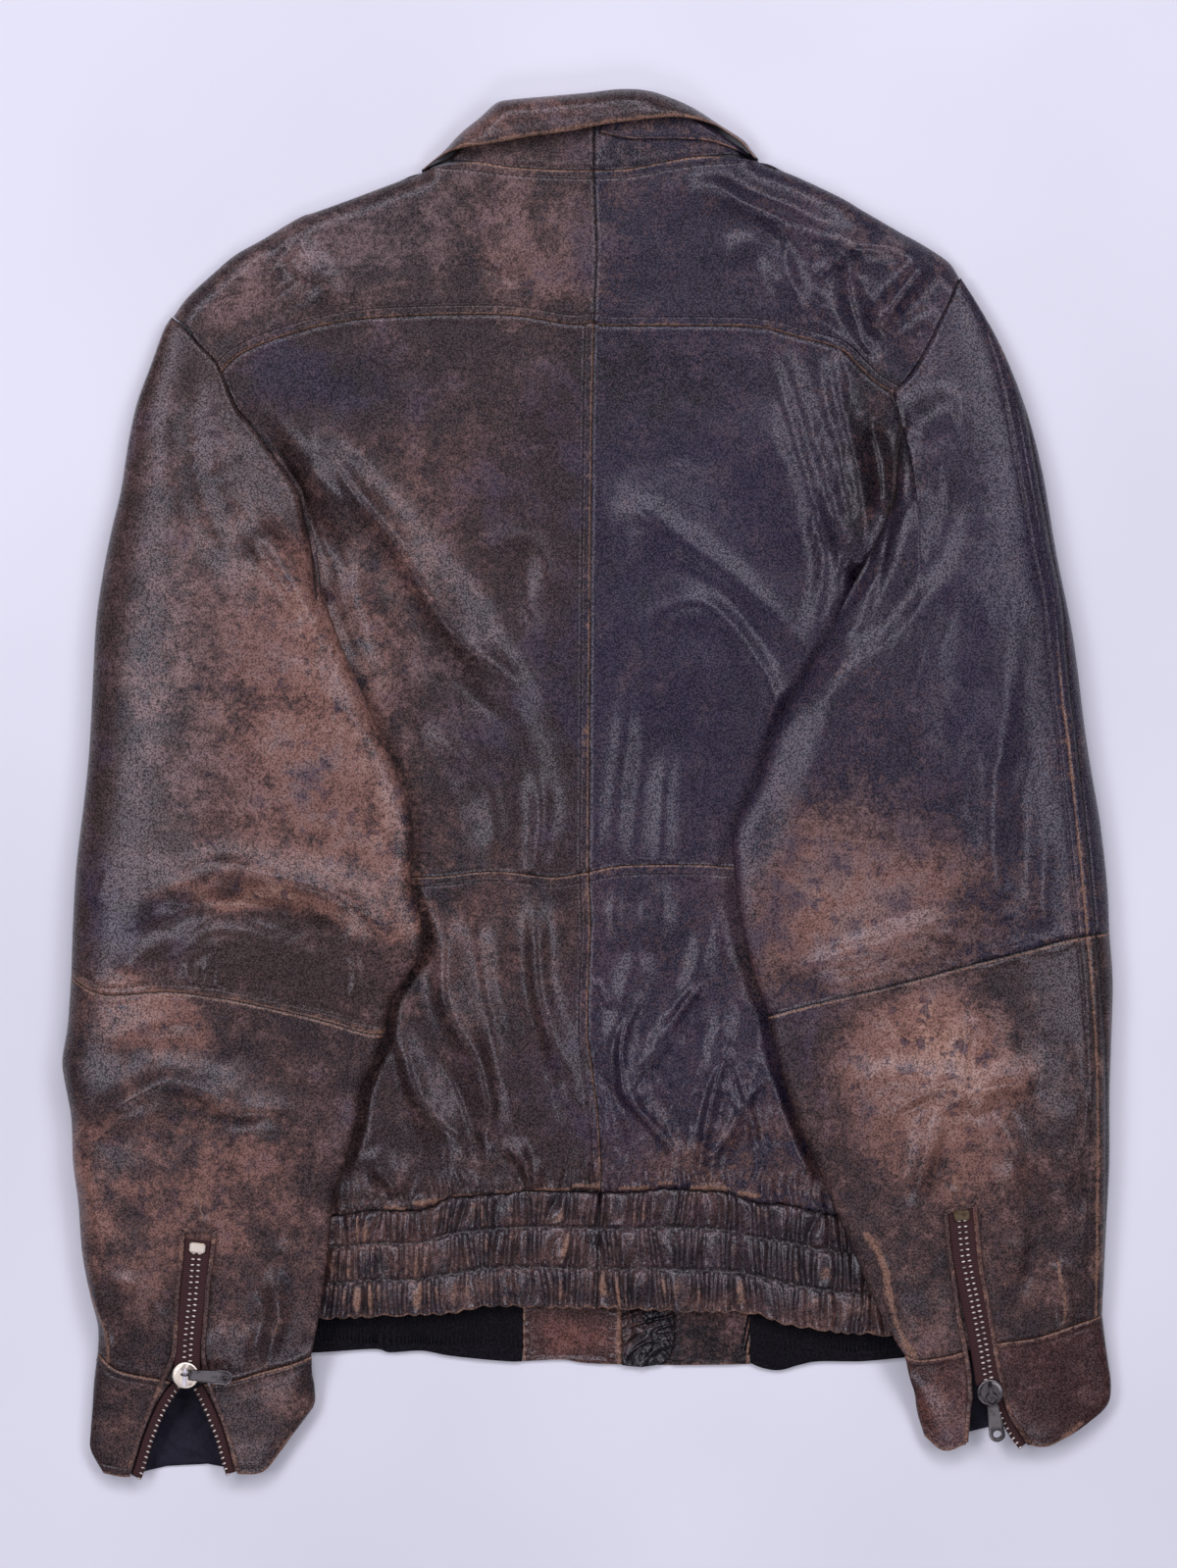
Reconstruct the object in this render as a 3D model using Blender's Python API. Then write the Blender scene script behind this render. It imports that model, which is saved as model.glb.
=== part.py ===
"""A worn leather blouson laid flat on its front, with its back uppermost.

The jacket lies on the plane z = 0, collar towards +Y and back towards +Z. Outlines are in millimetres as
seen from above, from the middle of the laid-out jacket, and are turned into metres when a mesh is made.
"""

import math

import bmesh
import bpy
import numpy as np
from mathutils import Matrix, Vector

MM = 0.001

# Thicknesses and gaps, in millimetres.
LEATHER = 1.9
KNIT = 3.0
SEAM_GAP = 0.3
ARMHOLE_GAP = 1.2
ARMHOLE_SHIFT = 1.8
ELBOW_GAP = 0.6
CUFF_GAP = 1.0

# Levels above the floor, in millimetres.
FRONT_TOP = 2.0
REST_ON_FRONT = FRONT_TOP + SEAM_GAP
REST_ON_BAND = KNIT + SEAM_GAP
HIDDEN_LEVEL = 13.0
SLEEVE_LEVEL = 14.6
BAND_LEVEL = 3.6

# Rounding of the body's free edges, the lift of the sleeves over the body, and the lift over the hem band.
BODY_EDGE_ROUND = 14.0
PLUMB_REACH = (2.0, 14.0)
COLLAR_ROUND = 12.0
COLLAR_TOP = 22.0
# The stand's and under collar's highest level, and how far inside the collar's outline each turns down.
STAND_TOP = (15.2, 5.0)
UNDER_TOP_LEVEL = (17.6, 2.8)
UNDER_LIFT = 2.3
STAND_LIFT = 0.7
COLLAR_REST = 0.4
UNDER_COLLAR = 1.5
SLEEVE_RAMP = 46.0
BAND_RAMP = 10.0

# Counts of faces across and along the pieces, and of the gathers in each half of the waistband.
YOKE_ROWS = 4
UPPER_ROWS = 15
LOWER_ROWS = 11
BODY_COLUMNS = 12
NEAR_SIDE = (1.8, 5.5, 12.0)
NEAR_SHOULDER = (-0.8, -2.4, -5.0)
FALL_COLUMNS = 24
FALL_RISES = (0, 0.18, 0.4, 0.64, 0.82, 0.93, 1)
SLEEVE_AROUND = 22
SLEEVE_ROWS = 13
FOREARM_ROWS = 10
CUFF_ROWS = 4
CUFF_OVER = 6
CUFF_UNDER = 13
GATHERS = 26

# The back's level, from the hem to the neck: the panels blouse over the gathered waistband.
BACK_LEVELS = (
    (-310, 9.6), (-245, 10.4), (-233, 11.0), (-218, 14.5), (-195, 16.0), (-110, 14.5),
    (0, 13.8), (110, 14.4), (230, 14.2), (343, 13.4),
)

# Outlines of the body.
NECK = ((4, 343), (-20, 343.5), (-43, 345), (-65, 348), (-81, 349), (-93, 343))
SHOULDER_LEFT = (
    (-93, 343), (-107, 338), (-131, 329), (-153, 321), (-162, 318), (-182, 306), (-198, 297),
    (-211, 286), (-225, 273), (-233, 262),
)
NECK_RIGHT = ((4, 343), (24, 344), (45, 348), (66, 351), (84, 352), (97, 349))
SHOULDER_RIGHT = (
    (97, 349), (111, 344), (123, 339), (144, 329), (154, 323), (166, 316), (178, 309), (189, 303),
    (204, 293), (210, 284),
)
YOKE_HEAD_LEFT = ((-205, 230), (-209, 237), (-218, 246), (-224, 255), (-233, 262))
YOKE_HEAD_RIGHT = ((172, 218), (182, 229), (192, 246), (202, 266), (210, 284))
YOKE_EDGE_LEFT = (
    (-205, 230), (-196, 239), (-179, 247), (-153, 255), (-124, 260), (-87, 262), (-43, 262),
    (-10, 257), (4, 258),
)
YOKE_EDGE_RIGHT = (
    (172, 218), (161, 225), (152, 234), (142, 243), (121, 249), (96, 255), (56, 256), (13, 256), (4, 258),
)
ARMHOLE_LEFT = (
    (-150, 102), (-154, 130), (-158, 147), (-162, 163), (-177, 185), (-188, 200), (-196, 209), (-205, 230),
)
ARMHOLE_RIGHT = (
    (151, 114), (161, 131), (169, 150), (173, 158), (175, 186), (178, 198), (177, 208), (172, 218),
)
CENTRE_YOKE = ((4, 258), (5.5, 289), (5.5, 307), (4, 343))
CENTRE_UPPER = ((1, -51), (1.6, 60), (2.6, 180), (4, 258))
CENTRE_LOWER = ((7.5, -231), (8, -217), (6, -184), (2, -153), (0.5, -141), (1, -108), (2, -82), (1, -51))
CENTRE_BAND = ((5.5, -296), (6.5, -262), (7.5, -231))
# Under the sleeves: from the armhole's foot round the underarm and down the side seam.
SIDE_LEFT_UPPER = ((-218, -54), (-222, -10), (-222, 25), (-212, 45), (-190, 62), (-165, 80), (-150, 102))
SIDE_RIGHT_UPPER = ((222, -48), (228, -10), (228, 28), (218, 48), (195, 68), (168, 86), (151, 114))
SIDE_LEFT_LOWER = ((-190, -244), (-205, -150), (-218, -54))
SIDE_RIGHT_LOWER = ((194, -246), (210, -150), (222, -48))
SIDE_LEFT_BAND = ((-190, -303), (-191, -272), (-190, -244))
SIDE_RIGHT_BAND = ((195, -315), (195, -280), (194, -246))
WAIST_LEFT = ((-218, -54), (-160, -55), (-98, -54), (-78, -53), (-61, -51), (-44, -51), (-19, -54), (1, -51))
WAIST_RIGHT = ((222, -48), (150, -49), (82, -48), (65, -47), (32, -47), (15, -48), (1, -51))
BAND_TOP_LEFT = (
    (-190, -244), (-142, -244), (-120, -241), (-93, -241), (-76, -234), (-49, -232), (-32, -230), (7.5, -231),
)
BAND_TOP_RIGHT = (
    (194, -246), (141, -244), (113, -238), (96, -237), (78, -231), (63, -230), (45, -229), (23, -231),
    (7.5, -231),
)
BAND_FOOT_LEFT = ((-190, -303), (-148, -302), (-98, -300), (-76, -299), (-54, -295), (-10, -296), (5.5, -296))
BAND_FOOT_RIGHT = (
    (195, -315), (164, -311), (144, -310), (111, -305), (93, -299), (56, -298), (12, -296), (5.5, -296),
)
GATHER_HEIGHT = 1.3
# Shares up the waistband, each with its gathers' fullness: they are drawn in at two rows of stitching.
BAND_RISES = (
    (0, 0.0), (0.05, 0.55), (0.16, 1.0), (0.34, 0.3), (0.52, 1.0), (0.69, 0.3), (0.86, 1.0), (1, 0.2),
)
BAND_TOP_GAP = 0.22

# The front lies under the back. Its hem band shows below the waistband.
FRONT_CLOSURE = 20
FRONT_HEM = -262
FRONT_INSET = 4.0
FRONT_NECK_LEFT = ((20, 262), (-8, 266), (-38, 284), (-66, 312), (-93, 342))
FRONT_NECK_RIGHT = ((20, 262), (34, 266), (58, 284), (78, 314), (97, 348))
GUARD_EDGE = 49
GUARD_TOP = 250
KNIT_FOOT_LEFT = (
    (-190, -322), (-153, -322), (-120, -320), (-111, -322), (-93, -321), (-76, -324), (-45, -327),
    (-36.3, -327),
)
TAB_BROWN_FOOT = ((-36, -327), (-14, -326), (-1, -328), (19.4, -329))
TAB_DARK_FOOT = ((49.6, -329.6), (70, -329), (92, -328.6))
KNIT_FOOT_RIGHT = (
    (92.3, -328), (100, -331), (109, -332), (120, -329), (131, -327), (155, -327), (178, -325), (195, -324),
)

# The collar.
FALL_OUTLINE = (
    (-93, 345), (-87, 350), (-80, 356), (-71, 366), (-60, 375), (-51, 383), (-43, 385), (-21, 387), (1, 389),
    (19, 391), (35, 390), (50, 385), (62, 379), (74, 371), (88, 362), (93, 356), (97, 351),
)
FALL_EDGE = (
    (-91, 344.5), (-86, 349), (-75, 354), (-54, 357), (-32, 361), (-10, 364), (11, 368), (35, 371), (53, 372),
    (71, 369), (79, 364.5), (87, 358.5), (92.5, 352.5), (94, 350.5),
)
STAND_TOP_LEFT = ((-80, 350.6), (-71, 356), (-54, 360), (-32, 364), (-10, 367), (4, 369))
STAND_TOP_RIGHT = ((4, 369), (24, 370), (45, 367), (66, 364), (76, 360), (86, 354))
UNDER_EDGE = ((8, 364.5), (24, 361), (45, 361), (66, 360), (76, 357.5), (84, 354.5))
UNDER_TOP = ((9, 369.5), (30, 374), (52, 374.5), (62, 372), (71, 367), (83.5, 358))

# The sleeves, folded down over the body's sides.
SLEEVE_OUT_LEFT = (
    (-290, -108), (-289, -79), (-287, -46), (-283, -13), (-280, 16), (-278, 53), (-276, 90), (-272, 118),
    (-267, 143), (-262, 164), (-258, 190), (-253, 213), (-245, 235), (-238, 254), (-233.6, 261.4),
)
SLEEVE_IN_LEFT = (
    (-113, -141), (-109, -123), (-102, -112), (-92, -95), (-92, -79), (-98, -58), (-97, -38), (-97, -24),
    (-103, -2), (-112, 20), (-123, 44), (-132, 64), (-143, 86), (-150.6, 101.6),
)
SLEEVE_HEAD_LEFT = (
    (-233.6, 261.4), (-224, 253), (-218, 246), (-209, 237), (-205, 230), (-196, 209), (-188, 200), (-177, 185),
    (-162, 163), (-158, 147), (-154, 130), (-150.6, 101.6),
)
ELBOW_LEFT = (
    (-290, -108), (-278, -116), (-264, -119), (-234, -117), (-206, -120), (-176, -126), (-147, -133),
    (-124, -140), (-113, -141),
)
FOREARM_OUT_LEFT = (
    (-275, -321), (-275, -306), (-280, -286), (-284, -264), (-286, -237), (-289, -214), (-290, -189),
    (-294, -167), (-295, -156), (-292, -137), (-290, -108),
)
FOREARM_IN_LEFT = (
    (-154, -322), (-150, -302), (-146, -277), (-143, -255), (-141, -233), (-136, -217), (-129, -195),
    (-125, -172), (-116, -152), (-113, -141),
)
CUFF_SEAM_LEFT = (
    (-275, -321), (-264, -330), (-245, -334), (-222, -337.5), (-199, -336), (-182, -331), (-163, -326),
    (-154, -322),
)
CUFF_OUT_LEFT = ((-272, -389), (-279, -376), (-279, -366), (-278, -352), (-277, -337), (-275, -321))
CUFF_IN_LEFT = ((-165, -367), (-158, -358), (-153, -350), (-153, -340), (-154, -332), (-154, -322))
CUFF_HEM_LEFT = (
    (-272, -389), (-257, -391), (-240, -387), (-222, -384), (-204, -387), (-195, -389), (-182, -388),
    (-173, -378), (-165, -367),
)
SLEEVE_OUT_RIGHT = (
    (294, -84), (293, -60), (289, -24), (284, 5), (280, 31), (276, 64), (272, 90), (264, 129), (256, 176),
    (246, 213), (233, 245), (221, 267), (210.6, 283.4),
)
SLEEVE_IN_RIGHT = (
    (101, -131), (95, -114), (86, -81), (82, -48), (82, -27), (95, 0), (107, 33), (120, 55), (137, 85),
    (147, 106), (151.6, 113.6),
)
SLEEVE_HEAD_RIGHT = (
    (210.6, 283.4), (202, 266), (192, 246), (182, 229), (172, 218), (177, 208), (178, 198), (175, 186),
    (173, 158), (169, 150), (161, 131), (151.6, 113.6),
)
ELBOW_RIGHT = (
    (294, -84), (269, -88), (250, -93), (214, -102), (177, -112), (157, -117), (126, -124), (101, -131),
)
FOREARM_OUT_RIGHT = (
    (290, -300), (291, -280), (292, -255), (294, -214), (294, -178), (295, -148), (296, -112), (294, -84),
)
FOREARM_IN_RIGHT = (
    (178, -321), (171, -310), (158, -284), (149, -262), (141, -245), (132, -223), (119, -194), (106, -155),
    (101, -131),
)
CUFF_SEAM_RIGHT = (
    (290, -300), (270, -306), (251, -312), (227, -315), (212, -319), (202, -322), (186, -324), (178, -321),
)
CUFF_OUT_RIGHT = ((278, -360), (287, -357), (294, -349), (295, -337), (293, -324), (290, -300))
CUFF_IN_RIGHT = ((190, -368), (186, -355), (184, -343), (181, -334), (178, -321))
CUFF_HEM_RIGHT = (
    (278, -360), (267, -370), (256, -374), (243, -371), (228, -371), (213, -372.5), (204, -376), (198, -375),
    (190, -368),
)

# The crown of each sleeve above the floor, from its lower end to its upper end.
SLEEVE_CROWN = ((0, 34), (0.3, 37), (0.62, 37), (0.85, 28), (1, 16))
FOREARM_CROWN = ((0, 20), (0.2, 27), (0.55, 34), (1, 34))
CUFF_CROWN = ((0, 12), (1, 20))
SIDE_ROUND = 7.5

# The cuff zips. Each runs down the sleeve on its upper side: open below its slider on the left, and closed
# nearly to the hem on the right. The slits are the cuffs' own edges beside the open length.
ZIP_LEFT = ((-223.4, -330), (-222.6, -316), (-221.6, -305), (-220, -292), (-218.6, -277), (-216.3, -255.4))
ZIP_RIGHT = ((225.4, -337), (222.4, -319), (219, -302), (215, -283), (211, -264), (208.6, -238.6))
STOP_LEFT = (-216.6, -259.6)
STOP_RIGHT = (208.8, -241.4)
SLIT_LEFT = (((-257, -388.4), (-250, -367), (-240, -345), (-232.4, -333.8)),
             ((-196, -388.4), (-202, -365), (-210, -345), (-214.4, -335.8)))
SLIT_RIGHT = (((213, -372), (214.2, -355), (214.6, -339), (213.2, -319)),
              ((249, -372), (239, -357), (233, -341), (227.6, -315.6)))
NOTCH_RIGHT = (226, -349)
NOTCH_REACH = 9
TAPE_HALF_WIDTH = 7.4
TAPE = 1.0
TAPE_LIFT = 0.5
FLAP_WIDTH = 6.0
FLAP_ROWS = 4
FLAP_SHORT = 0.2
STOP_SIZE = (8.6, 5.4, 2.0)
SLIDER_LEFT = (-223.9, -331.4)
SLIDER_RIGHT = (225.9, -341.6)
SLIDER_RADIUS = 7.4
SLIDER_PLATE = 1.8
CROWN_LENGTH = 9.6
CROWN_WIRE = 0.95
CROWN_OPENING = 2.8
LINK_WIRE = 0.5
PULL_THICK = 1.3
SLIDER_SEAT = 0.5
# Each pull: its link's radius, then the tab's length, width at the link, width at the tip and eye radius.
PULL_LEFT = (2.1, 26.5, 5.6, 8.4, 1.7)
PULL_RIGHT = (3.0, 25.2, 6.0, 9.0, 2.3)
PULL_DROP_LEFT = 4
PULL_DROP_RIGHT = 6
PULL_OFFSET_LEFT = 1.6

# Folds: height (ridges above 0, troughs below), half width and the line each follows.
BODY_FOLDS = (
    (5.5, 15, ((-156, 192), (-124, 156), (-91, 120), (-64, 80), (-45, 40), (-31, 0), (-24, -40))),
    (-5, 9, ((-185, 205), (-162, 164), (-153, 148), (-143, 124), (-136, 90), (-122, 60))),
    (5, 9, ((106, 241), (115, 215), (123, 190), (135, 155), (146, 129))),
    (4, 6, ((137, 241), (141, 215), (147, 190), (153, 164), (156, 133))),
    (-4, 7, ((100, 245), (111, 216), (121, 179), (130, 147), (135, 121), (128, 84))),
    (-5, 6, ((160, 200), (166, 176), (166, 150))),
    (4, 8, ((56, 335), (89, 324), (122, 308), (150, 301), (189, 294))),
    (3, 8, ((78, 301), (95, 299), (106, 287), (111, 273))),
    (4, 7, ((192, 293), (182, 279), (166, 262), (158, 244))),
    (-4, 8, ((147, 293), (149, 272), (158, 251), (166, 238))),
    (3, 9, ((-166, 301), (-153, 287), (-142, 270))),
    (4, 26, ((60, 40), (52, 100), (40, 180))),
    (3.4, 10, ((-81, -68), (-76, -116), (-64, -150), (-56, -175), (-57, -205))),
    (3, 9, ((-29, -57), (-29, -108), (-20, -138), (-10, -167), (-4, -200))),
    (3, 9, ((-107, -131), (-98, -162), (-83, -189), (-68, -212))),
    (3.5, 6, ((-46, -200), (-36, -211), (-32, -222), (-29, -232))),
    (3, 8, ((-120, -205), (-103, -232))),
    (3.2, 8, ((32, -60), (30, -95), (22, -120), (19, -150), (27, -182), (46, -206), (56, -224))),
    (3, 7, ((67, -80), (60, -113), (44, -142), (30, -167), (24, -185))),
    (3, 7, ((77, -120), (74, -153), (69, -180), (64, -216))),
    (2.6, 7, ((92, -150), (88, -180), (80, -197), (70, -214))),
    (3, 8, ((104, -158), (118, -200), (126, -228))),
)
SLEEVE_FOLDS = (
    (4, 9, ((-185, 142), (-169, 122), (-154, 98))),
    (5, 15, ((-240, -62), (-191, -51), (-147, -59), (-116, -80))),
    (-4, 10, ((-250, -90), (-219, -72), (-175, -74), (-138, -90))),
    (-4, 10, ((-215, 236), (-222, 200), (-214, 150), (-190, 110))),
    (4, 18, ((222, 53), (226, 0), (224, -50), (222, -84))),
    (4, 11, ((118, -103), (155, -92), (188, -84), (210, -72))),
    (4, 7, ((209, 207), (196, 207), (182, 196))),
    (-4, 10, ((150, 70), (172, 96), (196, 130), (206, 170))),
)
FOREARM_FOLDS = (
    (4, 12, ((-279, -194), (-268, -183), (-241, -169), (-202, -175), (-164, -189))),
    (-3, 10, ((-270, -150), (-230, -146), (-180, -156))),
    (3, 5, ((-277, -284), (-271, -300), (-266, -316))),
    (3, 5, ((-173, -268), (-175, -290), (-179, -315))),
    (5, 10, ((150, -163), (185, -166), (215, -172), (246, -160))),
    (4, 8, ((215, -172), (196, -183), (188, -211), (180, -235))),
    (4, 8, ((215, -172), (232, -195), (240, -220))),
    (3, 8, ((278, -134), (279, -180), (276, -222))),
    (-3, 9, ((260, -222), (254, -260), (248, -290))),
    (3, 5, ((263, -268), (266, -288), (267, -302))),
)

COLOURS = {
    "leather_grey_brown": ((0.115, 0.086, 0.072), 0.5, 0.0),
    "leather_blue_black": ((0.035, 0.034, 0.045), 0.45, 0.0),
    "leather_brown": ((0.082, 0.05, 0.036), 0.5, 0.0),
    "leather_rust": ((0.15, 0.066, 0.034), 0.5, 0.0),
    "leather_black": ((0.018, 0.018, 0.026), 0.3, 0.0),
    "rib_knit": ((0.012, 0.011, 0.016), 0.95, 0.0),
    "zip_tape": ((0.06, 0.022, 0.02), 0.85, 0.0),
    "antique_brass": ((0.55, 0.42, 0.24), 0.35, 1.0),
    "gunmetal": ((0.2, 0.2, 0.19), 0.35, 1.0),
}


def smooth(points, per_span=6):
    """A curve through hand-set points, as a close row of points along it."""
    p = np.array(points, float)
    p = np.vstack([2 * p[0] - p[1], p, 2 * p[-1] - p[-2]])
    t = np.linspace(0, 1, per_span, endpoint=False)[:, None]
    spans = []
    for a, b, c, d in zip(p, p[1:], p[2:], p[3:]):
        bend = (2 * a - 5 * b + 4 * c - d) * t**2 + (3 * b - a - 3 * c + d) * t**3
        spans.append(0.5 * (2 * b + (c - a) * t + bend))
    return np.vstack(spans + [p[-2:-1]])


def lengths(curve):
    """The distance along a curve at each of its points."""
    steps = np.linalg.norm(np.diff(curve, axis=0), axis=1)
    return np.concatenate([[0], np.cumsum(steps)])


def along(points, shares):
    """Points at the given shares of a curve's length. An array is a finished line; a tuple is smoothed."""
    curve = points if isinstance(points, np.ndarray) else smooth(points)
    run = lengths(curve)
    at = np.asarray(shares) * run[-1]
    return np.stack([np.interp(at, run, curve[:, 0]), np.interp(at, run, curve[:, 1])], axis=-1)


def even(points, count, gap=SEAM_GAP, close_at=()):
    """Shares of a curve's length that are evenly spaced, half a gap in from its ends, with extra ones at the
    given distances from its start (above 0) or from its end (below 0)."""
    length = lengths(smooth(points))[-1]
    half = gap / 2 / length
    shares = list(np.linspace(half, 1 - half, count + 1))
    for distance in close_at:
        shares.append(distance / length if distance > 0 else 1 + distance / length)
    shares = np.array(sorted(shares))
    return shares[np.concatenate([[True], np.diff(shares) > 1e-6])]


def patch(bottom, top, left, right, across, up):
    """A net of points between four edge curves: rows from the bottom curve to the top one."""
    ends = np.array([0.0, 1.0])
    b0, b1 = along(bottom, ends)
    t0, t1 = along(top, ends)
    u = np.asarray(across)[None, :, None]
    v = np.asarray(up)[:, None, None]
    between_rows = (1 - v) * along(bottom, across)[None] + v * along(top, across)[None]
    between_sides = (1 - u) * along(left, up)[:, None] + u * along(right, up)[:, None]
    corners = (1 - u) * (1 - v) * b0 + u * (1 - v) * b1 + (1 - u) * v * t0 + u * v * t1
    return between_rows + between_sides - corners


def table(pairs, at):
    """Values between the given pairs of place and value."""
    places, values = np.array(pairs, float).T
    return np.interp(at, places, values)


def ease(start, end, at):
    """0 before start, 1 after end, and a soft step between."""
    t = np.clip((at - start) / (end - start), 0, 1)
    return t * t * (3 - 2 * t)


def quarter(share):
    """Height of a quarter round at a share of its radius in from its edge."""
    inside = 1 - np.clip(share, 0, 1)
    return np.sqrt(np.maximum(0, 1 - inside**2))


def to_line(points, line):
    """Distance from each point to a line, and the share of the line's length at the nearest place."""
    a, b = line[:-1], line[1:]
    run = lengths(line)
    step = b - a
    square = np.maximum((step**2).sum(-1), 1e-12)
    from_a = points[..., None, :] - a
    t = np.clip((from_a * step).sum(-1) / square, 0, 1)
    gaps = np.linalg.norm(from_a - t[..., None] * step, axis=-1)
    nearest = gaps.argmin(-1)
    t_best = np.take_along_axis(t, nearest[..., None], -1)[..., 0]
    at = (run[nearest] + t_best * (run[nearest + 1] - run[nearest])) / run[-1]
    return gaps.min(-1), at


def folds(points, lines):
    """Height that a set of folds adds, each fading out at its ends."""
    total = np.zeros(points.shape[:-1])
    for height, width, line in lines:
        gap, at = to_line(points, smooth(line, 4))
        total += height * np.exp(-((gap / width) ** 2)) * np.minimum(1, 5 * at * (1 - at) + 0.25)
    return total


FREE_EDGES = (
    smooth(SHOULDER_LEFT), smooth(SHOULDER_RIGHT),
    smooth(SIDE_LEFT_BAND + SIDE_LEFT_LOWER[1:] + SIDE_LEFT_UPPER[1:]),
    smooth(SIDE_RIGHT_BAND + SIDE_RIGHT_LOWER[1:] + SIDE_RIGHT_UPPER[1:]),
)
UNDER_SLEEVE = (FREE_EDGES[2], FREE_EDGES[3])
HEM = (smooth(BAND_FOOT_LEFT), smooth(BAND_FOOT_RIGHT))
KNIT_HEM = (smooth(KNIT_FOOT_LEFT), smooth(KNIT_FOOT_RIGHT))
FOLDED_EDGES = (
    smooth(FOREARM_IN_LEFT + SLEEVE_IN_LEFT[1:]),
    smooth(FOREARM_IN_RIGHT + SLEEVE_IN_RIGHT[1:]),
)
FALL_CURVE = smooth(FALL_OUTLINE)


def edge_x(line, y, beyond):
    """The x of a line that climbs the page, at each y, and a far x above its top end."""
    order = np.argsort(line[:, 1])
    x = np.interp(y, line[order, 1], line[order, 0])
    return np.where(y > line[:, 1].max() + 8, beyond, x)


def covered(points):
    """1 where a sleeve lies over the body, 0 in the open."""
    x, y = points[..., 0], points[..., 1]
    left = edge_x(FOLDED_EDGES[0], y, -400) - x
    right = x - edge_x(FOLDED_EDGES[1], y, 400)
    return ease(-8, 1, np.maximum(left, right))


def body_top(points):
    """Level of the back's outer surface."""
    y = points[..., 1]
    cover = covered(points)
    level = table(BACK_LEVELS, y) + folds(points, BODY_FOLDS) * ease(-246, -222, y)
    level = (1 - cover) * level + cover * np.minimum(level, HIDDEN_LEVEL)
    gap = np.min([to_line(points, edge)[0] for edge in FREE_EDGES], axis=0)
    return REST_ON_FRONT + (level - REST_ON_FRONT) * quarter(gap / BODY_EDGE_ROUND)


def inside_body(points, foot):
    """True where the point is between the side seams and above the given foot line."""
    x, y = points[..., 0], points[..., 1]
    left = edge_x(UNDER_SLEEVE[0], y, 0)
    right = edge_x(UNDER_SLEEVE[1], y, 0)
    foot_line = np.vstack(foot)
    order = np.argsort(foot_line[:, 0])
    low = np.interp(x, foot_line[order, 0], foot_line[order, 1])
    top = np.where(x < 0, UNDER_SLEEVE[0][-1, 1], UNDER_SLEEVE[1][-1, 1])
    return (x > left) & (x < right) & (y > low) & (y < top)


def support(points):
    """What a sleeve rests on: the floor, the front's hem band, or the body."""
    edges = UNDER_SLEEVE + HEM
    gap = np.min([to_line(points, edge)[0] for edge in edges], axis=0)
    gap = np.where(inside_body(points, HEM), 0, gap)
    band = np.min([to_line(points, edge)[0] for edge in KNIT_HEM + UNDER_SLEEVE], axis=0)
    band = np.where(inside_body(points, KNIT_HEM), 0, band)
    on_body = SLEEVE_LEVEL * (1 - ease(8, SLEEVE_RAMP, gap))
    on_band = BAND_LEVEL * (1 - ease(0, BAND_RAMP, band))
    return np.maximum(on_body, on_band)


def collar_level(points, level, inset):
    """Level of a layer of the collar, rounded down to the floor along the collar's outline."""
    gap = to_line(points, FALL_CURVE)[0]
    return level * quarter((gap - inset) / (COLLAR_ROUND - inset))


def unit(vectors):
    return vectors / np.maximum(np.linalg.norm(vectors, axis=-1, keepdims=True), 1e-12)


def in_curtain(normal, tangent):
    """Turns a normal into the upright plane along a seam, so that both sides of the seam stay clear."""
    flat = unit(np.stack([-tangent[..., 1], tangent[..., 0], 0 * tangent[..., 0]], axis=-1))
    return unit(normal - (normal * flat).sum(-1, keepdims=True) * flat)


def outward(net, seam_at_right=True, free_top=False):
    """Outward normals of a panel's net, kept upright along its seams: the end rows and, where it has one, the
    right side. A free top edge turns down, so its normals lie level."""
    across = np.gradient(net, axis=1)
    up = np.gradient(net, axis=0)
    normal = unit(np.cross(across, up))
    if normal[..., 2].mean() < 0:
        normal = -normal
    for row in (0, -1):
        normal[row] = in_curtain(normal[row], across[row])
    if seam_at_right:
        normal[1:-1, -1] = in_curtain(normal[1:-1, -1], up[1:-1, -1])
        normal[[0, -1], -1] = (0, 0, 1)
    if free_top:
        level = net[-1] - net[-2]
        level[:, 2] = 0
        normal[-1] = unit(level)
    return normal


def finish(name, bm, material):
    """Makes a mesh object from a bmesh in millimetres."""
    bmesh.ops.recalc_face_normals(bm, faces=bm.faces)
    bmesh.ops.scale(bm, vec=(MM, MM, MM), verts=bm.verts)
    mesh = bpy.data.meshes.new(name)
    bm.to_mesh(mesh)
    bm.free()
    mesh.shade_smooth()
    mesh.set_sharp_from_angle(angle=math.radians(50))
    piece = bpy.data.objects.new(name, mesh)
    piece.data.materials.append(materials[material])
    jacket.objects.link(piece)
    return piece


def add_net(bm, net):
    """The corners of a net as vertices, row by row."""
    return [[bm.verts.new(point) for point in row] for row in net]


def add_faces(bm, rows, around, flip):
    """Faces between rows of vertices. A flipped face starts at the same corner, so that the two sides of a
    wall fold along the same diagonals."""
    count = len(rows[0])
    for low, high in zip(rows, rows[1:]):
        for k in range(count if around else count - 1):
            first, *others = low[k], low[(k + 1) % count], high[(k + 1) % count], high[k]
            bm.faces.new([first, *(others[::-1] if flip else others)])


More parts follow.
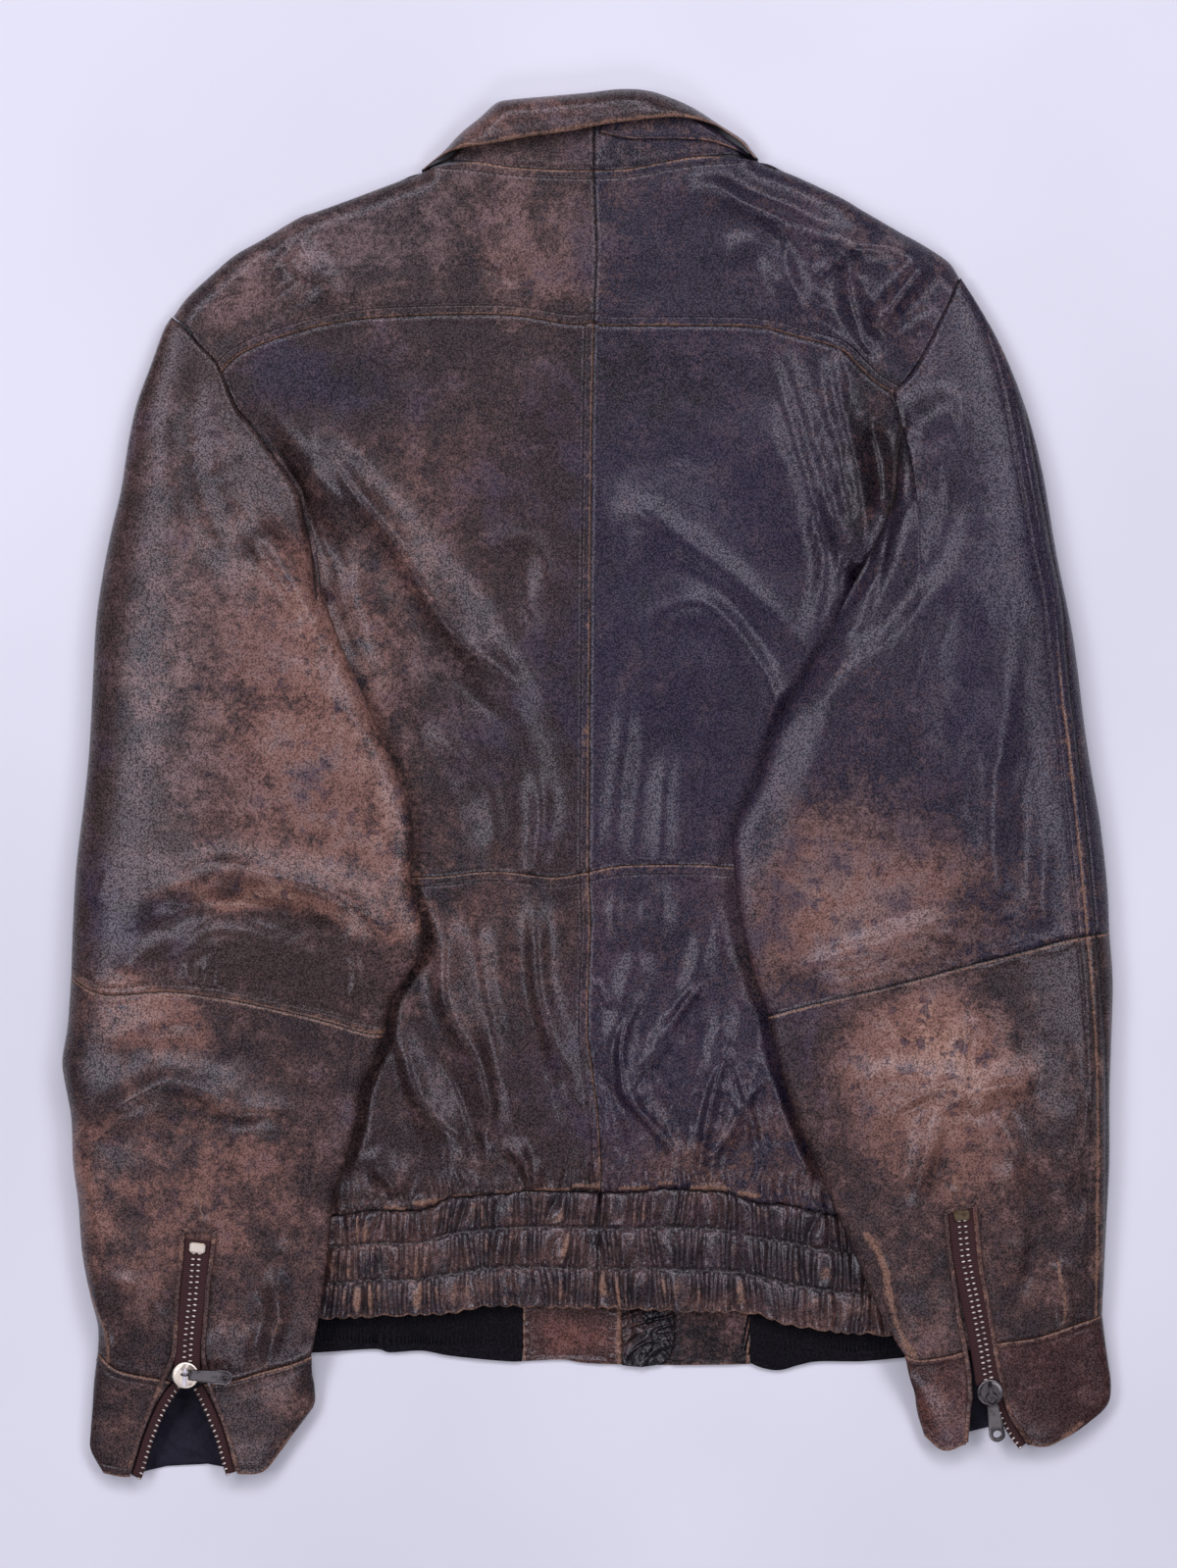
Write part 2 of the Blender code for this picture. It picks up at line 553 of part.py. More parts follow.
def wall(name, outer, inner, material, around=False):
    """A closed wall between two nets with the same columns. The inner net may have fewer rows."""
    bm = bmesh.new()
    out_rows = add_net(bm, outer)
    in_rows = add_net(bm, inner)
    add_faces(bm, out_rows, around, False)
    add_faces(bm, in_rows, around, True)
    for row in (0, -1):
        add_faces(bm, [in_rows[row], out_rows[row]], around, row == -1)
    if not around:
        for column in (0, -1):
            out_side = [row[column] for row in out_rows]
            in_side = [row[column] for row in in_rows]
            if len(out_side) == len(in_side):
                add_faces(bm, [out_side, in_side], False, column == -1)
            else:
                bm.faces.new(out_side + in_side[::-1])
    return finish(name, bm, material)


def edge_only(flat):
    """Share of a back panel's thickness that is taken straight down: all of it away from the free edges."""
    return ease(*PLUMB_REACH, np.min([to_line(flat, edge)[0] for edge in FREE_EDGES], axis=0))


def panel(name, edges, across, up, level, material, thick=LEATHER, rest=0.0, plumb=None, **sides):
    """A panel whose outer surface follows a level and whose inside stays above its rest. Its thickness is
    taken square to the surface, or straight down by the share that plumb gives."""
    flat = patch(*edges, across, up)
    net = np.dstack([flat, level(flat)])
    out = outward(net, **sides)
    if plumb:
        out = unit(out + plumb(flat)[..., None] * ((0, 0, 1) - out))
    inner = net - thick * out
    inner[..., 2] = np.maximum(inner[..., 2], rest)
    return wall(name, net, inner, material)


def body_shares(edge):
    """Shares across the back's panels, closer together where they turn down at the side."""
    return even(edge, BODY_COLUMNS, close_at=NEAR_SIDE)


def back_panels():
    """Yoke, upper and lower back, left and right of the centre seam."""
    sides = {
        "left": (
            (YOKE_EDGE_LEFT, NECK[:5][::-1], YOKE_HEAD_LEFT, CENTRE_YOKE),
            (WAIST_LEFT, YOKE_EDGE_LEFT, SIDE_LEFT_UPPER + ARMHOLE_LEFT[1:], CENTRE_UPPER),
            (BAND_TOP_LEFT, WAIST_LEFT, SIDE_LEFT_LOWER, CENTRE_LOWER),
        ),
        "right": (
            (YOKE_EDGE_RIGHT, NECK_RIGHT[:5][::-1], YOKE_HEAD_RIGHT, CENTRE_YOKE),
            (WAIST_RIGHT, YOKE_EDGE_RIGHT, SIDE_RIGHT_UPPER + ARMHOLE_RIGHT[1:], CENTRE_UPPER),
            (BAND_TOP_RIGHT, WAIST_RIGHT, SIDE_RIGHT_LOWER, CENTRE_LOWER),
        ),
    }
    skins = {"left": ("leather_grey_brown", "leather_brown"), "right": ("leather_blue_black",) * 2}
    shoulders = {"left": SHOULDER_LEFT, "right": SHOULDER_RIGHT}
    for side, (yoke, upper, lower) in sides.items():
        shoulder_and_neck = shoulders[side][::-1] + yoke[1][1:]
        yoke_edges = (yoke[0], shoulder_and_neck, yoke[2], yoke[3])
        across = body_shares(yoke[0])
        up = even(YOKE_HEAD_LEFT, YOKE_ROWS, close_at=NEAR_SHOULDER)
        panels = (
            ("yoke", yoke_edges, even(YOKE_HEAD_LEFT, YOKE_ROWS, close_at=NEAR_SHOULDER), skins[side][0]),
            ("upper", upper, even(upper[2], UPPER_ROWS), skins[side][1]),
            ("lower", lower, even(lower[2], LOWER_ROWS), skins[side][1]),
        )
        for part, edges, up, skin in panels:
            panel(f"back_{part}_{side}", edges, across, up, body_top, skin, rest=REST_ON_FRONT, plumb=edge_only)


def waistband():
    """The gathered band at the back hem, in two halves, drawn in along two rows of stitching."""
    rises, fullness = np.array(BAND_RISES).T
    halves = {
        "left": (BAND_FOOT_LEFT, BAND_TOP_LEFT, SIDE_LEFT_BAND, YOKE_EDGE_LEFT),
        "right": (BAND_FOOT_RIGHT, BAND_TOP_RIGHT, SIDE_RIGHT_BAND, YOKE_EDGE_RIGHT),
    }
    for side, (foot_line, top_line, end_line, yoke_line) in halves.items():
        panel_shares = np.concatenate([[0], body_shares(yoke_line), [1]])
        seam_line = along(top_line, panel_shares)
        across = even(foot_line, 2 * GATHERS)
        top_share = 1 - BAND_TOP_GAP / lengths(smooth(CENTRE_BAND))[-1]
        flat = patch(foot_line, seam_line, end_line, CENTRE_BAND, across, np.minimum(rises, top_share))
        crest = np.where(np.arange(len(across)) % 2, 1.0, -1.0)
        crest[[0, -1]] = 0
        swell = 1 + 0.5 * np.sin(flat[..., 0] * 0.21 + flat[..., 1] * 0.13)
        level = body_top(flat) + fullness[:, None] * (0.5 + GATHER_HEIGHT * crest[None] * swell)
        outer = np.dstack([flat, np.maximum(level, REST_ON_BAND + 0.2)])
        outer[0, :, 2] = REST_ON_BAND
        outer[:, 0, 2] = REST_ON_BAND
        outer[1, :, 2] = np.minimum(outer[1, :, 2], REST_ON_BAND + 4.5)
        plain = np.maximum(outer[2:, :, 2].min(0) - LEATHER, REST_ON_BAND)
        inner = np.array([outer[0], 0.7 * outer[0] + 0.3 * outer[-1], outer[-1]])
        inner[0, :, 1] += LEATHER
        inner[1:, :, 2] = plain
        inner[:, 0, 0] += math.copysign(LEATHER, -flat[0, 0, 0])
        wall(f"waistband_{side}", outer, inner, "leather_brown")


def flat_piece(name, outlines, bottom, thickness, material):
    """A level piece cut from a closed outline. Outlines inside the first are holes."""
    curve = bpy.data.curves.new(name, "CURVE")
    curve.dimensions = "2D"
    curve.fill_mode = "BOTH"
    curve.extrude = thickness / 2 * MM
    for outline in outlines:
        spline = curve.splines.new("POLY")
        spline.points.add(len(outline) - 1)
        for point, (x, y) in zip(spline.points, outline):
            point.co = (x * MM, y * MM, 0, 1)
        spline.use_cyclic_u = True
    piece = bpy.data.objects.new(name, curve)
    piece.location.z = (bottom + thickness / 2) * MM
    curve.materials.append(materials[material])
    jacket.objects.link(piece)
    return piece


def fronts():
    """The two front panels that the jacket lies on, plain because the back hides them."""
    edges = {
        "left": (SHOULDER_LEFT, ARMHOLE_LEFT, SIDE_LEFT_UPPER, SIDE_LEFT_LOWER, FRONT_NECK_LEFT, 1,
                 YOKE_HEAD_LEFT),
        "right": (SHOULDER_RIGHT, ARMHOLE_RIGHT, SIDE_RIGHT_UPPER, SIDE_RIGHT_LOWER, FRONT_NECK_RIGHT, -1,
                  YOKE_HEAD_RIGHT),
    }
    for side, (shoulder, armhole, underarm, lower, neck, sign, head) in edges.items():
        closure = FRONT_CLOSURE - sign * SEAM_GAP / 2
        seam = [(closure, FRONT_HEM), (closure, neck[0][1])]
        armhole_side = np.vstack([along(head[::-1], (0.35, 1)), along(armhole[::-1], np.linspace(0.12, 1, 8))])
        armhole_side[:, 0] += sign * FRONT_INSET
        cut = np.vstack([
            along(neck, np.linspace(0.06, 0.98, 7)), along(shoulder, np.linspace(0.02, 0.99, 8)),
            armhole_side,
            along(underarm[::-1], np.linspace(0.1, 1, 8)), along(lower[::-1], np.linspace(0.2, 1, 4)),
        ])
        cut = np.vstack([cut, [(cut[-1, 0], FRONT_HEM)]])
        flat_piece(f"front_{side}", [[*seam, *cut]], 0, FRONT_TOP, "leather_brown")


def hem_band():
    """The front's hem band: rib knit at both sides, leather tabs at the middle, and the zip guard's end."""
    top = FRONT_HEM - SEAM_GAP
    pieces = (
        ("knit_band_left", KNIT_FOOT_LEFT, "rib_knit", KNIT, 9),
        ("band_tab_brown", TAB_BROWN_FOOT, "leather_rust", KNIT, 4),
        ("band_tab_dark", TAB_DARK_FOOT, "leather_grey_brown", KNIT, 4),
        ("knit_band_right", KNIT_FOOT_RIGHT, "rib_knit", KNIT, 9),
    )
    for name, foot, material, thickness, count in pieces:
        low = along(foot, np.linspace(0, 1, count))
        outline = [*low, (low[-1, 0], top), (low[0, 0], top)]
        flat_piece(name, [outline], 0, thickness, material)


def zip_guard():
    """A long strip behind the front closure. Its rounded lower end shows at the hem."""
    left = np.array([(19.9, -329), (FRONT_CLOSURE, GUARD_TOP)])
    right = np.array([(47, -324.5), (GUARD_EDGE, -314), (GUARD_EDGE, GUARD_TOP)])
    bottom = ((19.9, -329), (30, -330), (41, -328.4), (47, -324.5))
    top = ((FRONT_CLOSURE, GUARD_TOP), (34, GUARD_TOP), (GUARD_EDGE, GUARD_TOP))
    up = np.array([0, 0.02, 0.06, 0.078, 0.09, 0.102, 0.3, 0.55, 0.8, 1])
    flat = patch(bottom, top, left, right, np.linspace(0, 1, 5), up)
    lift = REST_ON_FRONT * ease(FRONT_HEM - 20, FRONT_HEM - 6, flat[..., 1])
    top_net = np.dstack([flat, lift + LEATHER])
    under_net = np.dstack([flat, lift])
    wall("front_guard", top_net, under_net, "leather_black")


def collar():
    """Collar stand in two halves, the under collar that shows at the right, and the fall over them."""
    def stand_level(flat):
        return np.maximum(np.minimum(body_top(flat), collar_level(flat, *STAND_TOP)), LEATHER + 0.6)

    def under_level(flat):
        return np.minimum(body_top(flat) + UNDER_LIFT, collar_level(flat, *UNDER_TOP_LEVEL))

    def fall_level(flat):
        return collar_level(flat, COLLAR_TOP, 0.0)

    stands = (
        ("left", NECK[:5][::-1], STAND_TOP_LEFT, "leather_brown"),
        ("right", NECK_RIGHT[:5][::-1], STAND_TOP_RIGHT[::-1], "leather_blue_black"),
    )
    seam = ((4, 343), (4.2, 356), (4, 369))
    for side, foot, top, skin in stands:
        end = (foot[0], tuple(np.add(foot[0], top[0]) / 2), top[0])
        up = even(seam, 4)
        up[0] = STAND_LIFT / lengths(smooth(seam))[-1]
        panel(f"collar_stand_{side}", (foot, top, end, seam), even(foot, 9), up, stand_level, skin,
              rest=COLLAR_REST, plumb=lambda flat: np.ones(flat.shape[:-1]))
    under_ends = ((UNDER_EDGE[0], (8.5, 367), UNDER_TOP[0]), (UNDER_EDGE[-1], (84, 356), UNDER_TOP[-1]))
    panel("under_collar", (UNDER_EDGE, UNDER_TOP, *under_ends), even(UNDER_EDGE, 9), even(under_ends[0], 3),
          under_level, "leather_blue_black", thick=UNDER_COLLAR)
    fall_ends = (
        (FALL_EDGE[0], (-92, 344.8), FALL_OUTLINE[0]), (FALL_EDGE[-1], (95.5, 350.8), FALL_OUTLINE[-1]),
    )
    panel("collar_fall", (FALL_EDGE, FALL_OUTLINE, *fall_ends), np.linspace(0, 1, FALL_COLUMNS), FALL_RISES,
          fall_level, "leather_grey_brown", seam_at_right=False, free_top=True)


def ring(edges, turn, up, crown, fold_lines):
    """A net of rings for a flattened tube: its top from the outer edge to the inner one, then its underside."""
    across = (1 - np.cos(turn)) / 2
    flat = patch(*edges, across, up)
    return tube_levels(flat, across[None], np.sin(turn)[None], np.array(up)[:, None], crown, fold_lines)


def tube_out(edges, turn, up):
    """Outward directions round a flattened tube: level and square to each folded edge there, and upright
    between them."""
    sides = patch(*edges, (0, 1), up)
    tangent = unit(np.gradient(sides, axis=0))
    square = np.stack([-tangent[..., 1], tangent[..., 0]], axis=-1)
    away = sides - sides[:, ::-1]
    square *= np.sign((away * square).sum(-1).mean(0))[None, :, None]
    turn = np.broadcast_to(turn, (len(up), np.shape(turn)[-1]))
    to_outer = np.maximum(0, np.cos(turn))[..., None] * square[:, :1]
    to_inner = np.maximum(0, -np.cos(turn))[..., None] * square[:, 1:]
    return np.dstack([to_outer + to_inner, np.sin(turn)])


def tube_levels(flat, across, side, rise, crown, fold_lines=()):
    """Adds the levels of a flattened tube to its net: side is above 0 on top and below 0 underneath."""
    base = support(flat)
    out_edge = base_at(across, base, 0) + SIDE_ROUND
    in_edge = base_at(across, base, 1) + SIDE_ROUND
    edge = out_edge + (in_edge - out_edge) * across
    height = table(crown, rise)
    swell = folds(flat, fold_lines) * np.abs(side)
    top = edge + (height - edge) * np.abs(side) ** 0.75 + swell
    top = np.maximum(top, base + 2 * LEATHER + 1.5 + 2.2 * (1 - np.abs(side)))
    below = base + (edge - base) * np.maximum(0, 1 - np.abs(side) / 0.8) ** 1.5
    level = np.where(side > 1e-9, top, np.where(side < -1e-9, below, edge))
    return np.dstack([flat, level])


def base_at(across, base, end):
    """What a tube rests on at its outer edge (end 0) or its inner edge (end 1), for each of its rings."""
    column = np.abs(across[0] - end).argmin()
    return base[:, [column]]


def sleeves():
    """Upper and lower sleeves as flattened tubes, open at both ends."""
    tubes = (
        ("sleeve_upper_left", (ELBOW_LEFT, SLEEVE_HEAD_LEFT, SLEEVE_OUT_LEFT, SLEEVE_IN_LEFT),
         SLEEVE_ROWS, SLEEVE_CROWN, SLEEVE_FOLDS, "leather_rust", ARMHOLE_GAP),
        ("sleeve_lower_left", (CUFF_SEAM_LEFT, ELBOW_LEFT, FOREARM_OUT_LEFT, FOREARM_IN_LEFT),
         FOREARM_ROWS, FOREARM_CROWN, FOREARM_FOLDS, "leather_brown", ELBOW_GAP),
        ("sleeve_upper_right", (ELBOW_RIGHT, SLEEVE_HEAD_RIGHT, SLEEVE_OUT_RIGHT, SLEEVE_IN_RIGHT),
         SLEEVE_ROWS, SLEEVE_CROWN, SLEEVE_FOLDS, "leather_blue_black", ARMHOLE_GAP),
        ("sleeve_lower_right", (CUFF_SEAM_RIGHT, ELBOW_RIGHT, FOREARM_OUT_RIGHT, FOREARM_IN_RIGHT),
         FOREARM_ROWS, FOREARM_CROWN, FOREARM_FOLDS, "leather_brown", ELBOW_GAP),
    )
    for name, edges, count, crown, fold_lines, skin, top_gap in tubes:
        up = even(edges[2], count, gap=ELBOW_GAP)
        up[-1] = 1 - top_gap / lengths(smooth(edges[3]))[-1]
        turn = np.linspace(0, 2 * math.pi, SLEEVE_AROUND, endpoint=False)
        net = ring(edges, turn, up, crown, fold_lines)
        if top_gap == ARMHOLE_GAP:
            net[-1, :, 0] += math.copysign(ARMHOLE_SHIFT, edges[0][0][0])
        inner = net - LEATHER * tube_out(edges, turn, up)
        inner[..., 2] = np.maximum(inner[..., 2], LEATHER / 2)
        wall(name, net, inner, skin, around=True)


CUFF_LEFT = (CUFF_HEM_LEFT, CUFF_SEAM_LEFT, CUFF_OUT_LEFT, CUFF_IN_LEFT)
CUFF_RIGHT = (CUFF_HEM_RIGHT, CUFF_SEAM_RIGHT, CUFF_OUT_RIGHT, CUFF_IN_RIGHT)


def share_across(edges, point, rise):
    """The share across a patch, at one share up it, that lies nearest a point."""
    tries = np.linspace(0, 1, 401)
    row = patch(*edges, tries, [rise])[0]
    return tries[np.linalg.norm(row - point, axis=-1).argmin()]


def cuffs():
    """Bands that wrap the sleeve ends, open on their upper side along the zip. Gives back each band's net."""
    nets = {}
    for side, edges, slit in (("left", CUFF_LEFT, SLIT_LEFT), ("right", CUFF_RIGHT, SLIT_RIGHT[::-1])):
        rises = even(edges[2], CUFF_ROWS)
        rises[-1] = 1 - CUFF_GAP / lengths(smooth(edges[3]))[-1]
        first = [share_across(edges, point, rise) for point, rise in zip(along(slit[0], rises), rises)]
        last = [share_across(edges, point, rise) for point, rise in zip(along(slit[1], rises), rises)]
        rows = [cuff_row(edges, *place, side == "right") for place in zip(rises, first, last)]
        net, turns = (np.array(part) for part in zip(*rows))
        out = tube_out(edges, turns, rises)
        out[:, [0, -1]] = (0, 0, 1)
        inner = net - LEATHER * out
        inner[..., 2] = np.maximum(inner[..., 2], LEATHER / 2)
        net[..., 2] = np.maximum(net[..., 2], 0)
        wall(f"cuff_{side}", net, inner, "leather_rust" if side == "right" else "leather_brown")
        nets[side] = net
    return nets


def cuff_row(edges, rise, u_first, u_last, notch):
    """One row of a cuff, from the slit out round the outer edge, underneath, and back to the slit, and the
    turn of each of its points."""
    start = math.acos(1 - 2 * u_first)
    stop = 2 * math.pi - math.acos(1 - 2 * u_last)
    over_first = np.linspace(start, 0, CUFF_OVER)
    under = -np.linspace(0, math.pi, CUFF_UNDER)[1:-1]
    over_last = -np.linspace(math.pi, stop, CUFF_OVER)
    turn = np.concatenate([over_first, under, over_last])
    across = (1 - np.cos(turn)) / 2
    flat = patch(*edges, across, [rise])
    side = np.sin(turn)
    if notch:
        to_notch = np.exp(-(((flat[0, :, 0] - NOTCH_RIGHT[0]) / NOTCH_REACH) ** 2)) * (side < -1e-9)
        flat[0, :, 1] += to_notch * (1 - rise) ** 1.5 * (NOTCH_RIGHT[1] - CUFF_HEM_RIGHT[4][1])
    return tube_levels(flat, across[None], side[None], np.array([[rise]]), CUFF_CROWN)[0], turn


def top_level(edges, crown, fold_lines, points):
    """Level of a sleeve's or cuff's upper surface at points given in plan."""
    tries = np.linspace(0.05, 0.95, 61)
    rises = np.linspace(0, 1, 61)
    net = patch(*edges, tries, rises)
    side = 2 * np.sqrt(tries * (1 - tries))
    full = np.linspace(0, 1, 3)
    base_edges = patch(*edges, full, rises)
    base = support(base_edges)
    out_edge, in_edge = base[:, [0]] + SIDE_ROUND, base[:, [2]] + SIDE_ROUND
    edge = out_edge + (in_edge - out_edge) * tries[None]
    height = table(crown, rises)[:, None]
    level = edge + (height - edge) * side[None] ** 0.75 + folds(net, fold_lines) * side[None]
    gaps = np.linalg.norm(np.asarray(points)[:, None, None, :] - net[None], axis=-1)
    near = gaps.reshape(len(points), -1).argmin(-1)
    return level.reshape(-1)[near]


FOREARMS = {
    "left": (CUFF_SEAM_LEFT, ELBOW_LEFT, FOREARM_OUT_LEFT, FOREARM_IN_LEFT),
    "right": (CUFF_SEAM_RIGHT, ELBOW_RIGHT, FOREARM_OUT_RIGHT, FOREARM_IN_RIGHT),
}
CUFFS = {"left": CUFF_LEFT, "right": CUFF_RIGHT}


def zip_level(side, points):
    """Level of the leather under the zip: the forearm above the cuff seam, and the cuff below it."""
    points = np.asarray(points, float)
    seam = smooth(CUFF_SEAM_LEFT if side == "left" else CUFF_SEAM_RIGHT)
    order = np.argsort(seam[:, 0])
    seam_y = np.interp(points[:, 0], seam[order, 0], seam[order, 1])
    on_arm = top_level(FOREARMS[side], FOREARM_CROWN, FOREARM_FOLDS, points)
    on_cuff = top_level(CUFFS[side], CUFF_CROWN, (), points)
    blend = ease(-6, 6, points[:, 1] - seam_y)
    return on_cuff + (on_arm - on_cuff) * blend


def strip(name, line, half_width, levels, thickness, material):
    """A flat strip along a line, at a level for each of its points."""
    tangent = unit(np.gradient(line, axis=0))
    side = np.stack([tangent[:, 1], -tangent[:, 0]], axis=-1)
    flat = np.stack([line - half_width * side, line, line + half_width * side], axis=1)
    top = np.dstack([flat, np.repeat(levels[:, None] + thickness, 3, axis=1)])
    under = np.dstack([flat, np.repeat(levels[:, None], 3, axis=1)])
    return wall(name, top, under, material)


def tape_run(side):
    """The middle line of a zip's closed tape, and the level of its underside at each point."""
    run = along(ZIP_LEFT if side == "left" else ZIP_RIGHT, np.linspace(0, 1, 9))
    levels = np.pad(zip_level(side, run), 1, mode="edge")
    return run, np.maximum.reduce([levels[:-2], levels[1:-1], levels[2:]]) + TAPE_LIFT


def zip_tapes(cuff_nets):
    """The closed length of each zip's tape, which lies on the sleeve, and the open tape beside each slit."""
    for side in ("left", "right"):
        run, levels = tape_run(side)
        strip(f"zip_tape_{side}", run, TAPE_HALF_WIDTH, levels, TAPE, "zip_tape")
    flaps = (
        ("zip_flap_left_outer", "left", 0, 1), ("zip_flap_left_inner", "left", -1, -1),
        ("zip_flap_right_outer", "right", 0, -1),
    )
    for name, side, column, sign in flaps:
        edge = cuff_nets[side][:FLAP_ROWS, column].copy()
        edge[0] += FLAP_SHORT * (edge[1] - edge[0])
        tangent = unit(np.gradient(edge[:, :2], axis=0))
        into = np.stack([tangent[:, 1], -tangent[:, 0]], axis=-1) * sign
        line = edge[:, :2] + into * (SLIDER_SEAT + FLAP_WIDTH / 2)
        strip(name, line, FLAP_WIDTH / 2, edge[:, 2] - LEATHER, TAPE, "zip_tape")


def solid(name, bm, material, place=Matrix.Identity(4)):
    """A small hard piece from a bmesh in millimetres, placed in the jacket."""
    bmesh.ops.transform(bm, matrix=place, verts=bm.verts)
    return finish(name, bm, material)


def block(size, middle, bevel):
    """A bevelled block in millimetres."""
    bm = bmesh.new()
    bmesh.ops.create_cube(bm, size=1)
    bmesh.ops.scale(bm, vec=size, verts=bm.verts)
    bmesh.ops.translate(bm, vec=middle, verts=bm.verts)
    if bevel:
        bmesh.ops.bevel(bm, geom=bm.edges[:], offset=bevel, segments=1, affect="EDGES")
    return bm


def union(base, others):
    """Joins other pieces into a base piece and removes them."""
    for other in others:
        join = base.modifiers.new("join", "BOOLEAN")
        join.operation = "UNION"
        join.solver = "EXACT"
        join.object = other
    apply_modifiers(base)
    for other in others:
        bpy.data.objects.remove(other)
    return base


def apply_modifiers(piece):
    bpy.context.view_layer.update()
    mesh = bpy.data.meshes.new_from_object(piece.evaluated_get(bpy.context.evaluated_depsgraph_get()))
    piece.modifiers.clear()
    piece.data = mesh


def disc(radius, thickness, middle, bevel=0.0, sides=20):
    """A round plate in millimetres, with its rims bevelled."""
    bm = bmesh.new()
    bmesh.ops.create_cone(
        bm, cap_ends=True, segments=sides, radius1=radius, radius2=radius, depth=thickness,
        matrix=Matrix.Translation(middle),
    )
    if bevel:
        rims = [edge for edge in bm.edges if len(edge.link_faces[0].verts) + len(edge.link_faces[1].verts) > 8]
        bmesh.ops.bevel(bm, geom=rims, offset=bevel, segments=1, affect="EDGES")
    return bm


def placed(piece, place):
    """Moves a piece's mesh, in metres, by a placing matrix in millimetres."""
    piece.data.transform(Matrix.Scale(MM, 4) @ place @ Matrix.Scale(1 / MM, 4))
    return piece


def hoop(name, major, wire, place, material):
    """A round ring of wire in the plane of its own x and y, then placed."""
    bpy.ops.mesh.primitive_torus_add(
        major_segments=12, minor_segments=6, major_radius=major * MM, minor_radius=wire * MM,
        location=(0, 0, 0), rotation=(0, 0, 0),
    )
    ring_piece = bpy.context.object
    ring_piece.name = name
    ring_piece.data.materials.append(materials[material])
    for home in list(ring_piece.users_collection):
        home.objects.unlink(ring_piece)
    jacket.objects.link(ring_piece)
    return placed(ring_piece, place)


def on_tape(side, spot, reach):
    """The place of a piece of hardware on a zip's tape: x across the zip, y up it to its closed end, and z
    square to the tape."""
    run, levels = tape_run(side)
    tangent = unit(run[2] - run[0]) if spot[1] < run[4, 1] else unit(run[-1] - run[-3])
    near = np.array([spot - reach * tangent, spot + reach * tangent])
    order = np.argsort(run[:, 1])
    below, above = np.interp(near[:, 1], run[order, 1], levels[order])
    if near[0, 1] < run[0, 1]:
        below = levels[0] - (levels[1] - levels[0]) * (run[0, 1] - near[0, 1]) / (run[1, 1] - run[0, 1])
    up = Vector((*(near[1] - near[0]), above - below)).normalized()
    out = Vector((up.y, -up.x, 0)).normalized()
    square = out.cross(up)
    level = (below + above) / 2
    place = Matrix((out, up, square)).transposed().to_4x4()
    place.translation = Vector((*spot, level)) + square * (TAPE + SLIDER_SEAT)
    return place


def slider_body(side, place):
    """The slider's plate with a crown bar arched over it along the zip, open under the arch."""
    body = solid(f"zip_slider_{side}", disc(SLIDER_RADIUS, SLIDER_PLATE, (0, 0, SLIDER_PLATE / 2), 0.4),
                 "antique_brass" if side == "left" else "gunmetal", place)
    top = SLIDER_PLATE + CROWN_OPENING + CROWN_WIRE
    reach = CROWN_LENGTH / 2
    bar = solid("crown_bar", block((2 * CROWN_WIRE, CROWN_LENGTH, 2 * CROWN_WIRE), (0, 0, top), 0.4),
                "gunmetal", place)
    posts = []
    for end in (-1, 1):
        height = CROWN_OPENING + CROWN_WIRE + 0.6
        middle = (0, end * (reach - CROWN_WIRE), SLIDER_PLATE - 0.6 + height / 2)
        post = block((1.8 * CROWN_WIRE, 1.8 * CROWN_WIRE, height), middle, 0)
        posts.append(solid("crown_post", post, "gunmetal", place))
    return union(body, [bar, *posts])


def pull(side, place, sizes):
    """A pull: a link of wire, and a tapered tab with a hole near its end. It lies along its own +x."""
    major, length, head, tip, eye = sizes
    level = Matrix.Rotation(math.pi / 2, 4, "X") if side == "left" else Matrix.Identity(4)
    link = hoop(f"zip_pull_{side}", major, LINK_WIRE, place @ level, "gunmetal")
    start = major - LINK_WIRE / 2
    bend = length - tip / 2
    turns = np.linspace(math.pi / 2, -math.pi / 2, 9)
    outline = [(start, -head / 2), (start, head / 2)]
    outline += [(bend + tip / 2 * math.cos(turn), tip / 2 * math.sin(turn)) for turn in turns]
    round_turns = np.linspace(0, 2 * math.pi, 12, endpoint=False)
    hole = [(bend + eye * math.cos(turn), eye * math.sin(turn)) for turn in round_turns]
    tab = as_mesh(flat_piece("tab", [outline, hole], -PULL_THICK / 2, PULL_THICK, "gunmetal"))
    return union(link, [placed(tab, place)])


def as_mesh(curve_piece):
    """A mesh piece with a curve piece's shape, its caps welded to its sides. The curve is removed."""
    bpy.context.view_layer.update()
    mesh = bpy.data.meshes.new_from_object(curve_piece.evaluated_get(bpy.context.evaluated_depsgraph_get()))
    mesh.transform(curve_piece.matrix_world)
    bm = bmesh.new()
    bm.from_mesh(mesh)
    bmesh.ops.remove_doubles(bm, verts=bm.verts, dist=0.001 * MM)
    bmesh.ops.recalc_face_normals(bm, faces=bm.faces)
    bm.to_mesh(mesh)
    bm.free()
    piece = bpy.data.objects.new(curve_piece.name, mesh)
    jacket.objects.link(piece)
    bpy.data.objects.remove(curve_piece)
    return piece


def set_origin(piece, origin):
    """Puts a moving piece's origin on its joint's axis without moving the piece."""
    origin = Vector(origin) * MM
    piece.data.transform(Matrix.Translation(-origin))
    piece.location = origin


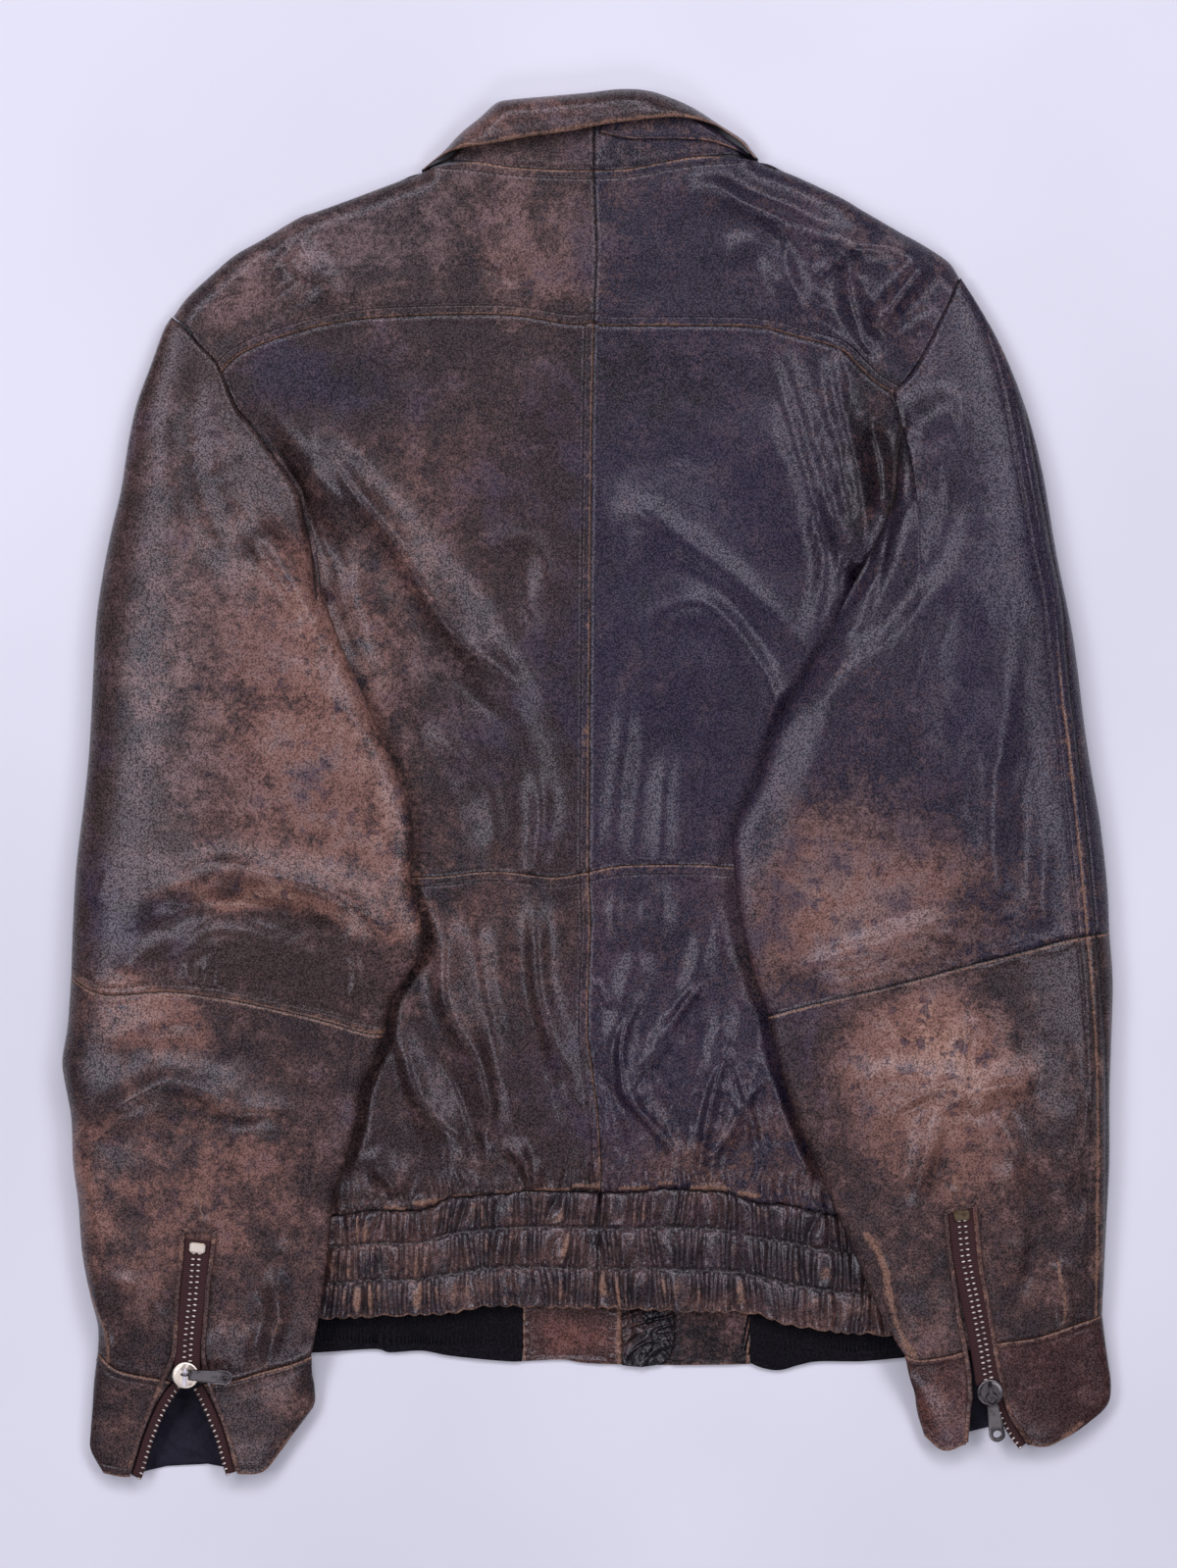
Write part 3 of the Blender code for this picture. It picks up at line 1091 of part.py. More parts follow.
def zip_hardware():
    """Top stops, sliders and pulls. Each pull's link runs through its slider's crown."""
    for side, spot in (("left", STOP_LEFT), ("right", STOP_RIGHT)):
        place = on_tape(side, np.array(spot), STOP_SIZE[1] / 2)
        solid(f"zip_stop_{side}", block(STOP_SIZE, (0, 0, STOP_SIZE[2] / 2), 0.4), "antique_brass", place)
    # The left pull turns on the crown's bar. The right one turns where its link passes under the bar.
    on_bar = Vector((0, PULL_OFFSET_LEFT, SLIDER_PLATE + CROWN_OPENING + CROWN_WIRE))
    on_post = Vector((0, CROWN_WIRE - CROWN_LENGTH / 2, SLIDER_PLATE + CROWN_OPENING / 2))
    under_bar = on_post + Vector((0, PULL_RIGHT[0], 0))
    links = {
        "left": (SLIDER_LEFT, PULL_LEFT, on_bar, on_bar, -2, PULL_DROP_LEFT),
        "right": (SLIDER_RIGHT, PULL_RIGHT, on_post, under_bar, -90, PULL_DROP_RIGHT),
    }
    for side, (spot, sizes, link_middle, hinge, heading, drop) in links.items():
        place = on_tape(side, np.array(spot), SLIDER_RADIUS)
        slider_body(side, place)
        turn = Matrix.Rotation(math.radians(heading), 4, "Z") @ Matrix.Rotation(math.radians(drop), 4, "Y")
        set_origin(pull(side, place @ Matrix.Translation(link_middle) @ turn, sizes), place @ hinge)


def make_materials():
    made = {}
    for name, (colour, roughness, metallic) in COLOURS.items():
        material = bpy.data.materials.new(name)
        material.use_nodes = True
        shader = material.node_tree.nodes["Principled BSDF"]
        shader.inputs["Base Color"].default_value = (*colour, 1)
        shader.inputs["Roughness"].default_value = roughness
        shader.inputs["Metallic"].default_value = metallic
        made[name] = material
    return made


for leftover in list(bpy.data.objects):
    bpy.data.objects.remove(leftover)
jacket = bpy.data.collections.new("leather_jacket")
bpy.context.scene.collection.children.link(jacket)
materials = make_materials()
back_panels()
waistband()
fronts()
hem_band()
zip_guard()
collar()
sleeves()
zip_tapes(cuffs())
zip_hardware()
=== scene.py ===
"""The looks of a worn leather blouson that lies flat on its front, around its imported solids.

Outlines are in millimetres as seen from above, from the middle of the laid-out jacket, with the collar
towards +Y and the back towards +Z. They are turned into metres when a mesh is made. Each leather piece is a
thin closed wall: a fine outer net, and an inner one with every fourth row and column of it.
"""

import math

import bmesh
import bpy
import numpy as np
from mathutils import Matrix, Vector
from mathutils.bvhtree import BVHTree


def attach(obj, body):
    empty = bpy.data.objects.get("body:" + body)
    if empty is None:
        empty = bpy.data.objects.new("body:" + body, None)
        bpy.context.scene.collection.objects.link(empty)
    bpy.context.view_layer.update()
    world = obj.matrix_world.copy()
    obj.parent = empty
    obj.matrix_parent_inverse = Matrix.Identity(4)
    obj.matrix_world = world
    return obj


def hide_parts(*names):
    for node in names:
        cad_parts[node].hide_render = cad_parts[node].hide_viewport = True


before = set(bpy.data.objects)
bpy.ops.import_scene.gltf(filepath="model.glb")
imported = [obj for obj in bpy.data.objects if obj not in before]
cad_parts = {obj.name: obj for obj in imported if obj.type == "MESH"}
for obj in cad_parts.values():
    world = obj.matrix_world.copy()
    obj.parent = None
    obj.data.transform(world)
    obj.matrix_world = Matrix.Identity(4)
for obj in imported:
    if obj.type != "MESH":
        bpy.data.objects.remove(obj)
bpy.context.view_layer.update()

MM = 0.001

# Thicknesses and gaps, in millimetres.
LEATHER = 1.9
KNIT = 3.0
SEAM_GAP = 0.3
ARMHOLE_GAP = 1.2
ARMHOLE_SHIFT = 1.8
ELBOW_GAP = 0.6
CUFF_GAP = 1.0

# Levels above the floor, in millimetres.
FRONT_TOP = 2.0
REST_ON_FRONT = FRONT_TOP + SEAM_GAP
REST_ON_BAND = KNIT + SEAM_GAP
HIDDEN_LEVEL = 13.0
SLEEVE_LEVEL = 14.6
BAND_LEVEL = 3.6

# Rounding of the body's free edges, the lift of the sleeves over the body, and the lift over the hem band.
BODY_EDGE_ROUND = 14.0
PLUMB_REACH = (2.0, 14.0)
COLLAR_ROUND = 12.0
COLLAR_TOP = 22.0
# The stand's and under collar's highest level, and how far inside the collar's outline each turns down.
STAND_TOP = (15.2, 5.0)
UNDER_TOP_LEVEL = (17.6, 2.8)
UNDER_LIFT = 2.3
STAND_LIFT = 0.7
COLLAR_REST = 0.4
UNDER_COLLAR = 1.5
SLEEVE_RAMP = 46.0
BAND_RAMP = 10.0
# The back's level, from the hem to the neck: the panels blouse over the gathered waistband.
BACK_LEVELS = (
    (-310, 9.6), (-245, 10.4), (-233, 11.0), (-218, 14.5), (-195, 16.0), (-110, 14.5),
    (0, 13.8), (110, 14.4), (230, 14.2), (343, 13.4),
)

# Outlines of the body.
NECK = ((4, 343), (-20, 343.5), (-43, 345), (-65, 348), (-81, 349), (-93, 343))
SHOULDER_LEFT = (
    (-93, 343), (-107, 338), (-131, 329), (-153, 321), (-162, 318), (-182, 306), (-198, 297),
    (-211, 286), (-225, 273), (-233, 262),
)
NECK_RIGHT = ((4, 343), (24, 344), (45, 348), (66, 351), (84, 352), (97, 349))
SHOULDER_RIGHT = (
    (97, 349), (111, 344), (123, 339), (144, 329), (154, 323), (166, 316), (178, 309), (189, 303),
    (204, 293), (210, 284),
)
YOKE_HEAD_LEFT = ((-205, 230), (-209, 237), (-218, 246), (-224, 255), (-233, 262))
YOKE_HEAD_RIGHT = ((172, 218), (182, 229), (192, 246), (202, 266), (210, 284))
YOKE_EDGE_LEFT = (
    (-205, 230), (-196, 239), (-179, 247), (-153, 255), (-124, 260), (-87, 262), (-43, 262),
    (-10, 257), (4, 258),
)
YOKE_EDGE_RIGHT = (
    (172, 218), (161, 225), (152, 234), (142, 243), (121, 249), (96, 255), (56, 256), (13, 256), (4, 258),
)
ARMHOLE_LEFT = (
    (-150, 102), (-154, 130), (-158, 147), (-162, 163), (-177, 185), (-188, 200), (-196, 209), (-205, 230),
)
ARMHOLE_RIGHT = (
    (151, 114), (161, 131), (169, 150), (173, 158), (175, 186), (178, 198), (177, 208), (172, 218),
)
CENTRE_YOKE = ((4, 258), (5.5, 289), (5.5, 307), (4, 343))
CENTRE_UPPER = ((1, -51), (1.6, 60), (2.6, 180), (4, 258))
CENTRE_LOWER = ((7.5, -231), (8, -217), (6, -184), (2, -153), (0.5, -141), (1, -108), (2, -82), (1, -51))
CENTRE_BAND = ((5.5, -296), (6.5, -262), (7.5, -231))
# The back's edge at the right armhole, tucked a little further under the sleeve.
UNDER_ARM_RIGHT = (
    (178, 92), (168, 112), (168, 131), (173, 150), (175, 158), (177, 186), (179, 198), (177, 208), (172, 218),
)
# Under the sleeves: from the armhole's foot round the underarm and down the side seam.
SIDE_LEFT_UPPER = ((-218, -54), (-222, -10), (-222, 25), (-212, 45), (-190, 62), (-165, 80), (-150, 102))
SIDE_RIGHT_UPPER = ((222, -48), (228, -10), (228, 28), (218, 48), (195, 68), (168, 86), (151, 114))
SIDE_LEFT_LOWER = ((-190, -244), (-205, -150), (-218, -54))
SIDE_RIGHT_LOWER = ((194, -246), (210, -150), (222, -48))
SIDE_LEFT_BAND = ((-190, -303), (-191, -272), (-190, -244))
SIDE_RIGHT_BAND = ((195, -315), (195, -280), (194, -246))
WAIST_LEFT = ((-218, -54), (-160, -55), (-98, -54), (-78, -53), (-61, -51), (-44, -51), (-19, -54), (1, -51))
WAIST_RIGHT = ((222, -48), (150, -49), (82, -48), (65, -47), (32, -47), (15, -48), (1, -51))
BAND_TOP_LEFT = (
    (-190, -244), (-142, -244), (-120, -241), (-93, -241), (-76, -234), (-49, -232), (-32, -230), (7.5, -231),
)
BAND_TOP_RIGHT = (
    (194, -246), (141, -244), (113, -238), (96, -237), (78, -231), (63, -230), (45, -229), (23, -231),
    (7.5, -231),
)
BAND_FOOT_LEFT = ((-190, -303), (-148, -302), (-98, -300), (-76, -299), (-54, -295), (-10, -296), (5.5, -296))
BAND_FOOT_RIGHT = (
    (195, -315), (164, -311), (144, -310), (111, -305), (93, -299), (56, -298), (12, -296), (5.5, -296),
)

# The front lies under the back. Its hem band shows below the waistband.
FRONT_CLOSURE = 20
FRONT_HEM = -262
FRONT_INSET = 4.0
FRONT_NECK_LEFT = ((20, 262), (-8, 266), (-38, 284), (-66, 312), (-93, 342))
FRONT_NECK_RIGHT = ((20, 262), (34, 266), (58, 284), (78, 314), (97, 348))
GUARD_EDGE = 49
GUARD_TOP = 250
KNIT_FOOT_LEFT = (
    (-190, -322), (-153, -322), (-120, -320), (-111, -322), (-93, -321), (-76, -324), (-45, -327),
    (-36.3, -327),
)
TAB_BROWN_FOOT = ((-36, -327), (-14, -326), (-1, -328), (19.4, -329))
TAB_DARK_FOOT = ((49.6, -329.6), (70, -329), (92, -328.6))
KNIT_FOOT_RIGHT = (
    (92.3, -328), (100, -331), (109, -332), (120, -329), (131, -327), (155, -327), (178, -325), (195, -324),
)

# The collar.
FALL_OUTLINE = (
    (-93, 345), (-87, 350), (-80, 356), (-71, 366), (-60, 375), (-51, 383), (-43, 385), (-21, 387), (1, 389),
    (19, 391), (35, 390), (50, 385), (62, 379), (74, 371), (88, 362), (93, 356), (97, 351),
)
FALL_EDGE = (
    (-91, 344.5), (-86, 349), (-75, 354), (-54, 357), (-32, 361), (-10, 364), (11, 368), (35, 371), (53, 372),
    (71, 369), (79, 364.5), (87, 358.5), (92.5, 352.5), (94, 350.5),
)
STAND_TOP_LEFT = ((-80, 350.6), (-71, 356), (-54, 360), (-32, 364), (-10, 367), (4, 369))
STAND_TOP_RIGHT = ((4, 369), (24, 370), (45, 367), (66, 364), (76, 360), (86, 354))
UNDER_EDGE = ((8, 364.5), (24, 361), (45, 361), (66, 360), (76, 357.5), (84, 354.5))
UNDER_TOP = ((9, 369.5), (30, 374), (52, 374.5), (62, 372), (71, 367), (83.5, 358))

# The sleeves, folded down over the body's sides.
SLEEVE_OUT_LEFT = (
    (-290, -108), (-289, -79), (-287, -46), (-283, -13), (-280, 16), (-278, 53), (-276, 90), (-272, 118),
    (-267, 143), (-262, 164), (-258, 190), (-253, 213), (-245, 235), (-238, 254), (-233.6, 261.4),
)
SLEEVE_IN_LEFT = (
    (-113, -141), (-109, -123), (-102, -112), (-92, -95), (-92, -79), (-98, -58), (-97, -38), (-97, -24),
    (-103, -2), (-112, 20), (-123, 44), (-132, 64), (-143, 86), (-150.6, 101.6),
)
SLEEVE_HEAD_LEFT = (
    (-233.6, 261.4), (-224, 253), (-218, 246), (-209, 237), (-205, 230), (-196, 209), (-188, 200), (-177, 185),
    (-162, 163), (-158, 147), (-154, 130), (-150.6, 101.6),
)
ELBOW_LEFT = (
    (-290, -108), (-278, -116), (-264, -119), (-234, -117), (-206, -120), (-176, -126), (-147, -133),
    (-124, -140), (-113, -141),
)
FOREARM_OUT_LEFT = (
    (-275, -321), (-275, -306), (-280, -286), (-284, -264), (-286, -237), (-289, -214), (-290, -189),
    (-294, -167), (-295, -156), (-292, -137), (-290, -108),
)
FOREARM_IN_LEFT = (
    (-154, -322), (-150, -302), (-146, -277), (-143, -255), (-141, -233), (-136, -217), (-129, -195),
    (-125, -172), (-116, -152), (-113, -141),
)
CUFF_SEAM_LEFT = (
    (-275, -321), (-264, -330), (-245, -334), (-222, -337.5), (-199, -336), (-182, -331), (-163, -326),
    (-154, -322),
)
CUFF_OUT_LEFT = ((-272, -389), (-279, -376), (-279, -366), (-278, -352), (-277, -337), (-275, -321))
CUFF_IN_LEFT = ((-165, -367), (-158, -358), (-153, -350), (-153, -340), (-154, -332), (-154, -322))
CUFF_HEM_LEFT = (
    (-272, -389), (-257, -391), (-240, -387), (-222, -384), (-204, -387), (-195, -389), (-182, -388),
    (-173, -378), (-165, -367),
)
SLEEVE_OUT_RIGHT = (
    (294, -84), (293, -60), (289, -24), (284, 5), (280, 31), (276, 64), (272, 90), (264, 129), (256, 176),
    (246, 213), (233, 245), (221, 267), (210.6, 283.4),
)
SLEEVE_IN_RIGHT = (
    (101, -131), (95, -114), (86, -81), (82, -48), (82, -27), (95, 0), (107, 33), (120, 55), (137, 85),
    (147, 106), (151.6, 113.6),
)
SLEEVE_HEAD_RIGHT = (
    (210.6, 283.4), (202, 266), (192, 246), (182, 229), (172, 218), (177, 208), (178, 198), (175, 186),
    (173, 158), (169, 150), (161, 131), (151.6, 113.6),
)
ELBOW_RIGHT = (
    (294, -84), (269, -88), (250, -93), (214, -102), (177, -112), (157, -117), (126, -124), (101, -131),
)
FOREARM_OUT_RIGHT = (
    (290, -300), (291, -280), (292, -255), (294, -214), (294, -178), (295, -148), (296, -112), (294, -84),
)
FOREARM_IN_RIGHT = (
    (178, -321), (171, -310), (158, -284), (149, -262), (141, -245), (132, -223), (119, -194), (106, -155),
    (101, -131),
)
CUFF_SEAM_RIGHT = (
    (290, -300), (270, -306), (251, -312), (227, -315), (212, -319), (202, -322), (186, -324), (178, -321),
)
CUFF_OUT_RIGHT = ((278, -360), (287, -357), (294, -349), (295, -337), (293, -324), (290, -300))
CUFF_IN_RIGHT = ((190, -368), (186, -355), (184, -343), (181, -334), (178, -321))
CUFF_HEM_RIGHT = (
    (278, -360), (267, -370), (256, -374), (243, -371), (228, -371), (213, -372.5), (204, -376), (198, -375),
    (190, -368),
)

# The crown of each sleeve above the floor, from its lower end to its upper end.
SLEEVE_CROWN = ((0, 34), (0.3, 37), (0.62, 37), (0.85, 28), (1, 16))
FOREARM_CROWN = ((0, 20), (0.2, 27), (0.55, 34), (1, 34))
CUFF_CROWN = ((0, 12), (1, 20))
SIDE_ROUND = 7.5

# The cuff zips. Each runs down the sleeve on its upper side: open below its slider on the left, and closed
# nearly to the hem on the right. The slits are the cuffs' own edges beside the open length.
ZIP_LEFT = ((-223.4, -330), (-222.6, -316), (-221.6, -305), (-220, -292), (-218.6, -277), (-216.3, -255.4))
ZIP_RIGHT = ((225.4, -337), (222.4, -319), (219, -302), (215, -283), (211, -264), (208.6, -238.6))
STOP_LEFT = (-216.6, -259.6)
STOP_RIGHT = (208.8, -241.4)
SLIT_LEFT = (((-257, -388.4), (-250, -367), (-240, -345), (-232.4, -333.8)),
             ((-196, -388.4), (-202, -365), (-210, -345), (-214.4, -335.8)))
SLIT_RIGHT = (((213, -372), (214.2, -355), (214.6, -339), (213.2, -319)),
              ((249, -372), (239, -357), (233, -341), (227.6, -315.6)))
NOTCH_RIGHT = (226, -349)
NOTCH_REACH = 9
TAPE_HALF_WIDTH = 7.4
TAPE = 1.0
TAPE_LIFT = 0.5
FLAP_WIDTH = 6.0
FLAP_ROWS = 4
FLAP_SHORT = 0.2
STOP_SIZE = (8.6, 5.4, 2.0)
SLIDER_LEFT = (-223.9, -331.4)
SLIDER_RIGHT = (225.9, -341.6)
SLIDER_RADIUS = 7.4
SLIDER_PLATE = 1.8
CROWN_LENGTH = 9.6
CROWN_WIRE = 0.95
CROWN_OPENING = 2.8
LINK_WIRE = 0.5
PULL_THICK = 1.3
SLIDER_SEAT = 0.5
# Each pull: its link's radius, then the tab's length, width at the link, width at the tip and eye radius.
PULL_LEFT = (2.1, 26.5, 5.6, 8.4, 1.7)
PULL_RIGHT = (3.0, 25.2, 6.0, 9.0, 2.3)
PULL_DROP_LEFT = 4
PULL_DROP_RIGHT = 6
PULL_OFFSET_LEFT = 1.6

# Folds: height (ridges above 0, troughs below), half width and the line each follows.
BODY_FOLDS = (
    (5.5, 15, ((-156, 192), (-124, 156), (-91, 120), (-64, 80), (-45, 40), (-31, 0), (-24, -40))),
    (-5, 9, ((-185, 205), (-162, 164), (-153, 148), (-143, 124), (-136, 90), (-122, 60))),
    (5, 9, ((106, 241), (115, 215), (123, 190), (135, 155), (146, 129))),
    (4, 6, ((137, 241), (141, 215), (147, 190), (153, 164), (156, 133))),
    (-4, 7, ((100, 245), (111, 216), (121, 179), (130, 147), (135, 121), (128, 84))),
    (-5, 6, ((160, 200), (166, 176), (166, 150))),
    (4, 8, ((56, 335), (89, 324), (122, 308), (150, 301), (189, 294))),
    (3, 8, ((78, 301), (95, 299), (106, 287), (111, 273))),
    (4, 7, ((192, 293), (182, 279), (166, 262), (158, 244))),
    (-4, 8, ((147, 293), (149, 272), (158, 251), (166, 238))),
    (3, 9, ((-166, 301), (-153, 287), (-142, 270))),
    (4, 26, ((60, 40), (52, 100), (40, 180))),
    (3.4, 10, ((-81, -68), (-76, -116), (-64, -150), (-56, -175), (-57, -205))),
    (3, 9, ((-29, -57), (-29, -108), (-20, -138), (-10, -167), (-4, -200))),
    (3, 9, ((-107, -131), (-98, -162), (-83, -189), (-68, -212))),
    (3.5, 6, ((-46, -200), (-36, -211), (-32, -222), (-29, -232))),
    (3, 8, ((-120, -205), (-103, -232))),
    (3.2, 8, ((32, -60), (30, -95), (22, -120), (19, -150), (27, -182), (46, -206), (56, -224))),
    (3, 7, ((67, -80), (60, -113), (44, -142), (30, -167), (24, -185))),
    (3, 7, ((77, -120), (74, -153), (69, -180), (64, -216))),
    (2.6, 7, ((92, -150), (88, -180), (80, -197), (70, -214))),
    (3, 8, ((104, -158), (118, -200), (126, -228))),
)
SLEEVE_FOLDS = (
    (4, 9, ((-185, 142), (-169, 122), (-154, 98))),
    (5, 15, ((-240, -62), (-191, -51), (-147, -59), (-116, -80))),
    (-4, 10, ((-250, -90), (-219, -72), (-175, -74), (-138, -90))),
    (-4, 10, ((-215, 236), (-222, 200), (-214, 150), (-190, 110))),
    (4, 18, ((222, 53), (226, 0), (224, -50), (222, -84))),
    (4, 11, ((118, -103), (155, -92), (188, -84), (210, -72))),
    (2.6, 10, ((209, 207), (196, 207), (182, 196))),
    (-4, 10, ((150, 70), (172, 96), (196, 130), (206, 170))),
)
FOREARM_FOLDS = (
    (4, 12, ((-279, -194), (-268, -183), (-241, -169), (-202, -175), (-164, -189))),
    (-3, 10, ((-270, -150), (-230, -146), (-180, -156))),
    (3, 5, ((-277, -284), (-271, -300), (-266, -316))),
    (3, 5, ((-173, -268), (-175, -290), (-179, -315))),
    (5, 10, ((150, -163), (185, -166), (215, -172), (246, -160))),
    (4, 8, ((215, -172), (196, -183), (188, -211), (180, -235))),
    (4, 8, ((215, -172), (232, -195), (240, -220))),
    (3, 8, ((278, -134), (279, -180), (276, -222))),
    (-3, 9, ((260, -222), (254, -260), (248, -290))),
    (3, 5, ((263, -268), (266, -288), (267, -302))),
)

# The scene's own nets, in millimetres: the step between points, the finer step beside seams, the underside's
# step, the steps on small pieces, and how many fine points make one of the inner wall's.
STEP = 1.9
FINE = 0.55
UNDER_STEP = 5.5
BAND_STEP = 1.0
COLLAR_STEP = 1.1
GUARD_STEP = 1.0
SKIP = 4
WALL = 1.3
EDGE = 0.5
CUFF_TOP_COLUMNS = 34
CUFF_UNDER_COLUMNS = 31
TURNS = np.random.default_rng(11).uniform(0, 2 * math.pi, (256, 256))

# Relief of the leather, in millimetres, and how strongly proud places are rubbed.
STITCH_GROOVE = 0.4
RUB = 0.2
FOLD_DEPTH = 1.6
BED_GAP = 0.35
GATHER_PITCH = 7.0
GATHER_HEIGHT = 5.0
PUCKER_HEIGHT = 2.4
PUCKER_REACH = 13.0
BAND_CHANNELS = (0.0, 0.345, 0.69, 1.0)

# Sewing and trims.
STITCH_PITCH = 3.2
STITCH_SIZE = (2.3, 0.62, 0.5)
RIB_PITCH = 2.15
TOOTH_PITCH = 3.2
WELT_HALF_WIDTH = 1.5
WELT_HEIGHT = 0.9
FLAP_LENGTH = 62.0

# The seam down the right sleeve, and the leather edges that frame the cuff zips, from the hem up.
RIGHT_SEAM = (
    (291, -320), (291, -178), (288, -119), (285, -86), (282, -53), (278, -13), (274, 24), (271, 46), (268, 77),
    (266, 101), (260, 130), (252, 174), (244, 219), (236, 250),
)
LEFT_EDGE_LEFT = (
    (-257, -387), (-250, -365), (-240, -341), (-232, -324), (-230, -315), (-229, -299), (-228, -283),
    (-226, -267), (-225, -250),
)
LEFT_EDGE_RIGHT = (
    (-196, -387), (-202, -363), (-211, -338), (-214, -321), (-213, -305), (-212, -293), (-211, -280),
    (-209, -267), (-207, -250),
)
RIGHT_EDGE_LEFT = (
    (213, -371), (214, -355), (215, -339), (212, -320), (208, -300), (205, -280), (202, -261), (200, -240),
)
RIGHT_EDGE_RIGHT = (
    (249, -372), (243, -366), (237, -352), (232, -334), (228, -315), (224, -293), (220, -273), (218, -255),
    (216, -236),
)

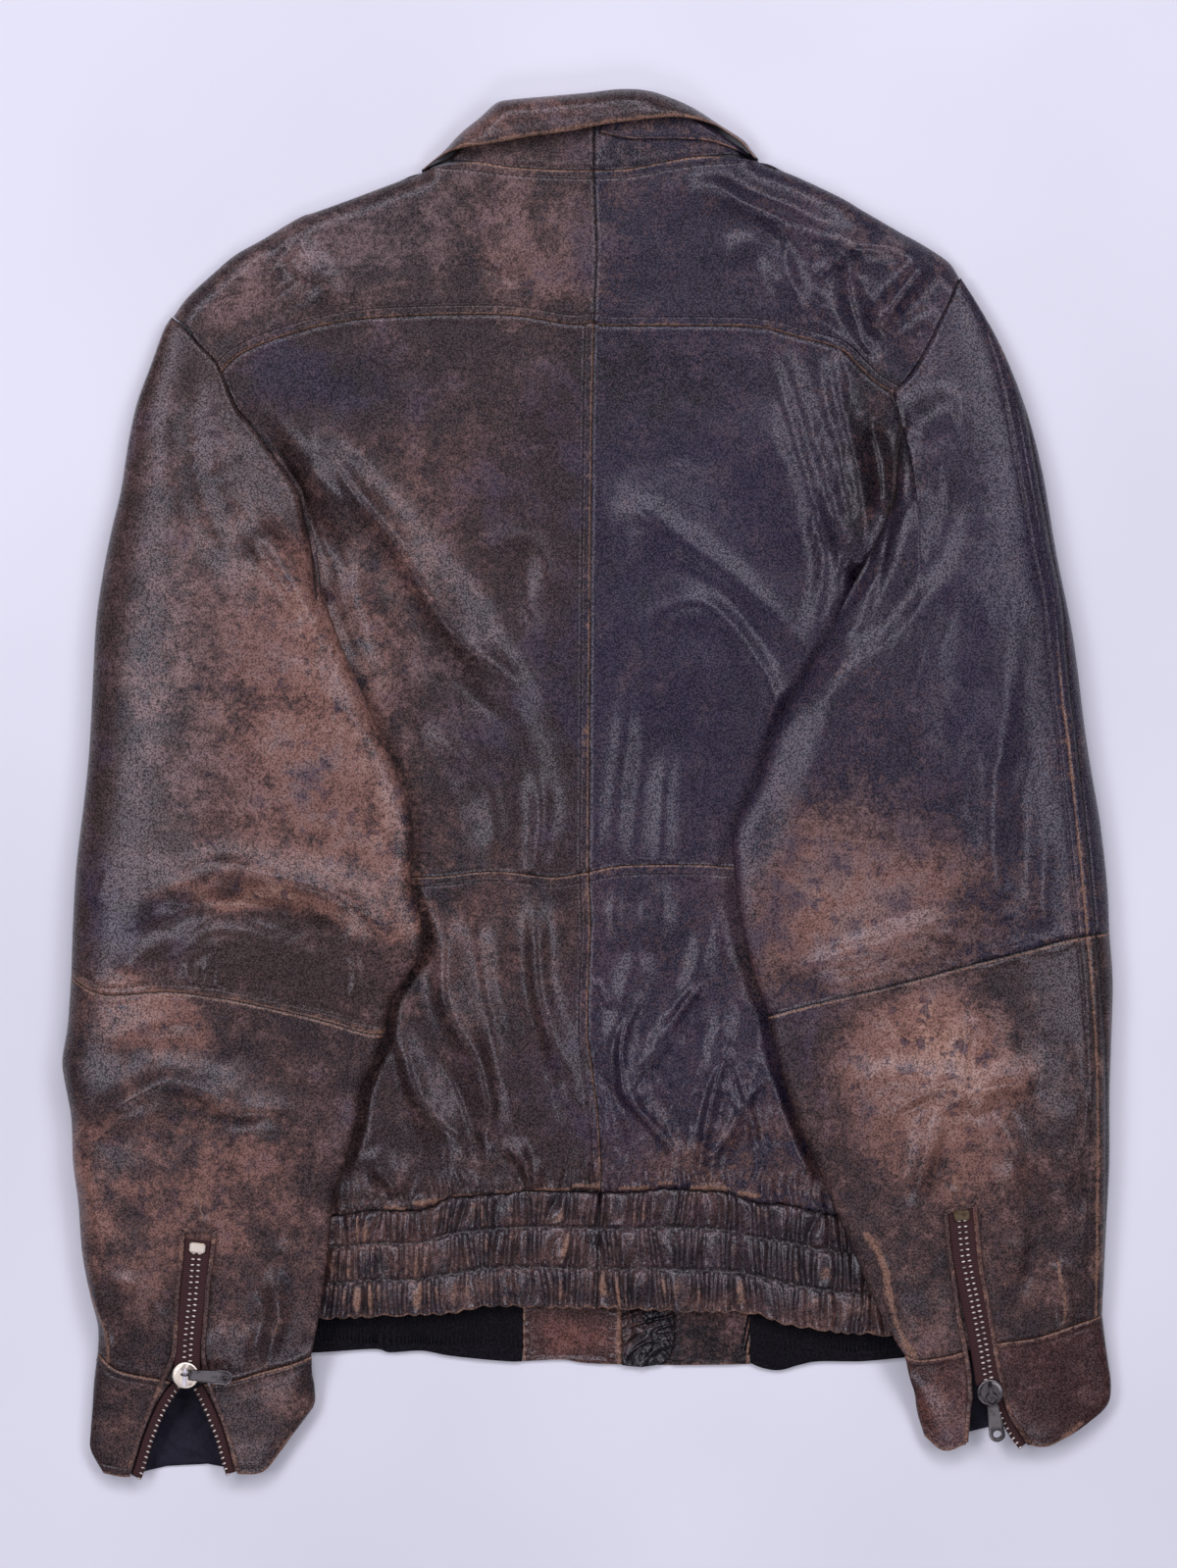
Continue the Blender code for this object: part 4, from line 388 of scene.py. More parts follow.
# Creases: height (ridges above 0, troughs below), half width and the line each follows.
BODY_CREASES = (
    # The upper back, left.
    (2.6, 4.5, ((-167, 194), (-156, 188), (-146, 183), (-134, 169), (-120, 151), (-107, 135), (-95, 114),
                (-78, 86), (-60, 70), (-44, 61), (-30, 46), (-25, 31))),
    (-3.0, 6, ((-187, 212), (-174, 191), (-163, 164), (-155, 145), (-146, 106))),
    (-2.4, 7, ((-150, 160), (-128, 120), (-106, 88), (-84, 62), (-60, 44), (-42, 24), (-36, -5), (-36, -60))),
    (2.2, 4.5, ((-29, 11), (-25, -13), (-27, -37), (-29, -62))),
    (2.2, 6, ((-91, 43), (-75, 21), (-60, 2), (-52, -15), (-51, -60))),
    (-1.8, 6, ((-110, 60), (-92, 20), (-76, -8), (-68, -60))),
    (1.1, 5, ((-62, 140), (-46, 135), (-34, 137), (-26, 128), (-22, 112), (-20, 96))),
    (-1.5, 4, ((-44, 126), (-36, 118), (-33, 100), (-26, 80))),
    # The upper back, right.
    (2.4, 6.5, ((4, 177), (20, 161), (40, 145), (62, 129), (82, 113), (100, 97), (116, 79), (124, 65))),
    (-2.2, 6, ((26, 137), (52, 121), (76, 109), (92, 89), (108, 69), (116, 53))),
    (1.9, 4.5, ((28, 83), (36, 93), (52, 99), (66, 99), (80, 89), (92, 73), (102, 55), (105, 39), (98, 19))),
    (-1.2, 7, ((40, 80), (56, 84), (70, 76))),
    (1.8, 6, ((18, 61), (22, 41), (19, 7), (16, -23), (15, -60))),
    (-1.6, 5, ((36, 41), (30, 1), (28, -27), (27, -60))),
    (1.8, 4.5, ((48, 27), (44, -3), (43, -33), (41.6, -60))),
    (-1.8, 6, ((66, -13), (76, -29), (80, -60))),
    (1.6, 11, ((82, 211), (100, 193), (116, 171), (120, 145), (124, 117))),
    (-0.7, 5, ((100, 245), (110, 217), (120, 185), (130, 153), (138, 125), (145, 103))),
    (-0.7, 4, ((126, 241), (136, 207), (144, 177), (148, 153), (150, 127))),
    (-3.0, 4.5, ((156, 213), (162, 187), (166, 161), (166, 145))),
    # The yoke.
    (1.4, 4, ((-167, 298), (-161, 287), (-150, 282.5))), (-0.8, 3, ((-64, 293), (-35, 278))),
    (2.0, 4, ((54, 331), (72, 334), (86, 324), (100, 318), (118, 313), (126, 308))),
    (-1.4, 4, ((74, 342), (97, 330), (120, 320), (140, 312))),
    (1.8, 4, ((97, 324), (109, 307), (112, 290), (119, 270), (126, 261))),
    (-1.2, 5, ((90, 306), (98, 286), (104, 268))),
    (1.6, 3.4, ((126, 284), (138, 291), (145, 295.5))),
    (-2.4, 3.6, ((146, 293), (149, 272), (155, 252), (164, 235))),
    (2.2, 4, ((195, 294), (184, 284), (175, 272), (169, 258))),
    (1.6, 3.4, ((138, 298), (164, 300), (184, 298))), (1.4, 3, ((199, 263), (185, 256), (173, 248))),
    # The lower back, left.
    (2.4, 5, ((-28, -60), (-28, -86), (-26.6, -115), (-22.6, -136), (-17, -152), (-6.6, -170))),
    (-1.8, 5, ((-35, -59), (-35, -86), (-34.6, -112), (-28, -139), (-24, -166), (-16, -190), (-4, -203))),
    (1.4, 6, ((-48, -66), (-49, -99), (-45, -126), (-40, -150), (-35, -166))),
    (-2.4, 5, ((-61, -60), (-62.6, -86), (-58.6, -112), (-53, -139), (-50.6, -166), (-48, -186), (-49, -199))),
    (2.6, 4.5, ((-76, -70), (-80, -106), (-78.6, -126), (-70.6, -142), (-61, -155), (-56, -172), (-54.6, -190),
                (-57, -199), (-50.6, -206), (-40, -214))),
    (-2.6, 3, ((-87, -146), (-76, -166), (-68, -186), (-62.6, -203), (-60, -214), (-57, -230))),
    (2.0, 4, ((-105, -139), (-100, -159), (-96, -172), (-87, -187), (-76, -196), (-69, -204), (-65, -210))),
    (-1.8, 4, ((-110.6, -132), (-106.6, -166), (-100, -190), (-96, -206), (-93, -234))),
    (1.6, 2, ((-120, -216), (-112, -224), (-104, -236))),
    (1.8, 2, ((-45, -204), (-36, -212), (-33, -222), (-29, -234))),
    (-2.0, 2, ((-42, -212), (-37, -220), (-33, -232))),
    # The lower back, right.
    (2.0, 2.2, ((33, -115), (26, -128), (21, -139), (19, -152), (19.6, -166), (21, -174), (29, -184), (40, -196),
                (49, -208), (56, -224))),
    (-1.8, 2, ((30, -118), (22, -131), (17, -141), (15, -153), (16, -168), (18, -177), (26, -188), (37, -200),
               (46, -212), (52, -228))),
    (1.8, 2.2, ((65, -112), (55.6, -124), (47.6, -136), (45, -144))), (-1.6, 2, ((61, -112), (52, -123), (44, -134))),
    (-1.8, 2, ((37, -158), (31.6, -167), (26, -176))),
    (2.2, 2.2, ((77.5, -151), (73, -166), (69, -182), (66, -198), (63, -214), (62, -228))),
    (-2.2, 2.2, ((75, -152), (69.5, -167), (65, -183), (62, -200))),
    (-1.6, 2.2, ((77.5, -151), (82, -166), (86, -179), (89, -192), (87.5, -212))),
    (1.5, 2, ((81, -151), (86, -166), (90, -180), (93, -192), (92, -214))),
    (1.6, 2, ((74, -166), (81, -176), (87.5, -186), (94, -196), (101, -220))),
    (1.5, 1.6, ((105, -159), (95.5, -171), (87.5, -182), (79.5, -198), (70, -210), (62, -218))),
    (-1.8, 2.4, ((3.6, -155), (11.6, -170), (17, -184), (20, -206), (21, -228))),
    (1.3, 2, ((4, -108), (10, -120), (17.6, -128))), (1.6, 5, ((41, -52), (42, -79), (40, -99))),
    (-1.6, 4, ((28, -56), (30, -86), (34, -104))), (1.4, 4, ((16, -56), (17, -79), (21, -99))),
    (1.4, 2, ((105, -180), (104, -192), (106, -206))), (-2, 4, ((76, -54), (84, -86), (92, -112), (103, -139))),
)
SLEEVE_CREASES = (
    # The left sleeve above its elbow seam.
    (1.6, 5, ((-197, 150), (-180, 126), (-163, 104), (-148, 82), (-137, 60))),
    (2.4, 4.5, ((-226, -52), (-207, -46), (-182, -52), (-154, -59), (-133, -67), (-120, -80), (-108, -88))),
    (-1.2, 5, ((-243, -84), (-224, -70), (-201, -67), (-173, -72), (-152, -78))),
    (1.6, 5, ((-262, -108), (-245, -93), (-226, -84))), (1.5, 4, ((-277, -70), (-271, -59), (-267, -48))),
    (1.6, 2.2, ((-131, -86), (-128, -108), (-131, -126))), (-1.4, 2.2, ((-135, -88), (-133, -108), (-135, -124))),
    (0.9, 1.4, ((-222, -98), (-221, -114))), (0.9, 1.4, ((-217, -100), (-216, -115))),
    (0.9, 1.4, ((-211, -99), (-211, -116))), (0.8, 1.4, ((-205, -102), (-205, -117))),
    # The left sleeve below it.
    (2.2, 4, ((-281, -213), (-281.5, -199), (-278, -192), (-263, -183), (-247, -173), (-234, -168),
              (-219, -170.5), (-208, -177), (-197, -184), (-180, -183), (-169, -180), (-158, -188), (-151, -194))),
    (1.6, 3.5, ((-281, -213), (-278, -232), (-273, -251), (-268, -265))),
    (-1.8, 7, ((-288, -187), (-268, -173), (-251, -162), (-234, -157))),
    (1.6, 6, ((-275, -149), (-255, -143), (-238, -136), (-215, -130))),
    (1.6, 5, ((-159, -216), (-158, -231), (-165, -246), (-173, -265))),
    (2.4, 3, ((-172, -270), (-172, -283), (-171, -292), (-171, -303), (-176, -314), (-179, -332))),
    (-3.0, 3.5, ((-180, -280), (-180, -292), (-179, -303), (-184, -314), (-187, -332))),
    (2.0, 1.8, ((-279, -280), (-277, -292), (-272, -302), (-269, -311), (-268, -328))),
    (-2.2, 1.6, ((-275, -283), (-272, -294), (-267.5, -303), (-264.5, -312), (-264, -328))),
    (1.0, 3, ((-271, -280), (-252, -280), (-241, -292), (-237, -303))),
    (1.4, 1.5, ((-216, -230), (-214, -243), (-213.2, -252))),
    # The right sleeve above its elbow seam.
    (2.4, 11, ((162, 118), (152, 80), (134, 40), (124, 2), (116, -30), (108, -62), (105, -90))),
    (-1.8, 9, ((202, 110), (210, 70), (206, 34), (200, 0))),
    (2.2, 6, ((236, 104), (236, 70), (232, 30), (226, 2), (224, -30), (227, -60), (225, -92))),
    (-1.8, 5, ((242, 6), (244, -20), (246, -40), (244, -66))), (1.6, 4, ((256, -26), (254, -50), (254, -70), (256, -88))),
    (-1.8, 5, ((108, -102), (134, -90), (164, -78), (190, -70), (206, -68))),
    (1.6, 4, ((124, -100), (154, -94), (178, -94))), (0.6, 6, ((212, 204), (196, 203), (180, 192))),
    # The right sleeve below it.
    (1.8, 4, ((208, -124), (209, -142), (208, -156), (210, -170))),
    (-1.6, 2.4, ((216, -126), (216.5, -142), (215.5, -156), (216, -174))),
    (2.2, 2.6, ((218, -176), (223, -172), (232, -169), (240, -170), (251, -166))),
    (-2.4, 3.5, ((219, -182), (230, -182), (240, -184), (247, -188))),
    (2.0, 3, ((215, -177), (206.5, -170), (201, -167), (190, -172), (177, -179), (164, -184))),
    (-1.4, 4, ((206, -180), (192, -180), (180, -186), (168, -190))),
    (2.0, 2.6, ((198, -180), (195, -190), (190, -208), (185, -221), (181, -232))),
    (-1.6, 4, ((204, -190), (198, -208), (193, -224))),
    (-2.0, 5, ((262, -205), (252, -220), (246, -229), (249, -249), (249, -266), (246, -290))),
    (2.0, 3, ((284, -156), (281, -174), (277, -201), (270, -218), (263, -232))),
    (-1.6, 4, ((278, -163), (272, -195), (265, -215))), (1.4, 3, ((282, -226), (279, -249), (277, -268), (274, -288))),
    (2.0, 1.8, ((262.5, -266), (265.5, -280), (267.5, -294), (267, -309))),
    (-2.0, 1.6, ((259, -268), (261.5, -282), (263.5, -296), (263, -310))),
    (2.6, 2.6, ((156, -253), (163, -263), (167, -274), (170, -289.5), (174, -305), (184, -323))),
    (-2.6, 2, ((162, -256), (168.5, -265), (171.5, -276), (174.5, -291), (179, -306), (188, -323))),
    (1.4, 1.5, ((205, -221), (208, -230), (210, -238))), (1.2, 3, ((126, -132), (132, -144), (144, -154))),
)
COLLAR_CREASES = (
    (0.7, 1.0, ((8, 345), (9, 356), (8, 364))), (-0.6, 1.0, ((13, 345), (14, 356), (13, 364))),
    (0.6, 1.0, ((19, 346), (19, 356), (20, 361))), (0.6, 1.0, ((28, 346), (29, 354), (28, 360))),
)
# Proud edges of pleats and darts that are rubbed to tan: how far and how much, and the line each follows.
RUBBED = (
    (2.4, 0.9, ((156, -253), (163, -263), (167, -274), (170, -289.5), (174, -305), (184, -323))),
    (1.6, 0.9, ((-216, -230), (-214, -243), (-213.2, -252))), (1.6, 0.9, ((205, -221), (208, -230), (210, -238))),
    (1.5, 0.7, ((-279, -284), (-277, -292), (-272, -302), (-269, -311), (-268, -328))),
    (1.8, 0.6, ((-173, -283), (-172, -292), (-172, -303), (-177, -314), (-180, -332))),
    (1.4, 0.8, ((262.5, -266), (265.5, -280), (267.5, -294), (267, -309))),
    (2.0, 0.6, ((218, -176), (223, -172), (232, -169), (240, -170))),
    (2.0, 0.5, ((-133, -67), (-120, -80), (-108, -88))), (2.5, 0.5, ((208, -124), (209, -142), (208, -156))),
)
# The finish of the panels whose own differs from their slot's.
PANEL_SKINS = {
    "band_tab_brown": "leather_tab", "waistband_left": "leather_band", "waistband_right": "leather_band",
    "band_tab_dark": "leather_dull",
}
# Puffs of the lower back that the gathered waistband pushes up along its seam.
PUFFS = (
    ((-113, -240), (-103, -240)), ((-97, -237), (-82, -236)), ((-74, -233.5), (-60, -232.5)),
    ((-50, -231), (-33, -231.5)), ((-29, -230), (-10, -229.5)), ((-7, -227), (7, -227)), ((20, -228.5), (34, -228)),
    ((41, -225.5), (51, -225.5)), ((59, -228), (79, -228.5)), ((86, -231), (97, -233)),
)

# Regions of fine wrinkles: middle, reach across and up, heading in degrees, spacing and height.
BODY_WRINKLES = (
    (60, -175, 60, 55, 70, 6.0, 0.7), (60, -175, 60, 50, 130, 8.0, 0.7), (-70, -190, 70, 40, 100, 8.0, 0.5),
    (-150, 170, 38, 60, 125, 7.0, 0.5), (145, 170, 38, 60, 75, 7.0, 0.6), (150, 270, 50, 32, 150, 7.0, 0.7),
    (-160, 285, 50, 26, 20, 7.0, 0.5), (60, -80, 60, 40, 85, 9.0, 0.5),
)
SLEEVE_WRINKLES = (
    (-190, -90, 90, 36, 5, 7.0, 0.7), (-150, 80, 30, 70, 70, 7.0, 0.5), (-210, 180, 50, 50, 45, 8.0, 0.5),
    (-210, -170, 70, 30, 10, 8.0, 0.6), (-215, -290, 60, 34, 95, 8.0, 0.5), (190, -100, 80, 34, 10, 7.0, 0.8),
    (205, -165, 60, 36, 60, 7.0, 0.9), (190, 160, 40, 40, 100, 8.0, 0.6), (230, 20, 50, 100, 95, 11.0, 0.6),
    (220, -250, 60, 50, 90, 8.0, 0.6), (150, 40, 36, 60, 60, 8.0, 0.5),
)
GUARD_WRINKLES = ((34, -304, 30, 40, 30, 7.0, 1.6), (34, -304, 30, 40, 100, 6.0, 1.4))

# Where the leather's dye is worn, cool, pale or dark, and where sheen and shadow are painted into it: middle, reach
# along and across, heading in degrees and strength. Some pale patches stand for painted sheen on folds, and some dark
# ones for painted shadow beside the sleeves and at the right armhole.
TONES = {
    "worn": (
        (-258, -362, 16, 22, 0, 0.2), (-205, -240, 60, 50, 0, 0.15), (-270, -240, 20, 40, 0, 0.15),
        (-178, -66, 62, 8, -4, 0.7), (195, -148, 40, 30, 0, 0.15), (-60, -110, 60, 60, 0, 0.15),
        (150, -64, 60, 40, 8, 0.3), (192, -148, 44, 30, 0, 0.35), (70, -215, 50, 30, 0, 0.3),
        (-114, -18, 16, 50, 12, 0.4), (150, -70, 56, 36, 8, 0.25), (188, -200, 44, 30, 0, 0.25),
        (-164, 36, 62, 92, 0, 0.42), (-150, -40, 66, 30, -8, 0.3), (-205, 80, 60, 120, 0, 0.16),
        (-246, -131, 52, 17, 3, 0.55), (-205, -185, 60, 34, 0, 0.22), (-240, -225, 60, 60, 0, 0.12),
        (-108, -84, 18, 12, 0, 0.4), (-277, -222, 9, 34, 0, 0.4), (-175, -268, 40, 26, 10, 0.14),
        (-31, 300, 44, 46, 0, 0.36), (-190, 282, 46, 26, 30, 0.3), (-110, 300, 60, 26, 8, 0.14),
        (-76, 185, 40, 34, 0, 0.12), (-105, 125, 30, 60, 0, 0.2), (-50, 120, 50, 40, 0, 0.1),
        (-158, 92, 14, 26, 0, 0.3), (164, 185, 12, 40, 0, 0.22), (155, -68, 62, 40, 8, 0.4),
        (190, -142, 44, 26, 0, 0.6), (185, -190, 50, 34, 0, 0.3), (213, -150, 12, 26, 0, 0.25),
        (110, -20, 16, 50, 12, 0.14), (-46, 371, 40, 14, 8, 0.3), (200, -352, 18, 30, 0, 0.3),
        (-169, -351, 26, 24, 0, 0.2), (-60, -75, 60, 60, 0, 0.1), (60, -120, 60, 80, 0, 0.06),
        (228, -165, 20, 20, 0, 0.2), (250, -270, 30, 40, 0, 0.08),
        (-8, -316, 34, 12, 0, 0.3), (-140, 10, 30, 60, 20, 0.3), (-225, -250, 60, 70, 0, 0.2),
        (210, -270, 60, 60, 0, 0.2), (-60, -262, 90, 40, 0, 0.2), (100, -300, 90, 14, 0, 0.2),
        (205, -175, 46, 46, 0, 0.3), (120, -60, 30, 50, 0, 0.25),
    ),
    "cool": (
        (-150, 222, 60, 30, 0, 0.7), (-48, 4, 54, 54, 0, 0.35), (-252, -84, 38, 30, 0, 0.5),
        (-271, 26, 13, 90, 0, 0.4), (56, 103, 100, 180, 0, 0.8), (229, 108, 60, 160, 0, 0.8),
        (60, -150, 90, 90, 0, 0.5), (-40, -150, 60, 60, 0, 0.3), (80, 300, 90, 40, -10, 0.4),
        (90, -262, 60, 30, 0, 0.3),
    ),
    # Pale grey worn dye, and painted sheen on folds of the back and the right sleeve.
    "pale": (
        (-190, 285, 60, 26, 25, 0.4), (-110, 305, 60, 20, 8, 0.5), (-31, 300, 50, 50, 0, 0.3),
        (-205, 40, 50, 70, 0, 0.2), (56, 163, 46, 110, 0, 0.12), (-57, 75, 46, 26, 15, 0.25),
        (160, 295, 60, 26, -20, 0.2), (150, -60, 60, 50, 0, 0.5), (190, -150, 60, 50, 0, 0.25),
        (-150, -10, 70, 60, 0, 0.2),
    ),
    # Dark dye, and painted shadow along the sleeves' inner edges and beside the right armhole.
    "dark_dye_and_shadow": (
        (-171, -351, 20, 16, 0, 0.35), (204, -352, 16, 22, 0, 0.3), (158, 192, 18, 40, 0, 0.3), (-160, 60, 12, 90, 8, 0.2),
        (160, 190, 18, 44, 0, 0.3), (-241, 70, 30, 70, 0, 0.2), (-225, 180, 34, 50, 0, 0.2), (28, 352, 34, 12, 0, 0.4),
        (213, 190, 34, 55, 0, 0.25), (50, 225, 70, 30, 0, 0.2), (-250, -75, 40, 30, 0, 0.25), (34, -316, 16, 11, 0, 0.6),
        (-241, 55, 30, 60, 0, 0.3), (-228, 170, 30, 45, 0, 0.2), (28, 352, 30, 10, 0, 0.4), (-148, 226, 45, 24, 0, 0.3),
        (60, 222, 60, 30, 0, 0.3), (213, 180, 30, 55, 0, 0.25),
        (158, 190, 22, 60, 0, 0.7), (-246, -66, 26, 18, 0, 0.5), (20, 225, 26, 34, 0, 0.5),
        (-120, 30, 26, 120, 8, 0.45), (-92, -100, 22, 60, 0, 0.5), (96, -80, 18, 60, 0, 0.4),
        (-60, -290, 60, 30, 0, 0.2), (70, -316, 24, 11, 0, 0.9),
    ),
}


def tint(red, green, blue):
    """A colour given as it looks on a screen, from 0 to 255, as a shader takes it."""
    steps = (red / 255, green / 255, blue / 255)
    linear = [c / 12.92 if c <= 0.04045 else ((c + 0.055) / 1.055) ** 2.4 for c in steps]
    return (*linear, 1.0)


DYES = {"brown": tint(80, 57, 52), "rust": tint(134, 96, 82), "tan": tint(184, 144, 122)}
RUDDY = {"brown": tint(80, 48, 41), "rust": tint(120, 74, 60), "tan": tint(158, 110, 88)}
NAVY = tint(31, 27, 54)
# A pale tone for worn grey patches, also used for painted sheen and for painted glints on the pebble tops.
PALE_AND_SHEEN = tint(120, 102, 102)
WORN = tint(142, 108, 88)
# A near black for pores and dark dye, also used for painted shade and painted shadow.
DARK_DYE_PORES_AND_SHADE = tint(12, 9, 10)
SHEEN = (1.0, 0.92, 1.0, 1.0)

# The photograph's frame, the size of one of its pixels in millimetres, and the pixel over the jacket's middle.
IMAGE = (1200, 1599)
PIXEL = 0.55
ORIGIN_PIXEL = (598, 797)
CAMERA_HEIGHT = 2400.0
MID_LEVEL = 16.0
FLOOR_LOW = tint(210, 212, 216)
FLOOR_HIGH = tint(220, 222, 226)
SKY_COLOUR = (0.86, 0.86, 1.0, 1.0)
SKY_STRENGTH = 0.12
# Soft lamps in a ring over the jacket: their direction round from +X in degrees, and their power in watts.
LAMPS = ((0, 14.5), (32, 14.5), (62, 14), (90, 13), (118, 14), (148, 16), (180, 19), (270, 19.5))
LAMP_REACH = (1.65, 2.1)
LAMP_HEIGHT = 2.3
LAMP_COLOUR = (0.9, 0.86, 1.0)
MATERIALS = {}


def smooth(points, per_span=6):
    """A curve through given points, as a close row of points along it."""
    p = np.array(points, float)
    p = np.vstack([2 * p[0] - p[1], p, 2 * p[-1] - p[-2]])
    t = np.linspace(0, 1, per_span, endpoint=False)[:, None]
    spans = []
    for a, b, c, d in zip(p, p[1:], p[2:], p[3:]):
        bend = (2 * a - 5 * b + 4 * c - d) * t**2 + (3 * b - a - 3 * c + d) * t**3
        spans.append(0.5 * (2 * b + (c - a) * t + bend))
    return np.vstack(spans + [p[-2:-1]])


def lengths(curve):
    """The distance along a curve at each of its points."""
    steps = np.linalg.norm(np.diff(curve, axis=0), axis=1)
    return np.concatenate([[0], np.cumsum(steps)])


def along(points, shares):
    """Points at the given shares of a curve's length. An array is a finished line; a tuple is smoothed."""
    curve = points if isinstance(points, np.ndarray) else smooth(points)
    run = lengths(curve)
    at = np.asarray(shares) * run[-1]
    return np.stack([np.interp(at, run, curve[:, 0]), np.interp(at, run, curve[:, 1])], axis=-1)


def table(pairs, at):
    """Values between the given pairs of place and value."""
    places, values = np.array(pairs, float).T
    return np.interp(at, places, values)


def ease(start, end, at):
    """0 before start, 1 after end, and a soft step between."""
    t = np.clip((at - start) / (end - start), 0, 1)
    return t * t * (3 - 2 * t)


def quarter(share):
    """Height of a quarter round at a share of its radius in from its edge."""
    inside = 1 - np.clip(share, 0, 1)
    return np.sqrt(np.maximum(0, 1 - inside**2))


def to_line(points, line):
    """Distance from each point to a line, and the share of the line's length at the nearest place."""
    a, b = line[:-1], line[1:]
    run = lengths(line)
    step = b - a
    square = np.maximum((step**2).sum(-1), 1e-12)
    from_a = points[..., None, :] - a
    t = np.clip((from_a * step).sum(-1) / square, 0, 1)
    gaps = np.linalg.norm(from_a - t[..., None] * step, axis=-1)
    nearest = gaps.argmin(-1)
    t_best = np.take_along_axis(t, nearest[..., None], -1)[..., 0]
    at = (run[nearest] + t_best * (run[nearest + 1] - run[nearest])) / run[-1]
    return gaps.min(-1), at


def folds(points, lines):
    """Height that a set of folds adds, each fading out at its ends."""
    total = np.zeros(points.shape[:-1])
    for height, width, line in lines:
        gap, at = to_line(points, smooth(line, 4))
        total += height * np.exp(-((gap / width) ** 2)) * np.minimum(1, 5 * at * (1 - at) + 0.25)
    return total


FREE_EDGES = (
    smooth(SHOULDER_LEFT), smooth(SHOULDER_RIGHT),
    smooth(SIDE_LEFT_BAND + SIDE_LEFT_LOWER[1:] + SIDE_LEFT_UPPER[1:]),
    smooth(SIDE_RIGHT_BAND + SIDE_RIGHT_LOWER[1:] + SIDE_RIGHT_UPPER[1:]),
)
UNDER_SLEEVE = (FREE_EDGES[2], FREE_EDGES[3])
HEM = (smooth(BAND_FOOT_LEFT), smooth(BAND_FOOT_RIGHT))
KNIT_HEM = (smooth(KNIT_FOOT_LEFT), smooth(KNIT_FOOT_RIGHT))
FOLDED_EDGES = (
    smooth(FOREARM_IN_LEFT + SLEEVE_IN_LEFT[1:]),
    smooth(FOREARM_IN_RIGHT + SLEEVE_IN_RIGHT[1:]),
)
FALL_CURVE = smooth(FALL_OUTLINE)


def edge_x(line, y, beyond):
    """The x of a line that climbs the page, at each y, and a far x above its top end."""
    order = np.argsort(line[:, 1])
    x = np.interp(y, line[order, 1], line[order, 0])
    return np.where(y > line[:, 1].max() + 8, beyond, x)


def covered(points):
    """1 where a sleeve lies over the body, 0 in the open."""
    x, y = points[..., 0], points[..., 1]
    left = edge_x(FOLDED_EDGES[0], y, -400) - x
    right = x - edge_x(FOLDED_EDGES[1], y, 400)
    return ease(-8, 1, np.maximum(left, right))


def body_top(points):
    """Level of the back's outer surface."""
    y = points[..., 1]
    cover = covered(points)
    level = table(BACK_LEVELS, y) + folds(points, BODY_FOLDS) * ease(-246, -222, y)
    level = (1 - cover) * level + cover * np.minimum(level, HIDDEN_LEVEL)
    gap = np.min([to_line(points, edge)[0] for edge in FREE_EDGES], axis=0)
    return REST_ON_FRONT + (level - REST_ON_FRONT) * quarter(gap / BODY_EDGE_ROUND)


def inside_body(points, foot):
    """True where the point is between the side seams and above the given foot line."""
    x, y = points[..., 0], points[..., 1]
    left = edge_x(UNDER_SLEEVE[0], y, 0)
    right = edge_x(UNDER_SLEEVE[1], y, 0)
    foot_line = np.vstack(foot)
    order = np.argsort(foot_line[:, 0])
    low = np.interp(x, foot_line[order, 0], foot_line[order, 1])
    top = np.where(x < 0, UNDER_SLEEVE[0][-1, 1], UNDER_SLEEVE[1][-1, 1])
    return (x > left) & (x < right) & (y > low) & (y < top)


def support(points):
    """What a sleeve rests on: the floor, the front's hem band, or the body."""
    edges = UNDER_SLEEVE + HEM
    gap = np.min([to_line(points, edge)[0] for edge in edges], axis=0)
    gap = np.where(inside_body(points, HEM), 0, gap)
    band = np.min([to_line(points, edge)[0] for edge in KNIT_HEM + UNDER_SLEEVE], axis=0)
    band = np.where(inside_body(points, KNIT_HEM), 0, band)
    on_body = SLEEVE_LEVEL * (1 - ease(8, SLEEVE_RAMP, gap))
    on_band = BAND_LEVEL * (1 - ease(0, BAND_RAMP, band))
    return np.maximum(on_body, on_band)


def collar_level(points, level, inset):
    """Level of a layer of the collar, rounded down to the floor along the collar's outline."""
    gap = to_line(points, FALL_CURVE)[0]
    return level * quarter((gap - inset) / (COLLAR_ROUND - inset))


def unit(vectors):
    return vectors / np.maximum(np.linalg.norm(vectors, axis=-1, keepdims=True), 1e-12)


def patch(bottom, top, left, right, u, v):
    """Points between four edge curves, at shares u across and v up. Both may vary over the net."""
    u, v = np.broadcast_arrays(u, v)
    (b0, b1), (t0, t1) = along(bottom, (0, 1)), along(top, (0, 1))
    across, up = u[..., None], v[..., None]
    rows = (1 - up) * along(bottom, u) + up * along(top, u)
    sides = (1 - across) * along(left, v) + across * along(right, v)
    corners = (1 - across) * ((1 - up) * b0 + up * t0) + across * ((1 - up) * b1 + up * t1)
    return rows + sides - corners


def shares(length, start=0, end=0, step=STEP, fine=FINE):
    """Shares of a length, close together within the reach given at its start and end, where seams lie. Their
    count is one more than a multiple of the inner wall's skip."""
    at = np.linspace(0, length, 600)
    spacing = np.full_like(at, step)
    for reach, gap in ((start, at), (end, length - at)):
        if reach:
            spacing = np.minimum(spacing, fine + (step - fine) * ease(reach, reach + 4 * step, gap))
    run = np.concatenate([[0], np.cumsum(np.diff(at) / spacing[1:])])
    count = SKIP * math.ceil(run[-1] / SKIP)
    return np.interp(np.linspace(0, run[-1], count + 1), run, at) / length


def length_of(line):
    return lengths(line if isinstance(line, np.ndarray) else smooth(line))[-1]


